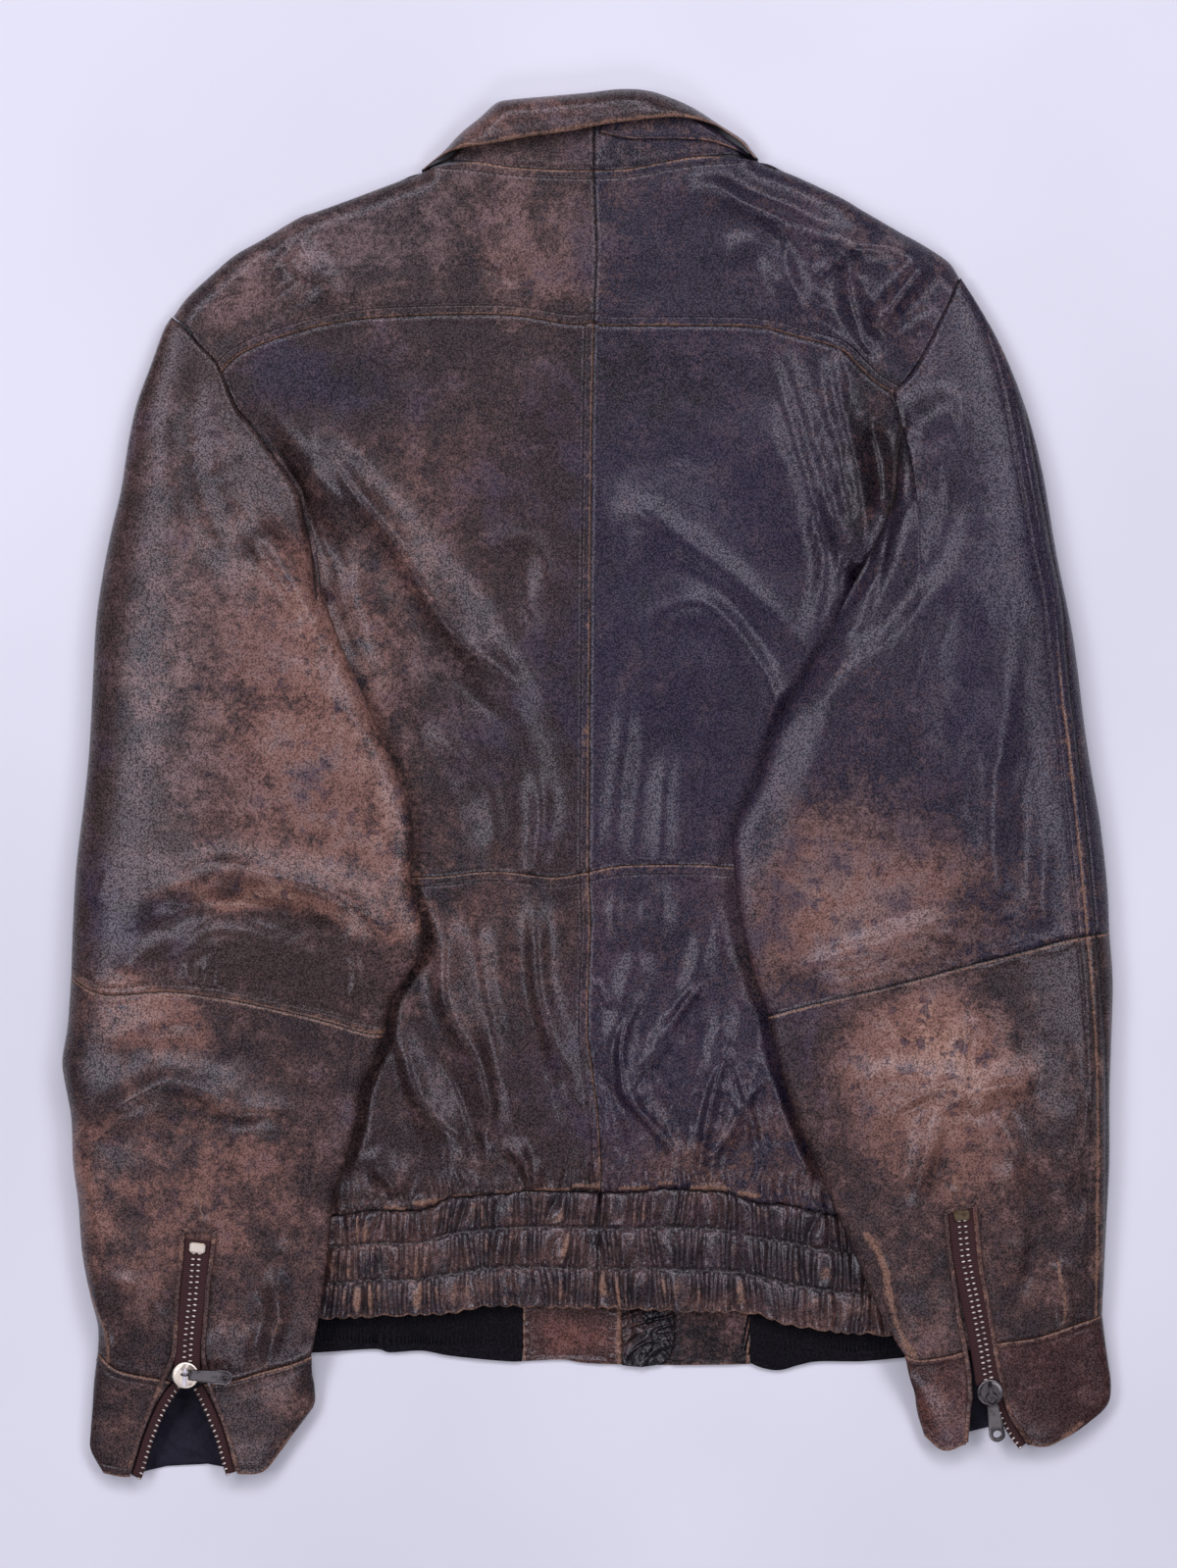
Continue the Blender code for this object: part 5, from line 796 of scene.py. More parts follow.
def noise(x, y, seed=0):
    """Smooth noise from about -1 to 1, with features one unit wide."""
    x, y = x + 37.2 * seed, y + 91.7 * seed
    column, row = np.floor(x).astype(int), np.floor(y).astype(int)
    s, t = x - column, y - row

    def corner(i, j):
        turn = TURNS[(row + j) % len(TURNS), (column + i) % len(TURNS)]
        return np.cos(turn) * (s - i) + np.sin(turn) * (t - j)

    a, b = s * s * (3 - 2 * s), t * t * (3 - 2 * t)
    low = corner(0, 0) + a * (corner(1, 0) - corner(0, 0))
    high = corner(0, 1) + a * (corner(1, 1) - corner(0, 1))
    return 1.5 * (low + b * (high - low))


def creases(points, lines):
    """Height of rounded ridges (above 0) and shallower troughs (below 0) that fade out at their ends."""
    total = np.zeros(points.shape[:-1])
    for height, width, line in lines:
        height *= 0.95 if height > 0 else 0.62
        width *= min(1.5, 1 + 0.12 * width)
        curve = smooth(line, 4)
        low, high = curve.min(0) - 5 * width, curve.max(0) + 5 * width
        near = ((points > low) & (points < high)).all(-1)
        if near.any():
            gap, at = to_line(points[near], curve)
            total[near] += height * (1 + (gap / width) ** 2) ** -1.5 * ease(0, 0.3, at) * (1 - ease(0.7, 1, at))
    return total


def wrinkles(points, regions):
    """Height of fine wrinkles that run along a heading within soft regions."""
    total = np.zeros(points.shape[:-1])
    for seed, (x, y, reach_x, reach_y, heading, pitch, height) in enumerate(regions):
        away = (points - (x, y)) / (reach_x, reach_y)
        weight = np.exp(-(away**2).sum(-1))
        near = weight > 0.02
        if not near.any():
            continue
        dx, dy = (points[near] - (x, y)).T
        turn = math.radians(heading)
        run = dx * math.cos(turn) + dy * math.sin(turn)
        across = dy * math.cos(turn) - dx * math.sin(turn)
        across = across + pitch * noise(run / (4 * pitch), across / (4 * pitch), seed)
        ridge = 1 - 2.2 * np.abs(noise(run / (3.2 * pitch), across / pitch, seed + 3))
        total[near] += height * weight[near] * (np.clip(ridge, 0, 1) ** 1.5 - 0.3)
    return total


def rumple(points, seed=0):
    """The small unevenness that all of the leather has."""
    x, y = points[..., 0], points[..., 1]
    return 0.55 * noise(x / 34, y / 34, seed) + 0.22 * noise(x / 11, y / 11, seed + 1) \
        + 0.08 * noise(x / 4.3, y / 4.3, seed + 2)


def lap(gap, width, rise):
    """Height and wear of a folded edge that lies along a seam and is topstitched a width away from it."""
    raised = rise * ease(-0.2, 1.2, gap) * (1 - ease(width - 0.9, width + 0.3, gap))
    groove = -STITCH_GROOVE * np.exp(-(((gap - width) / 0.8) ** 2))
    wear = 0.8 * np.exp(-((gap / 0.9) ** 2)) + 0.34 * np.exp(-(((gap - 0.5 * width) / 1.9) ** 2))
    return raised + groove, wear


def valley(gap, depth=0.6):
    """Height and painted shade of the side of a seam that lies under a lap: the groove there is drawn darker."""
    return -depth * np.exp(-((gap / 1.1) ** 2)) + 0.25 * np.exp(-(((gap - 3.2) / 1.8) ** 2)), \
        np.exp(-((gap / 1.0) ** 2))


class Relief:
    """The fine relief of one piece: its height over the piece's level, its rubbed places, and painted shade that
    darkens its troughs and seam grooves.
    """

    def __init__(self, points, height):
        self.points = points
        self.height = height
        self.wear = RUB * ease(0.6, 3.4, height)
        # Painted shade: the deeper a trough, the darker its leather is drawn.
        self.painted_shade = 0.5 * ease(0.8, 3.4, -height)
        self.sewn = []

    def lap(self, line, width=5.5, rise=0.9):
        curve = line if isinstance(line, np.ndarray) else smooth(line)
        raised, wear = lap(to_line(self.points, curve)[0], width, rise)
        self.sewn.append((curve, width))
        self.height = self.height + raised
        self.wear = np.maximum(self.wear, wear)

    def valley(self, line, depth=0.6):
        curve = line if isinstance(line, np.ndarray) else smooth(line)
        lowered, painted_shade = valley(to_line(self.points, curve)[0], depth)
        self.height = self.height + lowered
        # Painted shade along the seam's groove.
        self.painted_shade = np.maximum(self.painted_shade, painted_shade)

    def rub(self, line, reach, amount):
        """Wear along a line that stands proud."""
        curve = line if isinstance(line, np.ndarray) else smooth(line)
        gap = to_line(self.points, curve)[0]
        self.wear = np.maximum(self.wear, amount * np.exp(-((gap / reach) ** 2)))


def marks_of(points, wear, painted_shade):
    """Everything a leather's finish reads from its net: the tones of its regions (among them painted sheen and painted
    shadow), its wear and its painted shade.
    """
    x, y = points[..., 0], points[..., 1]
    ragged = points + 14 * np.dstack([noise(x / 40, y / 40, 4), noise(x / 40, y / 40, 9)]) \
        + 4 * np.dstack([noise(x / 11, y / 11, 14), noise(x / 11, y / 11, 19)])
    marks = {tone: np.zeros(points.shape[:-1]) for tone in TONES}
    for tone, patches in TONES.items():
        for cx, cy, reach_x, reach_y, heading, strength in patches:
            dx, dy = ragged[..., 0] - cx, ragged[..., 1] - cy
            turn = math.radians(heading)
            run = (dx * math.cos(turn) + dy * math.sin(turn)) / reach_x
            across = (dy * math.cos(turn) - dx * math.sin(turn)) / reach_y
            there = strength * np.exp(-((run**2 + across**2) ** 1.2))
            marks[tone] = 1 - (1 - marks[tone]) * (1 - there)
    marks["wear"] = wear
    marks["painted_shade"] = painted_shade
    return {name: np.clip(values, 0, 1) for name, values in marks.items()}


def lowest_near(level, reach=3):
    """The lowest level within a few rows and columns of each point."""
    padded = np.pad(level, reach, mode="edge")
    rows, columns = level.shape
    shifts = range(2 * reach + 1)
    down = np.min([padded[k:k + rows] for k in shifts], axis=0)
    return np.min([down[:, k:k + columns] for k in shifts], axis=0)


def rim(outer, inner):
    """Triangles between an edge of the outer net and the edge of the inner net under it."""
    first, last = inner[:-1], inner[1:]
    middle = SKIP // 2
    at = [outer[k:len(outer) - SKIP + k:SKIP] for k in range(SKIP)] + [outer[SKIP::SKIP]]
    found = [(first, last, at[middle])]
    found += [(last, at[k + 1], at[k]) for k in range(middle, SKIP)]
    found += [(first, at[k + 1], at[k]) for k in range(middle)]
    return np.concatenate([np.stack(corners, axis=-1) for corners in found])


def grid_quads(index):
    return np.stack([index[:-1, :-1], index[:-1, 1:], index[1:, 1:], index[1:, :-1]], axis=-1).reshape(-1, 4)


def shell(name, net, inner, marks, skins, around=False, mirrored=False):
    """A closed thin wall between a fine outer net and its coarser inner net. skins are the outer and inner
    materials."""
    outer_at = np.arange(net[..., 0].size).reshape(net.shape[:2])
    inner_at = net[..., 0].size + np.arange(inner[..., 0].size).reshape(inner.shape[:2])
    if around:
        outer_at = np.hstack([outer_at, outer_at[:, :1]])
        inner_at = np.hstack([inner_at, inner_at[:, :1]])
    outside, inside = grid_quads(outer_at), grid_quads(inner_at)[:, ::-1]
    rims = [rim(outer_at[0], inner_at[0]), rim(outer_at[-1], inner_at[-1])[:, ::-1]]
    if not around:
        rims += [rim(outer_at[:, 0], inner_at[:, 0])[:, ::-1], rim(outer_at[:, -1], inner_at[:, -1])]
    quads, triangles = np.concatenate([outside, inside]), np.concatenate(rims)
    if mirrored:
        quads, triangles = quads[:, ::-1], triangles[:, ::-1]
    points = np.concatenate([net.reshape(-1, 3), inner.reshape(-1, 3)])
    values = {
        mark: np.concatenate([array.ravel(), np.full(inner[..., 0].size, 0.1)]) for mark, array in marks.items()
    }
    kinds = np.concatenate([np.zeros(len(outside), int), np.ones(len(inside), int), np.zeros(len(triangles), int)])
    return mesh_piece(name, points, quads, triangles, skins, kinds, values)


def mesh_piece(name, points, quads, triangles, skins, kinds=None, values=None):
    """A mesh object from arrays in millimetres, shaded smooth."""
    corners = np.concatenate([quads.ravel(), triangles.ravel()]).astype(np.int32)
    starts = np.concatenate([4 * np.arange(len(quads)), 4 * len(quads) + 3 * np.arange(len(triangles))])
    mesh = bpy.data.meshes.new(name)
    mesh.vertices.add(len(points))
    mesh.vertices.foreach_set("co", (points * MM).astype(np.float32).ravel())
    mesh.loops.add(len(corners))
    mesh.loops.foreach_set("vertex_index", corners)
    mesh.polygons.add(len(starts))
    mesh.polygons.foreach_set("loop_start", starts.astype(np.int32))
    if kinds is not None:
        mesh.polygons.foreach_set("material_index", kinds.astype(np.int32))
    mesh.update(calc_edges=True)
    for mark, array in (values or {}).items():
        mesh.attributes.new(mark, "FLOAT", "POINT").data.foreach_set("value", array.astype(np.float32))
    mesh.shade_smooth()
    for skin in skins:
        mesh.materials.append(MATERIALS[skin])
    piece = bpy.data.objects.new(name, mesh)
    bpy.context.scene.collection.objects.link(piece)
    return piece


def cut(net):
    """The width, length and area that a net's panel is cut to, in metres."""
    widths = np.linalg.norm(np.diff(net, axis=1), axis=-1).sum(1)
    rises = np.linalg.norm(np.diff(net, axis=0), axis=-1).sum(0)
    a, b = net[1:, 1:] - net[:-1, :-1], net[1:, :-1] - net[:-1, 1:]
    area = 0.5 * np.linalg.norm(np.cross(a, b), axis=-1).sum()
    width, length = widths.max() * MM, rises.max() * MM
    return width, length, min(area * MM**2, width * length)


def dress(piece, node, body="jacket"):
    """Puts a finished piece in the place of the solid it stands for."""
    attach(piece, body)
    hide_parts(node)
    return piece


def wall_inside(net, rest, thick=WALL):
    """The inner net of a panel: under the lowest place of the outer net near each point."""
    inner = net[::SKIP, ::SKIP].copy()
    inner[..., 2] = np.maximum(lowest_near(net[..., 2])[::SKIP, ::SKIP] - thick, rest)
    return inner


def tube_out(edges, turn, up):
    """Outward directions round a flattened tube: level and square to each folded edge there, and upright
    between them."""
    sides = patch(*edges, np.array([[0.0, 1.0]]), up[:, None])
    tangent = unit(np.gradient(sides, axis=0))
    square = np.stack([-tangent[..., 1], tangent[..., 0]], axis=-1)
    away = sides - sides[:, ::-1]
    square *= np.sign((away * square).sum(-1).mean(0))[None, :, None]
    turn = np.broadcast_to(turn, (len(up), np.shape(turn)[-1]))
    to_outer = np.maximum(0, np.cos(turn))[..., None] * square[:, :1]
    to_inner = np.maximum(0, -np.cos(turn))[..., None] * square[:, 1:]
    return np.dstack([to_outer + to_inner, np.sin(turn)])


def base_at(across, base, end):
    """What a tube rests on at its outer edge (end 0) or its inner edge (end 1), for each of its rings."""
    column = np.abs(across[0] - end).argmin()
    return base[:, [column]]


def tube_levels(flat, across, side, rise, crown, fold_lines=()):
    """The levels of a flattened tube: side is above 0 on top and below 0 underneath."""
    base = support(flat)
    out_edge = base_at(across, base, 0) + SIDE_ROUND
    in_edge = base_at(across, base, 1) + SIDE_ROUND
    edge = out_edge + (in_edge - out_edge) * across
    height = table(crown, rise)
    swell = folds(flat, fold_lines) * np.abs(side)
    top = edge + (height - edge) * np.abs(side) ** 0.75 + swell
    top = np.maximum(top, base + 2 * LEATHER + 1.5 + 2.2 * (1 - np.abs(side)))
    below = base + (edge - base) * np.maximum(0, 1 - np.abs(side) / 0.8) ** 1.5
    return np.where(side > 1e-9, top, np.where(side < -1e-9, below, edge))


def share_across(edges, point, rise):
    """The share across a patch, at one share up it, that lies nearest a point."""
    tries = np.linspace(0, 1, 401)
    row = patch(*edges, tries, rise)
    return tries[np.linalg.norm(row - point, axis=-1).argmin()]


CUFF_LEFT = (CUFF_HEM_LEFT, CUFF_SEAM_LEFT, CUFF_OUT_LEFT, CUFF_IN_LEFT)
CUFF_RIGHT = (CUFF_HEM_RIGHT, CUFF_SEAM_RIGHT, CUFF_OUT_RIGHT, CUFF_IN_RIGHT)
FOREARMS = {
    "left": (CUFF_SEAM_LEFT, ELBOW_LEFT, FOREARM_OUT_LEFT, FOREARM_IN_LEFT),
    "right": (CUFF_SEAM_RIGHT, ELBOW_RIGHT, FOREARM_OUT_RIGHT, FOREARM_IN_RIGHT),
}
CUFFS = {"left": CUFF_LEFT, "right": CUFF_RIGHT}


def top_level(edges, crown, fold_lines, points):
    """Level of a sleeve's or cuff's upper surface at points given in plan."""
    tries = np.linspace(0.05, 0.95, 61)
    rises = np.linspace(0, 1, 61)
    net = patch(*edges, tries[None], rises[:, None])
    side = 2 * np.sqrt(tries * (1 - tries))
    base = support(patch(*edges, np.array([[0.0, 1.0]]), rises[:, None]))
    out_edge, in_edge = base[:, [0]] + SIDE_ROUND, base[:, [1]] + SIDE_ROUND
    edge = out_edge + (in_edge - out_edge) * tries[None]
    height = table(crown, rises)[:, None]
    level = edge + (height - edge) * side[None] ** 0.75 + folds(net, fold_lines) * side[None]
    gaps = np.linalg.norm(np.asarray(points)[:, None, None, :] - net[None], axis=-1)
    near = gaps.reshape(len(points), -1).argmin(-1)
    return level.reshape(-1)[near]


def zip_level(side, points):
    """Level of the leather under the zip: the forearm above the cuff seam, and the cuff below it."""
    points = np.asarray(points, float)
    seam = smooth(CUFF_SEAM_LEFT if side == "left" else CUFF_SEAM_RIGHT)
    order = np.argsort(seam[:, 0])
    seam_y = np.interp(points[:, 0], seam[order, 0], seam[order, 1])
    on_arm = top_level(FOREARMS[side], FOREARM_CROWN, FOREARM_FOLDS, points)
    on_cuff = top_level(CUFFS[side], CUFF_CROWN, (), points)
    blend = ease(-6, 6, points[:, 1] - seam_y)
    return on_cuff + (on_arm - on_cuff) * blend


def tape_run(side):
    """The middle line of a zip's closed tape, and the level of its underside at each point."""
    run = along(ZIP_LEFT if side == "left" else ZIP_RIGHT, np.linspace(0, 1, 9))
    levels = np.pad(zip_level(side, run), 1, mode="edge")
    return run, np.maximum.reduce([levels[:-2], levels[1:-1], levels[2:]]) + TAPE_LIFT


TAPE_RUNS = {side: tape_run(side) for side in ("left", "right")}


def on_tape(side, spot, reach):
    """The place of a piece of hardware on a zip's tape: x across the zip, y up it to its closed end, and z
    square to the tape."""
    run, levels = TAPE_RUNS[side]
    tangent = unit(run[2] - run[0]) if spot[1] < run[4, 1] else unit(run[-1] - run[-3])
    near = np.array([spot - reach * tangent, spot + reach * tangent])
    order = np.argsort(run[:, 1])
    below, above = np.interp(near[:, 1], run[order, 1], levels[order])
    if near[0, 1] < run[0, 1]:
        below = levels[0] - (levels[1] - levels[0]) * (run[0, 1] - near[0, 1]) / (run[1, 1] - run[0, 1])
    up = Vector((*(near[1] - near[0]), above - below)).normalized()
    out = Vector((up.y, -up.x, 0)).normalized()
    square = out.cross(up)
    level = (below + above) / 2
    place = Matrix((out, up, square)).transposed().to_4x4()
    place.translation = Vector((*spot, level)) + square * (TAPE + SLIDER_SEAT)
    return place


def press_for_zip(side, points, level):
    """Presses leather down to a zip's tape, under it and a little beyond its edges."""
    run, levels = TAPE_RUNS[side]
    gap, at = to_line(points, run)
    tape = np.interp(at, lengths(run) / lengths(run)[-1], levels)
    bed = 1 - ease(TAPE_HALF_WIDTH + 1.4, TAPE_HALF_WIDTH + 9, gap)
    return level + bed * (np.minimum(level, tape - BED_GAP) - level)


def turns_round(width, seam=None):
    """Turns round a flattened tube, an even step apart over its top and a wider one underneath, and close
    together near a seam at a share across its top."""
    turn = np.linspace(0, 2 * math.pi, 3000)
    step = np.hypot(width / 2 * np.sin(turn), SIDE_ROUND * np.cos(turn)) * turn[1]
    spacing = np.where(turn < math.pi, STEP, UNDER_STEP)
    if seam is not None:
        gap = np.abs((1 - np.cos(turn)) / 2 - seam) * width
        spacing = np.where(turn < math.pi, FINE + (STEP - FINE) * ease(8, 16, gap), spacing)
    run = np.cumsum(step / spacing)
    count = SKIP * math.ceil(run[-1] / SKIP)
    return np.interp(np.linspace(0, run[-1], count, endpoint=False), run, turn)


def follow_seam(turn, share, seam_shares):
    """Moves the columns of a tube's top so that the one at a share follows a seam down it."""
    at = (1 - np.cos(turn))[None] / 2
    seam = seam_shares[:, None]
    moved = np.where(at <= share, at * seam / share, 1 - (1 - at) * (1 - seam) / (1 - share))
    return np.where(turn < math.pi, np.arccos(1 - 2 * np.clip(moved, 0, 1)), turn)


GROUNDS = {}
SEAMS = {}


def beside(line, distance, middle):
    """A line moved sideways towards a point."""
    line = line if isinstance(line, np.ndarray) else smooth(line)
    tangent = unit(np.gradient(line, axis=0))
    square = np.stack([-tangent[:, 1], tangent[:, 0]], axis=-1)
    toward = np.sign(((middle - line) * square).sum(-1).mean())
    return line + toward * distance * square


def remember(name, net):
    """Keeps a piece's upper surface, for stitches and other trims that lie on it."""
    index = np.arange(net[..., 0].size).reshape(net.shape[:2])
    GROUNDS[name] = BVHTree.FromPolygons(net.reshape(-1, 3).tolist(), grid_quads(index).tolist())


def settle(line, names, lift=0.0):
    """A line in plan laid onto the pieces named, wherever it is over one of them."""
    found = []
    for x, y in line:
        hits = [GROUNDS[name].ray_cast((x, y, 90), (0, 0, -1))[0] for name in names]
        levels = [hit.z for hit in hits if hit]
        if levels:
            found.append((x, y, max(levels) + lift))
    return np.array(found).reshape(-1, 3)


def panel(name, slot, edges, reaches, level, decorate, rest=REST_ON_FRONT, step=STEP):
    """One panel of the body: its level and its fine relief, as a thin wall over what it rests on."""
    starts, ends = reaches
    u = shares(max(length_of(edges[0]), length_of(edges[1])), *starts, step=step)
    v = shares(max(length_of(edges[2]), length_of(edges[3])), *ends, step=step)
    flat = patch(*edges, u[None], v[:, None])
    relief = decorate(flat, u[None], v[:, None])
    net = np.dstack([flat, np.maximum(level(flat) + relief.height, rest + EDGE)])
    mirrored = np.cross(flat[0, 1] - flat[0, 0], flat[1, 0] - flat[0, 0]) < 0
    inner = wall_inside(net, rest)
    skins = (PANEL_SKINS.get(name, slot), "lining")
    piece = shell(f"{name}_leather", net, inner, marks_of(flat, relief.wear, relief.painted_shade), skins,
                  mirrored=bool(mirrored))
    remember(name, net)
    for line, width in relief.sewn:
        middle = flat.reshape(-1, 2).mean(0)
        SEAMS.setdefault(name, []).append(beside(line, width, middle))
    dress(piece, name)
    return net


def back():
    """The yoke, upper back and lower back, left and right of the centre seam."""
    sides = {
        "left": (
            (YOKE_EDGE_LEFT, SHOULDER_LEFT[::-1] + NECK[:5][::-1][1:], YOKE_HEAD_LEFT, CENTRE_YOKE),
            (WAIST_LEFT, YOKE_EDGE_LEFT, SIDE_LEFT_UPPER + ARMHOLE_LEFT[1:], CENTRE_UPPER),
            (BAND_TOP_LEFT, WAIST_LEFT, SIDE_LEFT_LOWER, CENTRE_LOWER),
            NECK[:5], ("leather_grey_brown", "leather_brown"),
        ),
        "right": (
            (YOKE_EDGE_RIGHT, SHOULDER_RIGHT[::-1] + NECK_RIGHT[:5][::-1][1:], YOKE_HEAD_RIGHT, CENTRE_YOKE),
            (WAIST_RIGHT, YOKE_EDGE_RIGHT, (*SIDE_RIGHT_UPPER[:5], *UNDER_ARM_RIGHT), CENTRE_UPPER),
            (BAND_TOP_RIGHT, WAIST_RIGHT, SIDE_RIGHT_LOWER, CENTRE_LOWER),
            NECK_RIGHT[:5], ("leather_blue_black", "leather_blue_black"),
        ),
    }
    for side, (yoke, upper, lower, neck, skins) in sides.items():
        centre_over = side == "left"

        def on_yoke(flat, u, v):
            relief = body_relief(flat)
            relief.lap(yoke[0], 5.5, 1.0)
            relief.lap(neck, 4.5, 0.5)
            relief.valley(CENTRE_YOKE)
            return relief

        def on_upper(flat, u, v):
            relief = body_relief(flat)
            relief.valley(yoke[0], 0.5)
            relief.valley(upper[0], 0.5)
            if centre_over:
                relief.lap(CENTRE_UPPER, 5.0, 0.7)
            else:
                relief.valley(CENTRE_UPPER)
            return relief

        def on_lower(flat, u, v):
            relief = body_relief(flat)
            relief.lap(lower[1], 5.0, 0.5)
            gap = to_line(flat, smooth(lower[0]))[0]
            relief.height += puckers(flat) * np.exp(-gap / PUCKER_REACH)
            relief.valley(lower[0], 0.7)
            relief.height += creases(flat, [(1.6, 2.4, puff) for puff in PUFFS])
            for puff in PUFFS:
                relief.rub(puff, 2.2, 0.85)
            if centre_over:
                relief.lap(CENTRE_LOWER, 5.0, 0.7)
            else:
                relief.valley(CENTRE_LOWER)
            return relief

        panel(f"back_yoke_{side}", skins[0], yoke, ((0, 6), (6, 5)), body_top, on_yoke)
        panel(f"back_upper_{side}", skins[1], upper, ((0, 6), (3, 4)), body_top, on_upper)
        panel(f"back_lower_{side}", skins[1], lower, ((0, 6), (4, 6)), body_top, on_lower)


def body_relief(flat):
    """The back's own creases and wrinkles, which fade out under the sleeves."""
    height = FOLD_DEPTH * creases(flat, BODY_CREASES) + wrinkles(flat, BODY_WRINKLES) + rumple(flat)
    return Relief(flat, height * (1 - covered(flat)))


def puckers(flat):
    """Small pleats that the waistband's gathers send up into the lower back."""
    x, y = flat[..., 0], flat[..., 1]
    phase = x / GATHER_PITCH + 0.9 * noise(x / 19, y / 25, 31)
    return PUCKER_HEIGHT * np.sin(2 * math.pi * phase) * (0.6 + 0.6 * noise(x / 30, y / 60, 33))


def waistband():
    """The gathered band at the back hem, drawn in along two rows of elastic stitching."""
    halves = {
        "left": (BAND_FOOT_LEFT, BAND_TOP_LEFT, SIDE_LEFT_BAND, CENTRE_BAND),
        "right": (BAND_FOOT_RIGHT, BAND_TOP_RIGHT, SIDE_RIGHT_BAND, CENTRE_BAND),
    }
    for side, edges in halves.items():
        hem = along(edges[0], np.linspace(0, 1, 240))
        scallops = np.abs(np.sin(math.pi * (hem[:, 0] / 9.5 + 0.6 * noise(hem[:, 0] / 20, hem[:, 1] / 90, 63))))
        hem[1:-1, 1] -= 1.5 * (scallops[1:-1] - 0.5)
        edges = (hem, *edges[1:])

        def gathered(flat, u, v):
            x, y = flat[..., 0], flat[..., 1]
            full = np.zeros(flat.shape[:-1])
            waves = np.zeros(flat.shape[:-1])
            for k, (low, high) in enumerate(zip(BAND_CHANNELS, BAND_CHANNELS[1:])):
                place = (v - low) / (high - low)
                inside = (place >= 0) & (place <= 1)
                swell = np.maximum(1 - (2 * np.clip(place, 0, 1) - 1) ** 2, 0.0) ** 0.6
                phase = x / GATHER_PITCH + 0.9 * noise(x / 13, y / 46, 41 + k) + 0.37 * k
                crest = np.abs(np.sin(math.pi * phase)) ** 0.75 - 0.55
                crest = crest * (0.8 + 0.5 * noise(x / 9, y / 40, 51 + k))
                waves = np.where(inside, crest * (0.18 + 0.82 * swell), waves)
                full = np.where(inside, swell, full)
            relief = Relief(flat, GATHER_HEIGHT * waves + 1.3 * full + 0.4 * rumple(flat))
            for share in BAND_CHANNELS[1:3]:
                line = patch(*edges, np.linspace(0.01, 0.99, 80), share)
                gap = to_line(flat, line)[0]
                relief.height -= 1.0 * np.exp(-((gap / 1.3) ** 2))
                # Painted shade in the groove of each row of stitching.
                relief.painted_shade = np.maximum(relief.painted_shade, 0.9 * np.exp(-((gap / 1.1) ** 2)))
                relief.sewn.append((line, 0.0))
            tanned = np.clip(0.05 + 1.3 * noise(x / 16, y / 30, 57) + 0.2 * (x < -20) + 0.2 * (v < 0.3), 0, 1)
            relief.wear = 0.95 * ease(0.05, 0.4, waves) * tanned
            # Painted shade in the troughs between the gathers.
            relief.painted_shade = np.maximum(relief.painted_shade, 0.95 * ease(0.02, 0.42, -waves))
            relief.rub(edges[0], 1.6, 0.7)
            relief.valley(edges[1], 0.5)
            relief.valley(CENTRE_BAND, 0.8)
            return relief

        panel(f"waistband_{side}", "leather_brown", edges, ((0, 3), (2, 3)), body_top, gathered,
              rest=REST_ON_BAND, step=BAND_STEP)


def collar():
    """The collar stand in two halves, the under collar that shows at the right, and the fall over them."""
    def stand_level(flat):
        return np.maximum(np.minimum(body_top(flat), collar_level(flat, *STAND_TOP)), LEATHER + 0.6)

    def under_level(flat):
        return np.minimum(body_top(flat) + UNDER_LIFT, collar_level(flat, *UNDER_TOP_LEVEL))

    def fall_level(flat):
        return collar_level(flat, COLLAR_TOP, 0.0)

    seam = ((4, 343), (4.2, 356), (4, 369))
    stands = (
        ("left", NECK[::-1], ((-92.5, 345.5), *STAND_TOP_LEFT), "leather_brown"),
        ("right", NECK_RIGHT[::-1], ((96, 351.5), *STAND_TOP_RIGHT[::-1]), "leather_blue_black"),
    )
    for side, foot, top, skin in stands:
        def on_stand(flat, u, v):
            relief = Relief(flat, 0.5 * rumple(flat) + creases(flat, COLLAR_CREASES))
            relief.valley(foot, 0.6)
            relief.valley(seam, 0.7)
            return relief

        end = (foot[0], tuple(np.add(foot[0], top[0]) / 2), top[0])
        panel(f"collar_stand_{side}", skin, (foot, top, end, seam), ((2, 4), (4, 0)), stand_level, on_stand,
              rest=COLLAR_REST, step=COLLAR_STEP)

    def on_under(flat, u, v):
        relief = Relief(flat, 0.3 * rumple(flat))
        relief.rub(UNDER_EDGE, 1.2, 0.7)
        return relief

    def on_fall(flat, u, v):
        relief = Relief(flat, 0.8 * rumple(flat, 3) + creases(flat, COLLAR_CREASES))
        relief.lap(FALL_EDGE, 6.0, 0.8)
        relief.rub(FALL_EDGE, 2.6, 1.0)
        relief.height *= ease(0, 4, to_line(flat, FALL_CURVE)[0])
        return relief

    edge, top = (*UNDER_EDGE, (95, 350.5)), (*UNDER_TOP, (94, 353.5))
    under_ends = ((edge[0], (8.5, 367), top[0]), (edge[-1], (94.5, 352), top[-1]))
    panel("under_collar", "leather_blue_black", (edge, top, *under_ends), ((0, 0), (4, 0)),
          under_level, on_under, rest=COLLAR_REST, step=COLLAR_STEP)
    fall_ends = (
        (FALL_EDGE[0], (-92, 344.8), FALL_OUTLINE[0]), (FALL_EDGE[-1], (95.5, 350.8), FALL_OUTLINE[-1]),
    )
    panel("collar_fall", "leather_grey_brown", (FALL_EDGE, FALL_OUTLINE, *fall_ends), ((3, 3), (7, 3)),
          fall_level, on_fall, rest=0.0, step=COLLAR_STEP)


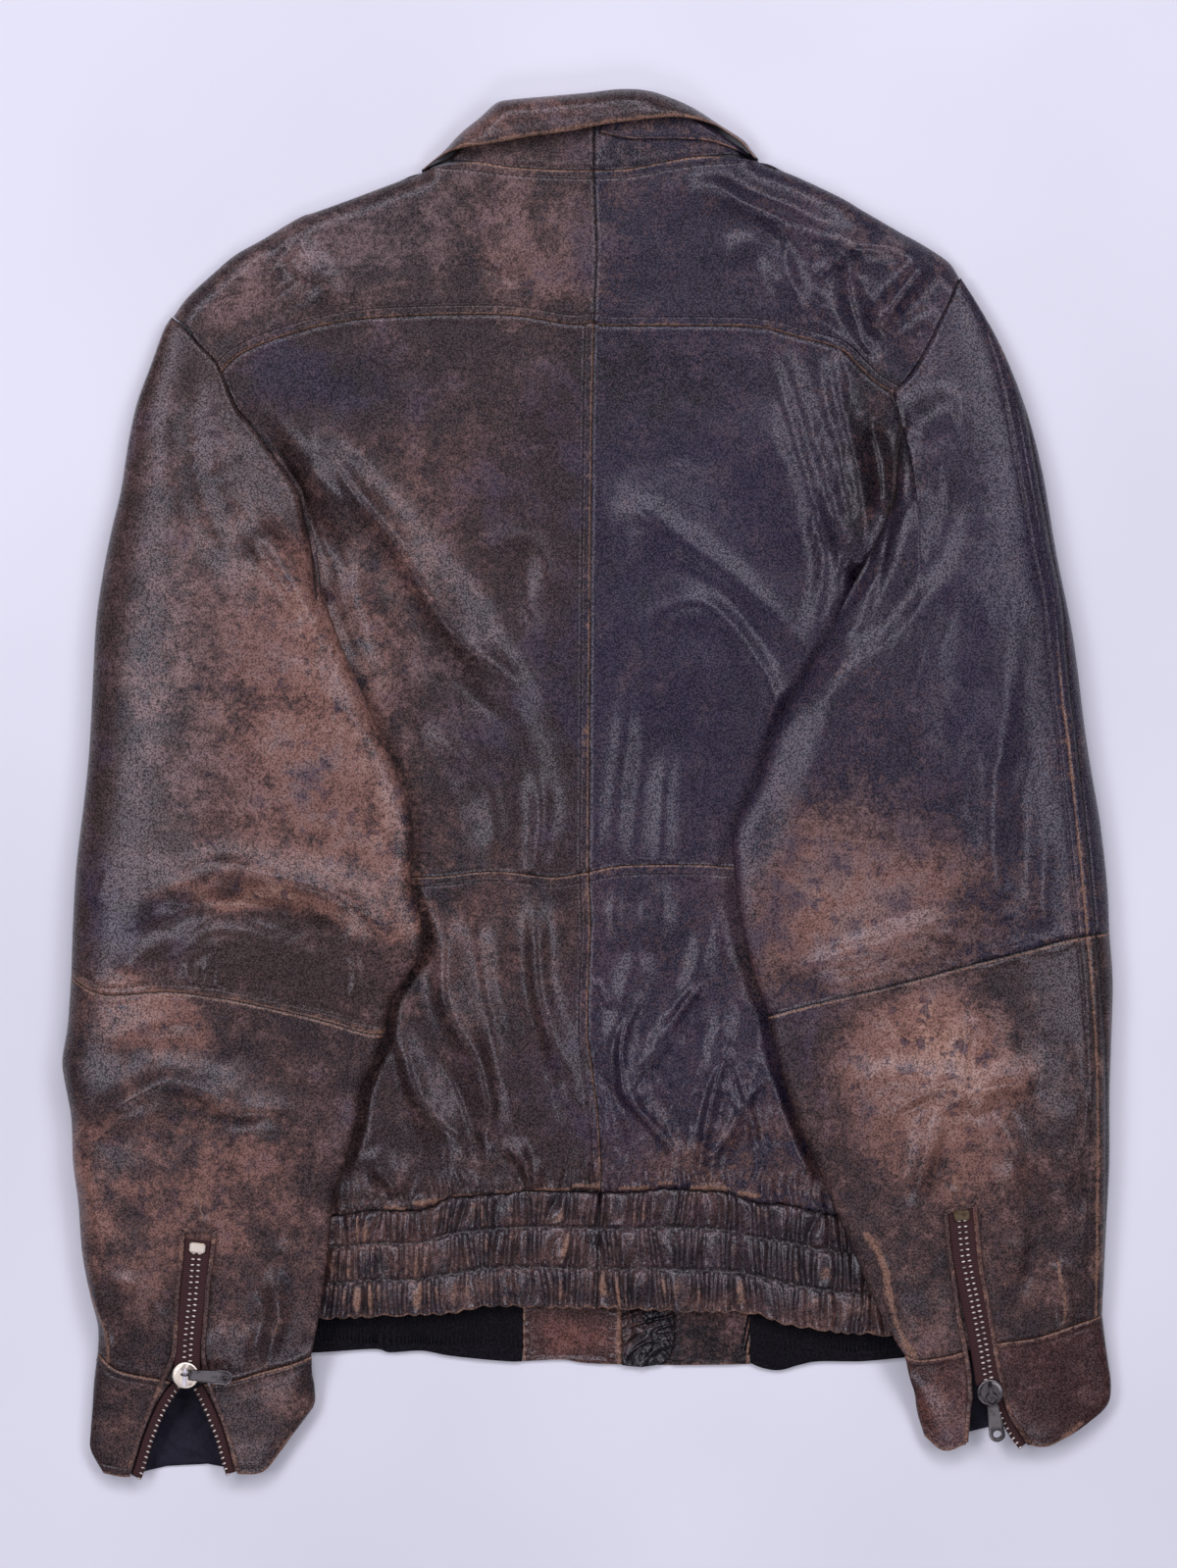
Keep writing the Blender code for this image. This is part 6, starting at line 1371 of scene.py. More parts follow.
def sleeves():
    """Upper and lower sleeves as flattened tubes, open at both ends."""
    tubes = (
        ("sleeve_upper_left", (ELBOW_LEFT, SLEEVE_HEAD_LEFT, SLEEVE_OUT_LEFT, SLEEVE_IN_LEFT),
         SLEEVE_CROWN, SLEEVE_FOLDS, "leather_rust"),
        ("sleeve_lower_left", FOREARMS["left"], FOREARM_CROWN, FOREARM_FOLDS, "leather_brown"),
        ("sleeve_upper_right", (ELBOW_RIGHT, SLEEVE_HEAD_RIGHT, SLEEVE_OUT_RIGHT, SLEEVE_IN_RIGHT),
         SLEEVE_CROWN, SLEEVE_FOLDS, "leather_blue_black"),
        ("sleeve_lower_right", FOREARMS["right"], FOREARM_CROWN, FOREARM_FOLDS, "leather_brown"),
    )
    for name, edges, crown, fold_lines, skin in tubes:
        side = name.split("_")[-1]
        upper = "upper" in name
        rises = shares(max(length_of(edges[2]), length_of(edges[3])), 5 if upper else 4, 4)
        width = np.linalg.norm(np.subtract(*along(edges[0], (0, 1))))
        seam = None
        if side == "right":
            seam_shares = np.array([
                share_across(edges, point, rise)
                for point, rise in zip(seam_points(edges, RIGHT_SEAM, rises), rises)
            ])
            seam = float(seam_shares.mean())
        turn = turns_round(width, seam)
        turn = follow_seam(turn, seam, seam_shares) if seam else np.broadcast_to(turn, (len(rises), len(turn)))
        across, up_on = (1 - np.cos(turn)) / 2, np.sin(turn)
        up_on = np.where(np.abs(up_on) < 1e-9, 0, up_on)
        flat = patch(*edges, across, rises[:, None])
        level = tube_levels(flat, across, up_on, rises[:, None], crown, fold_lines)
        height = FOLD_DEPTH * creases(flat, SLEEVE_CREASES) + wrinkles(flat, SLEEVE_WRINKLES) + rumple(flat, 5)
        on_top = up_on.clip(0)
        relief = Relief(flat, height * on_top)
        if upper:
            relief.lap(edges[0], 4.5, 0.6) if side == "left" else relief.valley(edges[0], 0.6)
            relief.valley(edges[1], 0.8)
        else:
            relief.valley(edges[1], 0.5)
            relief.rub(along(edges[1], np.linspace(0, 1, 60)) - (0, 1.4), 0.8, 0.8)
            relief.valley(edges[0], 0.7)
        if side == "right":
            before = relief.wear
            relief.lap(smooth(RIGHT_SEAM) - (5.2, 0), 5.2, 0.5)
            relief.valley(RIGHT_SEAM, 0.5)
            relief.wear = np.maximum(before, relief.wear * (0.3 + 0.7 * ease(80, 20, flat[..., 1])))
        for reach, amount, line in RUBBED:
            relief.rub(line, reach, amount)
        relief.wear = relief.wear * (on_top > 0) + 0.35 * (1 - np.abs(up_on)) ** 3
        level = np.where(up_on > 0, level + relief.height * on_top ** 0.3, level)
        if not upper:
            level = np.where(up_on > 0, press_for_zip(side, flat, level), level)
        net = np.dstack([flat, level])
        tube_piece(name, skin, edges, turn, rises, net, up_on, relief)


def seam_points(edges, line, rises):
    """The points of a line that runs down a sleeve, one for each of its rings."""
    sides = patch(*edges, np.array([[0.0, 1.0]]), rises[:, None])
    curve = smooth(line)
    order = np.argsort(curve[:, 1])
    found = []
    for outer, inner in sides:
        shares_here = np.linspace(0, 1, 200)[:, None]
        row = outer + shares_here * (inner - outer)
        x = np.interp(row[:, 1], curve[order, 1], curve[order, 0])
        found.append(row[np.abs(row[:, 0] - x).argmin()])
    return np.array(found)


def tube_piece(name, skin, edges, turn, rises, net, up_on, relief):
    """A sleeve's closed wall from its outer net."""
    out = tube_out(edges, turn, rises)[::SKIP, ::SKIP]
    inner = net[::SKIP, ::SKIP] - WALL * out
    wrapped = np.pad(net[..., 2], ((0, 0), (3, 3)), mode="wrap")
    low = lowest_near(wrapped)[:, 3:-3][::SKIP, ::SKIP] - WALL * out[..., 2]
    top = up_on[::SKIP, ::SKIP] > 0.02
    inner[..., 2] = np.where(top, np.minimum(inner[..., 2], low), inner[..., 2])
    marks = marks_of(net[..., :2], relief.wear, relief.painted_shade)
    piece = shell(f"{name}_leather", net, inner, marks, (skin, "lining"), around=True,
                  mirrored=bool(edges[0][0][0] > 0))
    remember(name, np.where(up_on[..., None] > 0, net, net - (0, 0, 80)))
    for line, width in relief.sewn:
        SEAMS.setdefault(name, []).append(beside(line, width, net.reshape(-1, 3)[:, :2].mean(0)))
    dress(piece, name)


def cuffs():
    """Bands that wrap the sleeve ends, open on their upper side along the zip. Gives back each band's net."""
    nets = {}
    for side, edges, slit in (("left", CUFF_LEFT, SLIT_LEFT), ("right", CUFF_RIGHT, SLIT_RIGHT[::-1])):
        rises = shares(length_of(edges[3]), 5, 4, step=COLLAR_STEP)
        rises[0] = 0
        first = [share_across(edges, point, rise) for point, rise in zip(along(slit[0], rises), rises)]
        last = [share_across(edges, point, rise) for point, rise in zip(along(slit[1], rises), rises)]
        start = np.arccos(1 - 2 * np.array(first))
        stop = 2 * math.pi - np.arccos(1 - 2 * np.array(last))
        count = CUFF_TOP_COLUMNS
        over_first = np.linspace(start, 0 * start, count, axis=1)
        under = np.broadcast_to(-np.linspace(0, math.pi, CUFF_UNDER_COLUMNS)[1:-1], (len(rises), CUFF_UNDER_COLUMNS - 2))
        over_last = -np.linspace(math.pi + 0 * stop, stop, count, axis=1)
        turn = np.concatenate([over_first, under, over_last], axis=1)
        across, up_on = (1 - np.cos(turn)) / 2, np.sin(turn)
        flat = patch(*edges, across, rises[:, None])
        if side == "right":
            to_notch = np.exp(-(((flat[0, :, 0] - NOTCH_RIGHT[0]) / NOTCH_REACH) ** 2)) * (up_on[0] < -1e-9)
            drop = to_notch * (1 - rises[:, None]) ** 1.5 * (NOTCH_RIGHT[1] - CUFF_HEM_RIGHT[4][1])
            flat[..., 1] += drop
        level = tube_levels(flat, across, up_on, rises[:, None], CUFF_CROWN)
        on_top = up_on.clip(0)
        relief = Relief(flat, 0.7 * (wrinkles(flat, SLEEVE_WRINKLES) + rumple(flat, 7)) * on_top)
        relief.lap(edges[1], 3.5, 0.7)
        relief.lap(edges[0], 5.0, 0.4)
        relief.rub(edges[0], 2.0, 0.8)
        relief.wear = relief.wear * (on_top > 0)
        level = np.where(up_on > 0, level + relief.height * on_top ** 0.3, level)
        level = np.where(up_on > 0, press_for_zip(side, flat, level), level)
        net = np.dstack([flat, np.maximum(level, 0.0)])
        out = tube_out(edges, turn, rises)
        out[:, [0, -1]] = (0, 0, 1)
        inner = (net - WALL * out)[::SKIP, ::SKIP]
        low = lowest_near(net[..., 2])[::SKIP, ::SKIP] - WALL
        top = up_on[::SKIP, ::SKIP] > 0.02
        inner[..., 2] = np.where(top, np.minimum(inner[..., 2], low), np.maximum(inner[..., 2], WALL))
        skin, slot = ("leather_red_brown", "leather_rust") if side == "right" else ("leather_brown", "leather_brown")
        marks = marks_of(flat, relief.wear, relief.painted_shade)
        piece = shell(f"cuff_{side}_leather", net, inner, marks, (skin, "lining"), mirrored=side == "left")
        remember(f"cuff_{side}", np.where(up_on[..., None] > 0, net, net - (0, 0, 80)))
        for line, width in relief.sewn:
            SEAMS.setdefault(f"cuff_{side}", []).append(beside(line, width, flat.reshape(-1, 2).mean(0)))
        dress(piece, f"cuff_{side}")
        nets[side] = net
    return nets


def from_node(name, slot, bevel, suffix):
    """A finer copy of a flat solid: merged, with its rims rounded, and cut into small faces."""
    bm = bmesh.new()
    bm.from_mesh(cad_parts[name].data)
    bmesh.ops.remove_doubles(bm, verts=bm.verts, dist=0.00002)
    bmesh.ops.dissolve_limit(bm, angle_limit=0.02, verts=bm.verts, edges=bm.edges)
    rims = [edge for edge in bm.edges if edge.calc_face_angle(0) > 0.7 and abs(edge.verts[0].co.z - edge.verts[1].co.z) < 0.0002]
    bmesh.ops.bevel(bm, geom=rims, offset=bevel * MM, segments=2, affect="EDGES", clamp_overlap=True)
    bmesh.ops.triangulate(bm, faces=bm.faces)
    mesh = bpy.data.meshes.new(name)
    bm.to_mesh(mesh)
    bm.free()
    mesh.shade_smooth()
    mesh.set_sharp_from_angle(angle=math.radians(50))
    mesh.materials.append(MATERIALS[slot])
    piece = bpy.data.objects.new(f"{name}_{suffix}", mesh)
    bpy.context.scene.collection.objects.link(piece)
    return dress(piece, name)


def fronts():
    """The two fronts that the jacket lies on."""
    for side in ("left", "right"):
        piece = from_node(f"front_{side}", "leather_brown", 0.7, "leather")


def hem_band():
    """The front's hem band: rib knit at both sides, leather tabs, and the rounded end of the zip guard."""
    pieces = (
        ("knit_band_left", KNIT_FOOT_LEFT, "rib_knit"),
        ("band_tab_brown", (*TAB_BROWN_FOOT[:-1], (24, -329)), "leather_rust"),
        ("band_tab_dark", ((35, -329.3), *TAB_DARK_FOOT[1:]), "leather_grey_brown"),
        ("knit_band_right", KNIT_FOOT_RIGHT, "rib_knit"),
    )
    for name, foot, slot in pieces:
        ends = along(foot, (0, 1))
        top = np.array([(ends[0, 0], FRONT_HEM - SEAM_GAP), (ends[1, 0], FRONT_HEM - SEAM_GAP)])
        edges = (foot, top, np.array([ends[0], top[0]]), np.array([ends[1], top[1]]))

        def on_knit(flat, u, v):
            relief = Relief(flat, 0.5 * rumple(flat, 11) - 0.4)
            relief.wear *= 0
            return relief

        def on_tab(flat, u, v):
            x, y = flat[..., 0], flat[..., 1]
            start, stop = (49.6, 92.0) if ends[0, 0] > 0 else (ends[0, 0], 19.0)
            side_gap = np.minimum(x - start, stop - x).clip(0)
            pleats = np.sin(2 * math.pi * (y / 4.6 + 0.8 * noise(x / 14, y / 9, 61)))
            height = 0.5 * pleats * np.exp(-side_gap / 8) + 0.6 * rumple(flat, 12) - 0.3
            height += 0.7 * ease(0, 5, side_gap) * ease(0, 4, np.abs(y - ends[0, 1])) - 0.7
            under_guard = np.maximum(ease(0, 1.6, x - stop), ease(0, 1.6, start - x))
            relief = Relief(flat, height * (1 - under_guard) - 1.9 * under_guard)
            for width in (4.0, 6.4) if stop < 20 else ():
                line = np.array([(stop, -330.0), (stop, -262.0)])
                relief.height -= 0.45 * np.exp(-(((to_line(flat, line)[0] - width) / 0.9) ** 2))
                relief.sewn.append((line, width))
            relief.sewn.append((np.array([(start, -330.0), (start, -262.0)]), 3.6))
            relief.rub(foot, 1.4, 0.6)
            relief.rub(np.array([(stop - 0.6, -330.0), (stop - 0.6, -262.0)]), 1.9, 1.0)
            if stop < 20:
                relief.rub(np.array([(start + 0.6, -330.0), (start + 0.6, -262.0)]), 1.6, 0.8)
            return relief

        decorate = on_knit if slot == "rib_knit" else on_tab
        panel(name, slot, edges, ((3, 3), (3, 0)), lambda flat: np.full(flat.shape[:-1], KNIT), decorate,
              rest=0.0, step=BAND_STEP)
    ribs()
    guard_edges = (
        ((19.9, -329), (30, -330), (41, -328.4), (47, -324.5)),
        np.array([(FRONT_CLOSURE, GUARD_TOP), (GUARD_EDGE, GUARD_TOP)], float),
        np.array([(19.9, -329), (FRONT_CLOSURE, GUARD_TOP)]),
        np.array([(47, -324.5), (GUARD_EDGE, -314), (GUARD_EDGE, GUARD_TOP)]),
    )

    def guard_level(flat):
        return REST_ON_FRONT * ease(FRONT_HEM - 20, FRONT_HEM - 6, flat[..., 1]) + LEATHER

    def on_guard(flat, u, v):
        y = flat[..., 1]
        shows = ease(-20, 0, FRONT_HEM + 24 - y)
        fine = wrinkles(flat, GUARD_WRINKLES) + 0.25 * rumple(flat * 3, 13)
        relief = Relief(flat, shows * (1.6 * fine + 1.7) - 0.2)
        relief.wear *= 0
        relief.painted_shade *= 0
        return relief

    net = panel("front_guard", "leather_black", guard_edges, ((2, 2), (60, 0)), guard_level, on_guard,
                rest=0.0, step=GUARD_STEP)
    return net


def mesh_of(piece):
    """A piece's evaluated shape as a plain mesh, in place of its modifiers."""
    bpy.context.view_layer.update()
    mesh = bpy.data.meshes.new_from_object(piece.evaluated_get(bpy.context.evaluated_depsgraph_get()))
    piece.modifiers.clear()
    made = bpy.data.objects.new(piece.name, mesh)
    name = piece.name
    bpy.data.objects.remove(piece)
    made.name = name
    bpy.context.scene.collection.objects.link(made)
    return made


def guide(name, runs):
    """A curve object with one straight-sectioned spline for each run of points in millimetres."""
    curve = bpy.data.curves.new(name, "CURVE")
    curve.dimensions = "3D"
    for run in runs:
        if len(run) < 2:
            continue
        spline = curve.splines.new("POLY")
        spline.points.add(len(run) - 1)
        for point, place in zip(spline.points, run):
            point.co = (*(np.array(place) * MM), 1)
    piece = bpy.data.objects.new(name, curve)
    bpy.context.scene.collection.objects.link(piece)
    return piece


def strew(name, runs, skin, pitch, size, shape="grain"):
    """Small repeated shapes along runs of points, made by a node tree with its sizes as named inputs."""
    tree = bpy.data.node_groups.new(name, "GeometryNodeTree")
    sockets = {}
    tree.interface.new_socket("Geometry", in_out="INPUT", socket_type="NodeSocketGeometry")
    for label, value in (("Pitch", pitch), ("Length", size[0]), ("Width", size[1]), ("Height", size[2])):
        socket = tree.interface.new_socket(label, in_out="INPUT", socket_type="NodeSocketFloat")
        socket.default_value = value * MM
        sockets[label] = (socket.identifier, value * MM)
    tree.interface.new_socket("Geometry", in_out="OUTPUT", socket_type="NodeSocketGeometry")
    nodes = Tree(tree)
    given = nodes.node("NodeGroupInput")
    points = nodes.node("GeometryNodeCurveToPoints", {"mode": "LENGTH"},
                        {"Curve": given["Geometry"], "Length": given["Pitch"]})
    turned = nodes.add("FunctionNodeAxesToRotation", {"primary_axis": "X", "secondary_axis": "Z"},
                       {0: points["Tangent"], 1: (0, 0, 1)}, "Rotation")
    scale = nodes.add("ShaderNodeCombineXYZ", {}, {0: given["Length"], 1: given["Width"], 2: given["Height"]},
                      "Vector")
    if shape == "grain":
        seed = nodes.add("GeometryNodeMeshUVSphere", {}, {"Segments": 6, "Rings": 4, "Radius": 0.5}, "Mesh")
    else:
        seed = nodes.add("GeometryNodeMeshCube", {}, {"Size": (1, 1, 1)}, "Mesh")
    laid = nodes.add("GeometryNodeInstanceOnPoints", {},
                     {"Points": points["Points"], "Instance": seed, "Rotation": turned, "Scale": scale},
                     "Instances")
    real = nodes.add("GeometryNodeRealizeInstances", {}, {"Geometry": laid}, "Geometry")
    done = nodes.add("GeometryNodeSetMaterial", {}, {"Geometry": real, "Material": MATERIALS[skin]}, "Geometry")
    nodes.node("NodeGroupOutput", {}, {"Geometry": done})
    piece = guide(name, runs)
    modifier = piece.modifiers.new("strew", "NODES")
    modifier.node_group = tree
    for identifier, value in sockets.values():
        modifier[identifier] = value
    made = mesh_of(piece)
    if shape == "grain":
        made.data.shade_smooth()
    return made


def ribs():
    """Raised ribs of the knit bands, from the hem up to the seam with the front."""
    for side, foot in (("left", KNIT_FOOT_LEFT), ("right", KNIT_FOOT_RIGHT)):
        low = along(foot, np.linspace(0.004, 0.996, 60))
        middle = (low[:, 1] + FRONT_HEM) / 2
        run = np.column_stack([low[:, 0], middle, np.full(60, KNIT - 0.55)])
        length = float(np.abs(FRONT_HEM - low[:, 1]).mean()) - 1.0
        piece = strew(f"knit_ribs_{side}", [run], "rib_knit", RIB_PITCH, (1.7, length, 1.5))
        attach(piece, "jacket")


def armhole_tapes():
    """The seam allowance below each armhole, which closes the slit between body and sleeve."""
    armholes = {"left": (ARMHOLE_LEFT, YOKE_HEAD_LEFT), "right": (ARMHOLE_RIGHT, YOKE_HEAD_RIGHT[:-1])}
    for side, (low, head) in armholes.items():
        route = along(np.array([*low[:-1], *head], float), np.linspace(0.02, 0.995, 60))
        laid = settle(route, [f"back_upper_{side}", f"back_yoke_{side}", f"sleeve_upper_{side}"], -1.6)
        ribbon(f"armhole_tape_{side}", laid[:, :2], 2.6, soften(laid[:, 2], 4), 0.5, "leather_dull")


def sew():
    """The stitches of every topstitched seam."""
    runs = []
    for name, lines in SEAMS.items():
        for line in lines:
            fine = along(np.asarray(line, float), np.linspace(0.004, 0.996, max(8, int(lengths(line)[-1] / 2))))
            if name.startswith("back"):
                fine = fine[covered(fine) < 0.5]
            laid = settle(fine, (name,), 0.12)
            laid = laid[laid[:, 2] > -10]
            if len(laid) > 1:
                breaks = np.where(np.linalg.norm(np.diff(laid, axis=0), axis=1) > 9)[0] + 1
                runs += [run for run in np.split(laid, breaks) if len(run) > 1]
    piece = strew("seam_stitches", runs, "thread", STITCH_PITCH, STITCH_SIZE)
    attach(piece, "jacket")


def ribbon(name, line, half_width, levels, thickness, skin, node=None, columns=8, mark=None):
    """A flat strip of cloth or leather along a line, as a closed thin wall with rounded edges."""
    tangent = unit(np.gradient(line[:, :2], axis=0))
    side = np.stack([tangent[:, 1], -tangent[:, 0]], axis=-1)
    shares_across = np.linspace(-1, 1, columns + 1)
    flat = line[:, None, :2] + shares_across[None, :, None] * half_width * side[:, None]
    crown = thickness * quarter((1 - np.abs(shares_across)) * 3)[None]
    top = np.dstack([flat, levels[:, None] + np.maximum(crown, 0.25)])
    low = np.dstack([flat, np.repeat(levels[:, None], columns + 1, axis=1)])
    count = top[..., 0].size
    at = np.arange(count).reshape(top.shape[:2])
    quads = [grid_quads(at), grid_quads(at + count)[:, ::-1]]
    loop = np.concatenate([at[0], at[1:, -1], at[-1, -2::-1], at[-2:0:-1, 0]])
    after = np.roll(loop, -1)
    quads.append(np.stack([after, loop, loop + count, after + count], axis=-1))
    points = np.concatenate([top.reshape(-1, 3), low.reshape(-1, 3)])
    quads = np.concatenate(quads)
    a, b, c = (points[quads[0, k]] for k in (0, 1, 3))
    if np.cross(b - a, c - a)[2] < 0:
        quads = quads[:, ::-1]
    values = {mark: np.zeros(len(points))} if mark else None
    piece = mesh_piece(name, points, quads, np.zeros((0, 3), int), (skin,), None, values)
    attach(piece, "jacket")
    if node:
        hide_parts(node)
    return piece, top


def welt(name, line, skin):
    """A narrow raised leather edge along a line in space, with a rounded top."""
    levels = line[:, 2]
    piece, _ = ribbon(name, line[:, :2], WELT_HALF_WIDTH, levels - 0.9, 0.9 + WELT_HEIGHT, skin, columns=8)
    return piece


def zips(cuff_nets):
    """Each zip: its tape, the leather edges that frame it, teeth, top stop, slider and pull."""
    frames = {
        "left": (LEFT_EDGE_LEFT, LEFT_EDGE_RIGHT, "leather_grey_brown", "leather_brown"),
        "right": (RIGHT_EDGE_LEFT, RIGHT_EDGE_RIGHT, "leather_brown", "leather_rust"),
    }
    for side, (edge_left, edge_right, skin_left, skin_right) in frames.items():
        run, levels = TAPE_RUNS[side]
        shares_on = np.linspace(0, 1, 60)
        fine = along(run, shares_on)
        at = lengths(run) / lengths(run)[-1]
        tape_levels = np.interp(shares_on, at, levels)
        piece, top = ribbon(f"zip_tape_{side}_cloth", fine, TAPE_HALF_WIDTH, tape_levels, TAPE, "zip_tape",
                            f"zip_tape_{side}", 12)
        grounds = (f"sleeve_lower_{side}", f"cuff_{side}")
        over = ((edge_left, skin_left, "left"), (edge_right, skin_right, "right"))
        for line, skin, end in over:
            placed_line = settle(along(line, np.linspace(0, 1, 110)), grounds)
            placed_line = placed_line[placed_line[:, 2] > -10]
            gap, share = to_line(placed_line[:, :2], run)
            tape = np.interp(share, at, levels) + TAPE
            beside_tape = placed_line[:, 1] > run[0, 1] - 2
            placed_line[:, 2] = np.where(beside_tape, np.maximum(placed_line[:, 2], tape - 0.2), placed_line[:, 2])
            placed_line[:, 2] = soften(placed_line[:, 2])
            welt(f"zip_edge_{side}_{end}", placed_line, f"{skin}_plain")
        top_line = np.array([edge_left[-1], edge_right[-1]])
        top_line = along(top_line, np.linspace(-0.08, 1.08, 12).clip(0, 1))
        placed_line = settle(top_line, grounds)
        placed_line[:, 2] = np.maximum(placed_line[:, 2], levels[-1] + TAPE - 0.2)
        welt(f"zip_edge_{side}_top", placed_line, f"{skin_left}_plain")
        closed_teeth(side, run, at, levels)
        stop_and_slider(side)
    open_flaps(cuff_nets)


def soften(values, reach=6):
    """A row of values smoothed over a few neighbours."""
    kernel = np.hanning(2 * reach + 3)[1:-1]
    return np.convolve(np.pad(values, reach, mode="edge"), kernel / kernel.sum(), mode="valid")


def closed_teeth(side, run, at, levels):
    """Two rows of meshed teeth from the stop down to the slider."""
    stop, slider = (STOP_LEFT, SLIDER_LEFT) if side == "left" else (STOP_RIGHT, SLIDER_RIGHT)
    low = to_line(np.array([slider]), run)[1][0]
    high = to_line(np.array([stop]), run)[1][0]
    shares_on = np.linspace(low, high, 80)
    line = along(run, shares_on)
    z = np.interp(shares_on, at, levels) + TAPE + 0.5
    tangent = unit(np.gradient(line, axis=0))
    across = np.stack([tangent[:, 1], -tangent[:, 0]], axis=-1)
    rows = []
    for sign in (-1, 1):
        row = np.column_stack([line + sign * 1.7 * across, z])
        start = 0.0 if sign > 0 else TOOTH_PITCH / 2 / (lengths(line)[-1])
        keep = lengths(line) / lengths(line)[-1] >= start
        rows.append(row[keep])
    piece = strew(f"zip_teeth_{side}", rows, "tooth_metal", TOOTH_PITCH, (1.5, 3.2, 1.5), "grain")
    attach(piece, "jacket")


def open_flaps(cuff_nets):
    """The open length of tape beside each slit, with a row of teeth along its free edge."""
    flaps = (
        ("zip_flap_left_outer", "left", 0, 1), ("zip_flap_left_inner", "left", -1, -1),
        ("zip_flap_right_outer", "right", 0, -1),
    )
    for name, side, column, sign in flaps:
        edge = cuff_nets[side][:, column]
        run = lengths(edge[:, :2])
        reach = min(run[-1], FLAP_LENGTH)
        at = np.linspace(1.5, reach, 40)
        line = np.stack([np.interp(at, run, edge[:, k]) for k in range(3)], axis=-1)
        line[:, 2] = soften(line[:, 2])
        tangent = unit(np.gradient(line[:, :2], axis=0))
        into = np.stack([tangent[:, 1], -tangent[:, 0]], axis=-1) * sign
        middle = line[:, :2] + into * (SLIDER_SEAT + FLAP_WIDTH / 2)
        levels = line[:, 2] - LEATHER - 0.4
        piece, top = ribbon(f"{name}_cloth", middle, FLAP_WIDTH / 2, levels, TAPE, "zip_tape", name, 8)
        width, length, area = cut(top)
        free = np.column_stack([line[:, :2] + into * (FLAP_WIDTH - 0.6), levels + TAPE + 0.35])
        teeth = strew(f"{name}_teeth", [free], "tooth_metal", TOOTH_PITCH, (1.5, 3.0, 1.5), "grain")
        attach(teeth, "jacket")


def hard_piece(name, bm, skin, body, place, node=None, auto=40):
    """A hard piece from a bmesh in millimetres, placed in the jacket."""
    bmesh.ops.transform(bm, matrix=Matrix.Scale(MM, 4) @ place, verts=bm.verts)
    bmesh.ops.recalc_face_normals(bm, faces=bm.faces)
    mesh = bpy.data.meshes.new(name)
    bm.to_mesh(mesh)
    bm.free()
    mesh.shade_smooth()
    mesh.set_sharp_from_angle(angle=math.radians(auto))
    mesh.materials.append(MATERIALS[skin])
    piece = bpy.data.objects.new(name, mesh)
    bpy.context.scene.collection.objects.link(piece)
    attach(piece, body)
    if node:
        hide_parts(node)
    return piece


def plate(size, middle, bevel, segments=2):
    """A bevelled block in millimetres."""
    bm = bmesh.new()
    bmesh.ops.create_cube(bm, size=1)
    bmesh.ops.scale(bm, vec=size, verts=bm.verts)
    bmesh.ops.translate(bm, vec=middle, verts=bm.verts)
    bmesh.ops.bevel(bm, geom=bm.edges[:], offset=bevel, segments=segments, affect="EDGES")
    return bm


def lathe(profile, sides=40):
    """A turned shape from (radius, height) pairs in millimetres, closed at its middle."""
    bm = bmesh.new()
    rings = []
    for radius, height in profile:
        if radius == 0:
            rings.append([bm.verts.new((0, 0, height))])
        else:
            turns = np.linspace(0, 2 * math.pi, sides, endpoint=False)
            rings.append([bm.verts.new((radius * math.cos(t), radius * math.sin(t), height)) for t in turns])
    for a, b in zip(rings, rings[1:]):
        for k in range(sides):
            m = (k + 1) % sides
            corners = [a[k % len(a)], a[m % len(a)], b[m % len(b)], b[k % len(b)]]
            bm.faces.new(list(dict.fromkeys(corners)))
    return bm


def loop_of_wire(major, wire, sides=28, around=10):
    """A ring of wire in its own x and y."""
    bm = bmesh.new()
    rings = []
    for t in np.linspace(0, 2 * math.pi, sides, endpoint=False):
        ring = []
        for s in np.linspace(0, 2 * math.pi, around, endpoint=False):
            reach = major + wire * math.cos(s)
            ring.append(bm.verts.new((reach * math.cos(t), reach * math.sin(t), wire * math.sin(s))))
        rings.append(ring)
    for k in range(sides):
        a, b = rings[k], rings[(k + 1) % sides]
        for m in range(around):
            n = (m + 1) % around
            bm.faces.new([a[m], b[m], b[n], a[n]])
    return bm


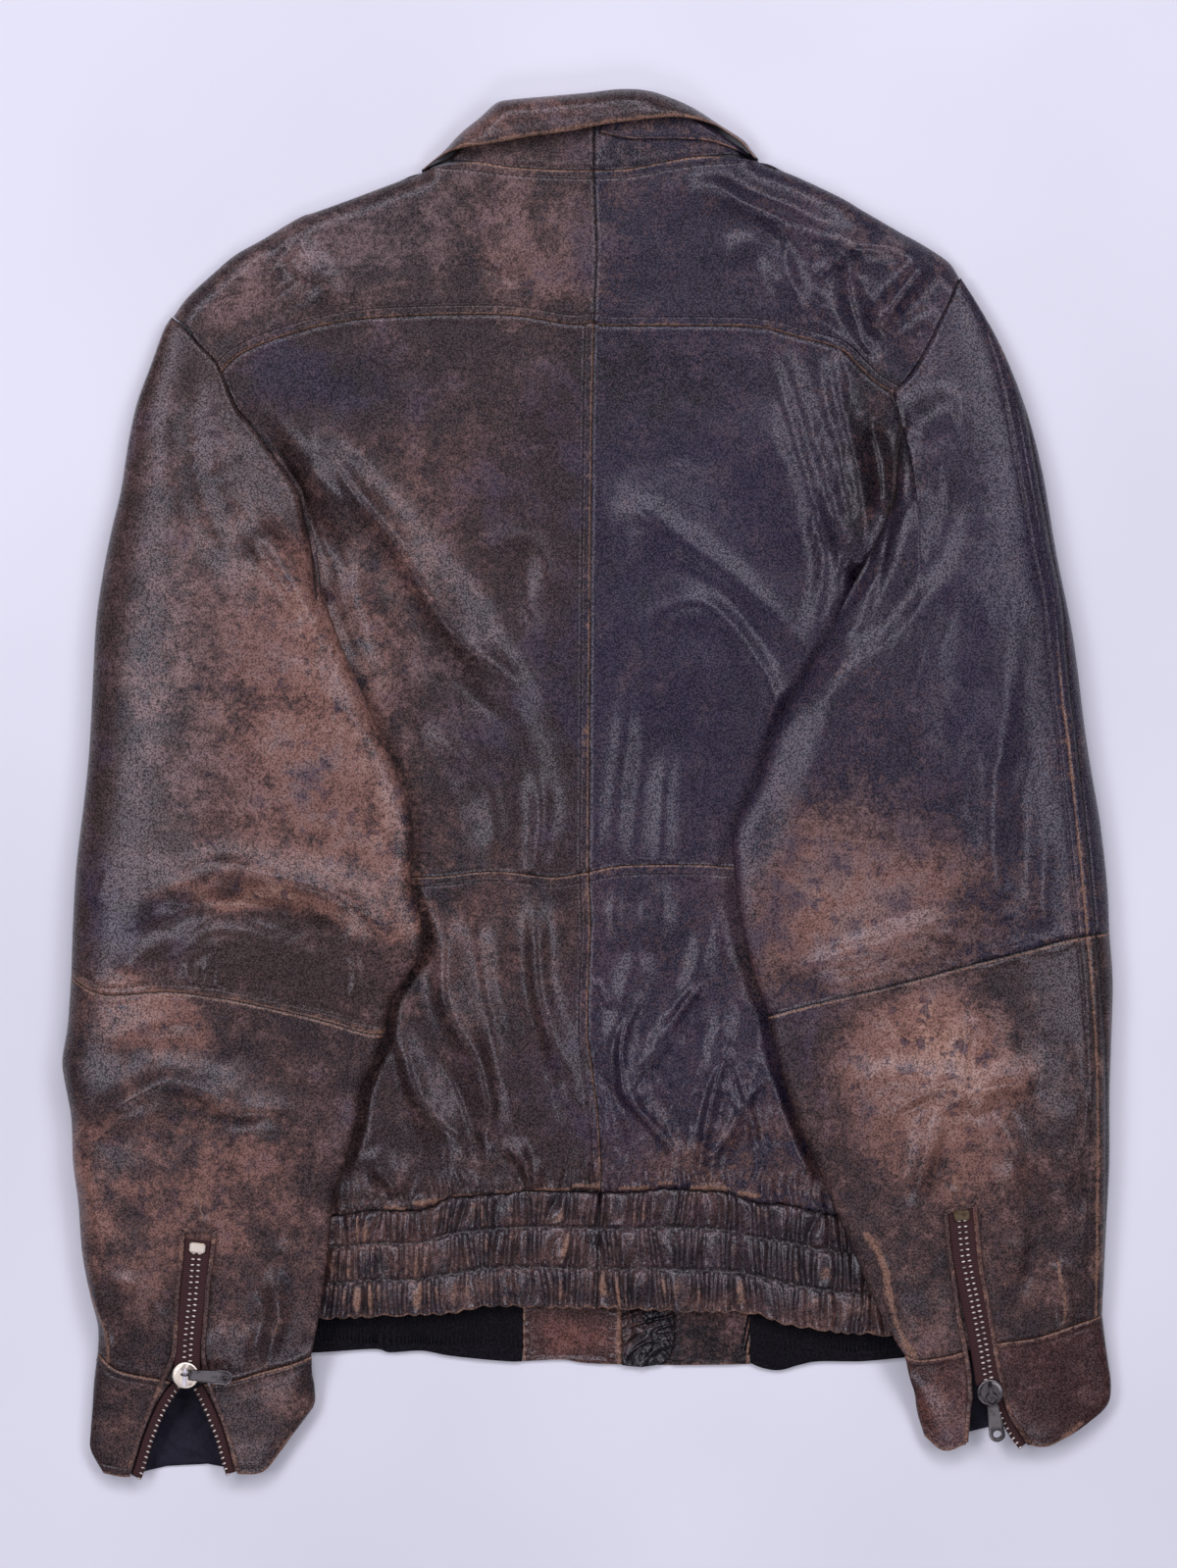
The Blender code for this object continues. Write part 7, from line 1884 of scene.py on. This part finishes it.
def tab(sizes):
    """A pull's tapered tab with an eye near its end and a raised rim round both, along its own x."""
    major, length, head, tip, eye = sizes
    start, bend = major - LINK_WIRE / 2, length - tip / 2
    count = 12
    turns = np.linspace(math.pi / 2, -math.pi / 2, 2 * count + 1)
    steps = np.linspace(0, 1, 7)
    outline = [(start, -head / 2 + head * s) for s in np.linspace(0, 1, 5)]
    outline += [(start + (bend - start) * s, head / 2 + (tip - head) / 2 * s) for s in steps[1:-1]]
    outline += [(bend + tip / 2 * math.cos(t), tip / 2 * math.sin(t)) for t in turns]
    outline += [(start + (bend - start) * s, -head / 2 - (tip - head) / 2 * s) for s in steps[::-1][1:-1]]
    outline = np.array(outline)
    middle = np.array([bend, 0.0])
    angle = np.arctan2(outline[:, 1], outline[:, 0] - bend)
    hole = middle + eye * np.column_stack([np.cos(angle), np.sin(angle)])
    inward = unit(middle - outline)
    half = PULL_THICK / 2
    rows = [
        (outline, -half), (outline + 0.25 * inward, -half - 0.0), (outline, half - 0.2),
        (outline + 0.35 * inward, half), (outline + 1.1 * inward, half), (outline + 1.5 * inward, half - 0.45),
        (hole - 1.0 * unit(middle - hole) * 1.0, half - 0.45), (hole - 0.7 * unit(middle - hole), half),
        (hole - 0.2 * unit(middle - hole), half), (hole, half - 0.25), (hole, -half),
    ]
    rows = [rows[0], *rows[2:]]
    bm = bmesh.new()
    rings = [[bm.verts.new((x, y, z)) for x, y in flat] for flat, z in rows]
    rings.append(rings[0])
    for a, b in zip(rings, rings[1:]):
        for k in range(len(outline)):
            m = (k + 1) % len(outline)
            bm.faces.new([a[k], a[m], b[m], b[k]])
    return bm


def stop_and_slider(side):
    """A zip's top stop, its slider with a crown bar, and its pull."""
    stop = STOP_LEFT if side == "left" else STOP_RIGHT
    place = on_tape(side, np.array(stop), STOP_SIZE[1] / 2)
    hard_piece(f"zip_stop_{side}_metal", plate(STOP_SIZE, (0, 0, STOP_SIZE[2] / 2), 0.6, 3),
               "pale_brass" if side == "left" else "antique_brass", "jacket", place,
               f"zip_stop_{side}")
    spot, sizes = (SLIDER_LEFT, PULL_LEFT) if side == "left" else (SLIDER_RIGHT, PULL_RIGHT)
    place = on_tape(side, np.array(spot), SLIDER_RADIUS)
    r, h = SLIDER_RADIUS, SLIDER_PLATE
    profile = (
        (0, 0), (r - 0.5, 0), (r, 0.4), (r, h - 0.5), (r - 0.4, h - 0.1), (r - 0.9, h), (r - 1.5, h - 0.25),
        (r - 2.4, h - 0.25), (0, h - 0.15),
    )
    metal, slot = ("pale_brass", "antique_brass") if side == "left" else ("gunmetal", "gunmetal")
    hard_piece(f"zip_slider_{side}_plate", lathe(profile), metal, "jacket", place, f"zip_slider_{side}")
    crown = "bright_steel" if side == "left" else "gunmetal"
    top = SLIDER_PLATE + CROWN_OPENING + CROWN_WIRE
    reach = CROWN_LENGTH / 2
    bar = plate((2.4 * CROWN_WIRE, CROWN_LENGTH, 2 * CROWN_WIRE), (0, 0, top), 0.55, 3)
    hard_piece(f"zip_crown_{side}", bar, crown, "jacket", place)
    for k, end in enumerate((-1, 1)):
        height = CROWN_OPENING + CROWN_WIRE
        middle = (0, end * (reach - CROWN_WIRE), SLIDER_PLATE - 0.3 + height / 2)
        post = plate((1.8 * CROWN_WIRE, 1.8 * CROWN_WIRE, height), middle, 0.3, 2)
        hard_piece(f"zip_crown_post_{side}_{k + 1}", post, crown, "jacket", place)
    on_bar = Vector((0, PULL_OFFSET_LEFT, top))
    on_post = Vector((0, CROWN_WIRE - CROWN_LENGTH / 2, SLIDER_PLATE + CROWN_OPENING / 2))
    middle, heading, drop = (on_bar, -2, PULL_DROP_LEFT) if side == "left" else (on_post, -90, PULL_DROP_RIGHT)
    turn = Matrix.Rotation(math.radians(heading), 4, "Z") @ Matrix.Rotation(math.radians(drop), 4, "Y")
    home = place @ Matrix.Translation(middle) @ turn
    upright = Matrix.Rotation(math.pi / 2, 4, "X") if side == "left" else Matrix.Identity(4)
    body = f"pull_{side}"
    hard_piece(f"zip_link_{side}", loop_of_wire(sizes[0], LINK_WIRE), "gunmetal", body, home @ upright)
    hard_piece(f"zip_pull_{side}_tab", tab(sizes), "gunmetal", body, home, f"zip_pull_{side}")


class Wire:
    """A node's output socket. Sums and products of wires and numbers add the Math nodes that work them out."""

    def __init__(self, tree, socket):
        self.tree = tree
        self.socket = socket

    def math(self, operation, a, b=0.0):
        return self.tree.add("ShaderNodeMath", {"operation": operation}, {0: a, 1: b}, "Value")

    def __add__(self, other):
        return self.math("ADD", self, other)

    def __radd__(self, other):
        return self.math("ADD", other, self)

    def __sub__(self, other):
        return self.math("SUBTRACT", self, other)

    def __rsub__(self, other):
        return self.math("SUBTRACT", other, self)

    def __mul__(self, other):
        return self.math("MULTIPLY", self, other)

    def __rmul__(self, other):
        return self.math("MULTIPLY", other, self)


    def step(self, low, high):
        """0 below low, 1 above high, and a soft step between."""
        settings = {"interpolation_type": "SMOOTHSTEP", "clamp": True}
        return self.tree.add("ShaderNodeMapRange", settings, {0: self, 1: low, 2: high}, "Result")


class Tree:
    """Adds nodes to a shader's or a modifier's node tree."""

    def __init__(self, tree):
        self.tree = tree

    def node(self, kind, settings=None, sockets=None):
        """A node of a kind, with its settings made first and then the values or links of its sockets."""
        made = self.tree.nodes.new(kind)
        for name, value in (settings or {}).items():
            setattr(made, name, value)
        for key, value in (sockets or {}).items():
            if isinstance(value, Wire):
                self.tree.links.new(value.socket, made.inputs[key])
            else:
                made.inputs[key].default_value = value
        return Outputs(self, made)

    def add(self, kind, settings, sockets, out):
        """The named output of a new node."""
        return self.node(kind, settings, sockets)[out]

    def mark(self, name):
        """A value kept on the piece's own points."""
        return self.add("ShaderNodeAttribute", {"attribute_name": name}, {}, "Fac")

    def place(self, stretch=(1, 1, 1)):
        """Places on the piece, in metres, stretched along each axis."""
        place = self.add("ShaderNodeTexCoord", {}, {}, "Object")
        return self.add("ShaderNodeMapping", {}, {"Vector": place, "Scale": stretch}, "Vector")

    def noise(self, place, scale, detail=2.0, rough=0.5):
        sockets = {"Vector": place, "Scale": scale, "Detail": detail, "Roughness": rough}
        return self.add("ShaderNodeTexNoise", {}, sockets, "Fac")

    def away(self, value, middle):
        """How far a value is from a middle one, whichever side."""
        return self.add("ShaderNodeMath", {"operation": "ABSOLUTE"}, {0: value - middle}, "Value")

    def cells(self, place, scale, feature="F1", out="Distance"):
        return self.add("ShaderNodeTexVoronoi", {"feature": feature}, {"Vector": place, "Scale": scale}, out)

    def mix(self, share, a, b):
        """Colour a turned into colour b by a share."""
        return self.add("ShaderNodeMix", {"data_type": "RGBA"}, {0: share, 6: a, 7: b}, 2)

    def bump(self, height, distance, strength=1.0, normal=None):
        sockets = {"Height": height, "Distance": distance, "Strength": strength}
        if normal:
            sockets["Normal"] = normal
        return self.add("ShaderNodeBump", {}, sockets, "Normal")


class Outputs:
    """A new node's outputs by name or number."""

    def __init__(self, tree, node):
        self.tree = tree
        self.made = node

    def __getitem__(self, key):
        return Wire(self.tree, self.made.outputs[key])


def material(name, **constants):
    """A new material with a plain principled shader, its tree and that shader."""
    made = bpy.data.materials.new(name)
    made.use_nodes = True
    shader = made.node_tree.nodes["Principled BSDF"]
    for key, value in constants.items():
        shader.inputs[key.replace("_", " ")].default_value = value
    return made, Tree(made.node_tree), shader


def plug(tree, shader, **wires):
    """Links wires to a shader's sockets."""
    for key, wire in wires.items():
        tree.tree.links.new(wire.socket, shader.inputs[key.replace("_", " ")])


def leather(name, dye, polish=0.75, marked=True, worn_to=DYES, pebbled=1.0):
    """Worn, pebbled leather: its dye rubs away through brown and rust to tan, in patches of several sizes. Painted
    shade, shadow, sheen and glints are laid into its colour as well.
    """
    made, tree, shader = material(name, Specular_IOR_Level=0.14, Coat_Roughness=0.31, Coat_IOR=1.5)
    place = tree.place()
    broad = 2.0 * tree.noise(place, 17, 3, 0.6) - 1.0
    blotch = 2.0 * tree.noise(place, 55, 4, 0.65) - 1.0
    fleck = 1.8 * tree.noise(place, 290, 3, 0.65) - 0.9
    pores = tree.cells(place, 1000)
    pebbles = tree.cells(place, 640, "DISTANCE_TO_EDGE").step(0.0, 0.22)
    ground = 0.6 * broad + 1.0 * blotch + 0.7 * fleck
    if marked:
        worn = tree.mark("worn") * 1.5 + ground
        rubbed = (tree.mark("wear") * 1.2 + 0.6 * blotch + 0.6 * fleck).step(0.4, 1.0)
    else:
        worn = 0.3 + ground
        rubbed = (blotch + fleck).step(0.0, 0.35) * 0.6
    colour = tree.mix(worn.step(-0.1, 0.5), dye, worn_to["brown"])
    colour = tree.mix(worn.step(0.3, 0.95), colour, worn_to["rust"])
    colour = tree.mix(worn.step(0.9, 1.5), colour, worn_to["tan"])
    if marked:
        # Pale worn patches, some of them painted sheen on folds.
        colour = tree.mix((tree.mark("pale") + ground).step(0.1, 0.8) * 0.6, colour, PALE_AND_SHEEN)
        colour = tree.mix((tree.mark("cool") + blotch + broad).step(0.2, 0.9) * 0.75, colour, NAVY)
        # Dark dye, and painted shadow beside the sleeves and at the right armhole.
        colour = tree.mix((tree.mark("dark_dye_and_shadow") - ground).step(0.2, 0.95) * 0.7, colour, DARK_DYE_PORES_AND_SHADE)
        spots = tree.noise(place, 120, 2, 0.5).step(0.58, 0.66)
        colour = tree.mix(spots * tree.mark("worn") * 0.8, colour, NAVY)
        colour = tree.mix(rubbed * 0.85, colour, WORN)
        # Painted shade in troughs, seam grooves and between the gathers.
        colour = tree.mix(tree.mark("painted_shade").step(0.1, 1.0) * 0.85, colour, DARK_DYE_PORES_AND_SHADE)
    else:
        colour = tree.mix(rubbed, colour, WORN)
    colour = tree.mix(pores.step(0.35, 0.8) * 0.62, colour, DARK_DYE_PORES_AND_SHADE)
    # Painted glints: the tops of the pebbles are drawn lighter.
    colour = tree.mix((1.0 - pores).step(0.5, 0.85) * 0.22 * pebbled, colour, PALE_AND_SHEEN)
    swells = tree.noise(place, 17, 2, 0.45)
    dents = tree.noise(place, 70, 2, 0.5)
    shape = tree.bump(swells, 0.006, 1.0, tree.bump(dents, 0.0003, 1.0))
    grain = tree.bump(pebbles, 0.00009 * pebbled, 1.0, shape)
    coat = polish * (1.1 - 0.9 * pores.step(0.2, 0.8)) * (1.0 - 0.5 * rubbed)
    plug(tree, shader, Base_Color=colour, Roughness=0.4 + 0.06 * blotch, Coat_Weight=coat, Normal=grain)
    MATERIALS[name] = made


def make_materials():
    leather("leather_grey_brown", tint(48, 37, 36))
    leather("leather_blue_black", tint(35, 30, 48))
    leather("leather_brown", tint(45, 33, 33))
    leather("leather_rust", tint(52, 36, 32))
    leather("leather_red_brown", tint(54, 29, 27), worn_to=RUDDY)
    leather("leather_tab", tint(62, 33, 26), 1.0, worn_to=RUDDY)
    leather("leather_band", tint(40, 32, 36), 1.2)
    leather("leather_dull", tint(30, 24, 25), 0.2)
    leather("leather_black", tint(7, 7, 16), 0.9, pebbled=0.2)
    leather("leather_grey_brown_plain", tint(78, 56, 50), marked=False)
    leather("leather_brown_plain", tint(70, 50, 44), marked=False)
    leather("leather_rust_plain", tint(96, 62, 50), marked=False)
    made, tree, shader = material("lining", Roughness=0.7, Specular_IOR_Level=0.2)
    place = tree.place()
    weave = tree.noise(place, 900, 2)
    drape = tree.noise(place, 60, 2)
    plug(tree, shader, Base_Color=tree.mix(weave.step(0.3, 0.7), tint(19, 18, 28), tint(30, 28, 42)),
         Normal=tree.bump(weave, 0.0002, 0.5, tree.bump(drape, 0.006, 1.0)))
    MATERIALS["lining"] = made
    made, tree, shader = material("rib_knit", Roughness=0.95, Specular_IOR_Level=0.15)
    place = tree.place()
    loops = tree.noise(place, 700, 3)
    lint = tree.noise(place, 160, 4)
    colour = tree.mix(loops.step(0.35, 0.7), tint(7, 6, 9), tint(24, 22, 28))
    plug(tree, shader, Base_Color=tree.mix(lint.step(0.66, 0.8) * 0.2, colour, tint(70, 66, 72)),
         Normal=tree.bump(loops, 0.0005, 0.8))
    MATERIALS["rib_knit"] = made
    made, tree, shader = material("zip_tape", Roughness=0.85, Specular_IOR_Level=0.2)
    place = tree.place()
    sockets = {"Vector": place, "Scale": 260.0, "Distortion": 1.5}
    weave = tree.add("ShaderNodeTexWave", {"bands_direction": "Y"}, sockets, "Fac")
    fuzz = tree.noise(place, 500, 3)
    colour = tree.mix(weave, tint(44, 27, 28), tint(70, 44, 43))
    plug(tree, shader, Base_Color=tree.mix(fuzz.step(0.5, 0.8) * 0.5, colour, tint(46, 30, 32)),
         Normal=tree.bump(weave + fuzz, 0.0003, 0.6))
    MATERIALS["zip_tape"] = made
    for name, bright, dull, rough in (
        ("antique_brass", tint(150, 132, 104), tint(84, 70, 54), 0.3),
        ("pale_brass", tint(250, 240, 222), tint(226, 210, 180), 0.4),
        ("tooth_metal", tint(200, 190, 180), tint(96, 86, 82), 0.36),
        ("gunmetal", tint(100, 96, 96), tint(58, 55, 55), 0.32),
        ("bright_steel", tint(240, 238, 242), tint(205, 203, 208), 0.4),
    ):
        made, tree, shader = material(name, Metallic=1.0)
        place = tree.place()
        tarnish = tree.noise(place, 260, 4, 0.6)
        scratch = tree.noise(tree.place((1, 6, 1)), 700, 2)
        plug(tree, shader, Base_Color=tree.mix(tarnish.step(0.45, 0.75), bright, dull),
             Roughness=rough + 0.2 * (tarnish - 0.5) + 0.08 * scratch,
             Normal=tree.bump(tarnish + 0.4 * scratch, 0.00005, 0.3))
        MATERIALS[name] = made
    made, tree, shader = material("thread", Roughness=0.7)
    lint = tree.noise(tree.place(), 500, 3)
    plug(tree, shader, Base_Color=tree.mix(lint.step(0.35, 0.7), tint(26, 19, 19), tint(62, 44, 36)),
         Normal=tree.bump(lint, 0.0001, 0.5))
    MATERIALS["thread"] = made
    made, tree, shader = material("floor", Roughness=0.8)
    cloud = tree.noise(tree.place(), 2.2, 3)
    plug(tree, shader, Base_Color=tree.mix(cloud.step(0.3, 0.7), FLOOR_LOW, FLOOR_HIGH))
    MATERIALS["floor"] = made


def studio():
    """A plain pale floor, soft light from large panels, and a camera that looks straight down."""
    scene = bpy.context.scene
    bm = bmesh.new()
    bmesh.ops.create_grid(bm, x_segments=40, y_segments=40, size=4.0)
    mesh = bpy.data.meshes.new("floor")
    bm.to_mesh(mesh)
    bm.free()
    mesh.materials.append(MATERIALS["floor"])
    floor = bpy.data.objects.new("floor", mesh)
    scene.collection.objects.link(floor)
    world = bpy.data.worlds.new("studio")
    scene.world = world
    world.use_nodes = True
    sky = world.node_tree.nodes["Background"]
    sky.inputs["Color"].default_value = SKY_COLOUR
    sky.inputs["Strength"].default_value = SKY_STRENGTH
    for turn, power in LAMPS:
        light = bpy.data.lights.new("lamp", "AREA")
        light.shape = "DISK"
        light.size = 1.0
        light.energy = power
        light.color = LAMP_COLOUR
        lamp = bpy.data.objects.new("lamp", light)
        turn = math.radians(turn)
        lamp.location = (LAMP_REACH[0] * math.cos(turn), LAMP_REACH[1] * math.sin(turn), LAMP_HEIGHT)
        lamp.rotation_euler = (-lamp.location).to_track_quat("-Z", "Y").to_euler()
        scene.collection.objects.link(lamp)
    camera = bpy.data.cameras.new("camera")
    camera.sensor_fit = "AUTO"
    camera.sensor_width = 36.0
    view_height = IMAGE[1] * PIXEL
    camera.lens = 36.0 * (CAMERA_HEIGHT - MID_LEVEL) / view_height
    camera.clip_end = 20.0
    eye = bpy.data.objects.new("camera", camera)
    eye.location = ((IMAGE[0] / 2 - ORIGIN_PIXEL[0]) * PIXEL * MM, (ORIGIN_PIXEL[1] - IMAGE[1] / 2) * PIXEL * MM,
                    CAMERA_HEIGHT * MM)
    scene.collection.objects.link(eye)
    scene.camera = eye
    scene.view_settings.view_transform = "Standard"


make_materials()
back()
waistband()
fronts()
hem_band()
collar()
sleeves()
zips(cuffs())
armhole_tapes()
sew()
studio()
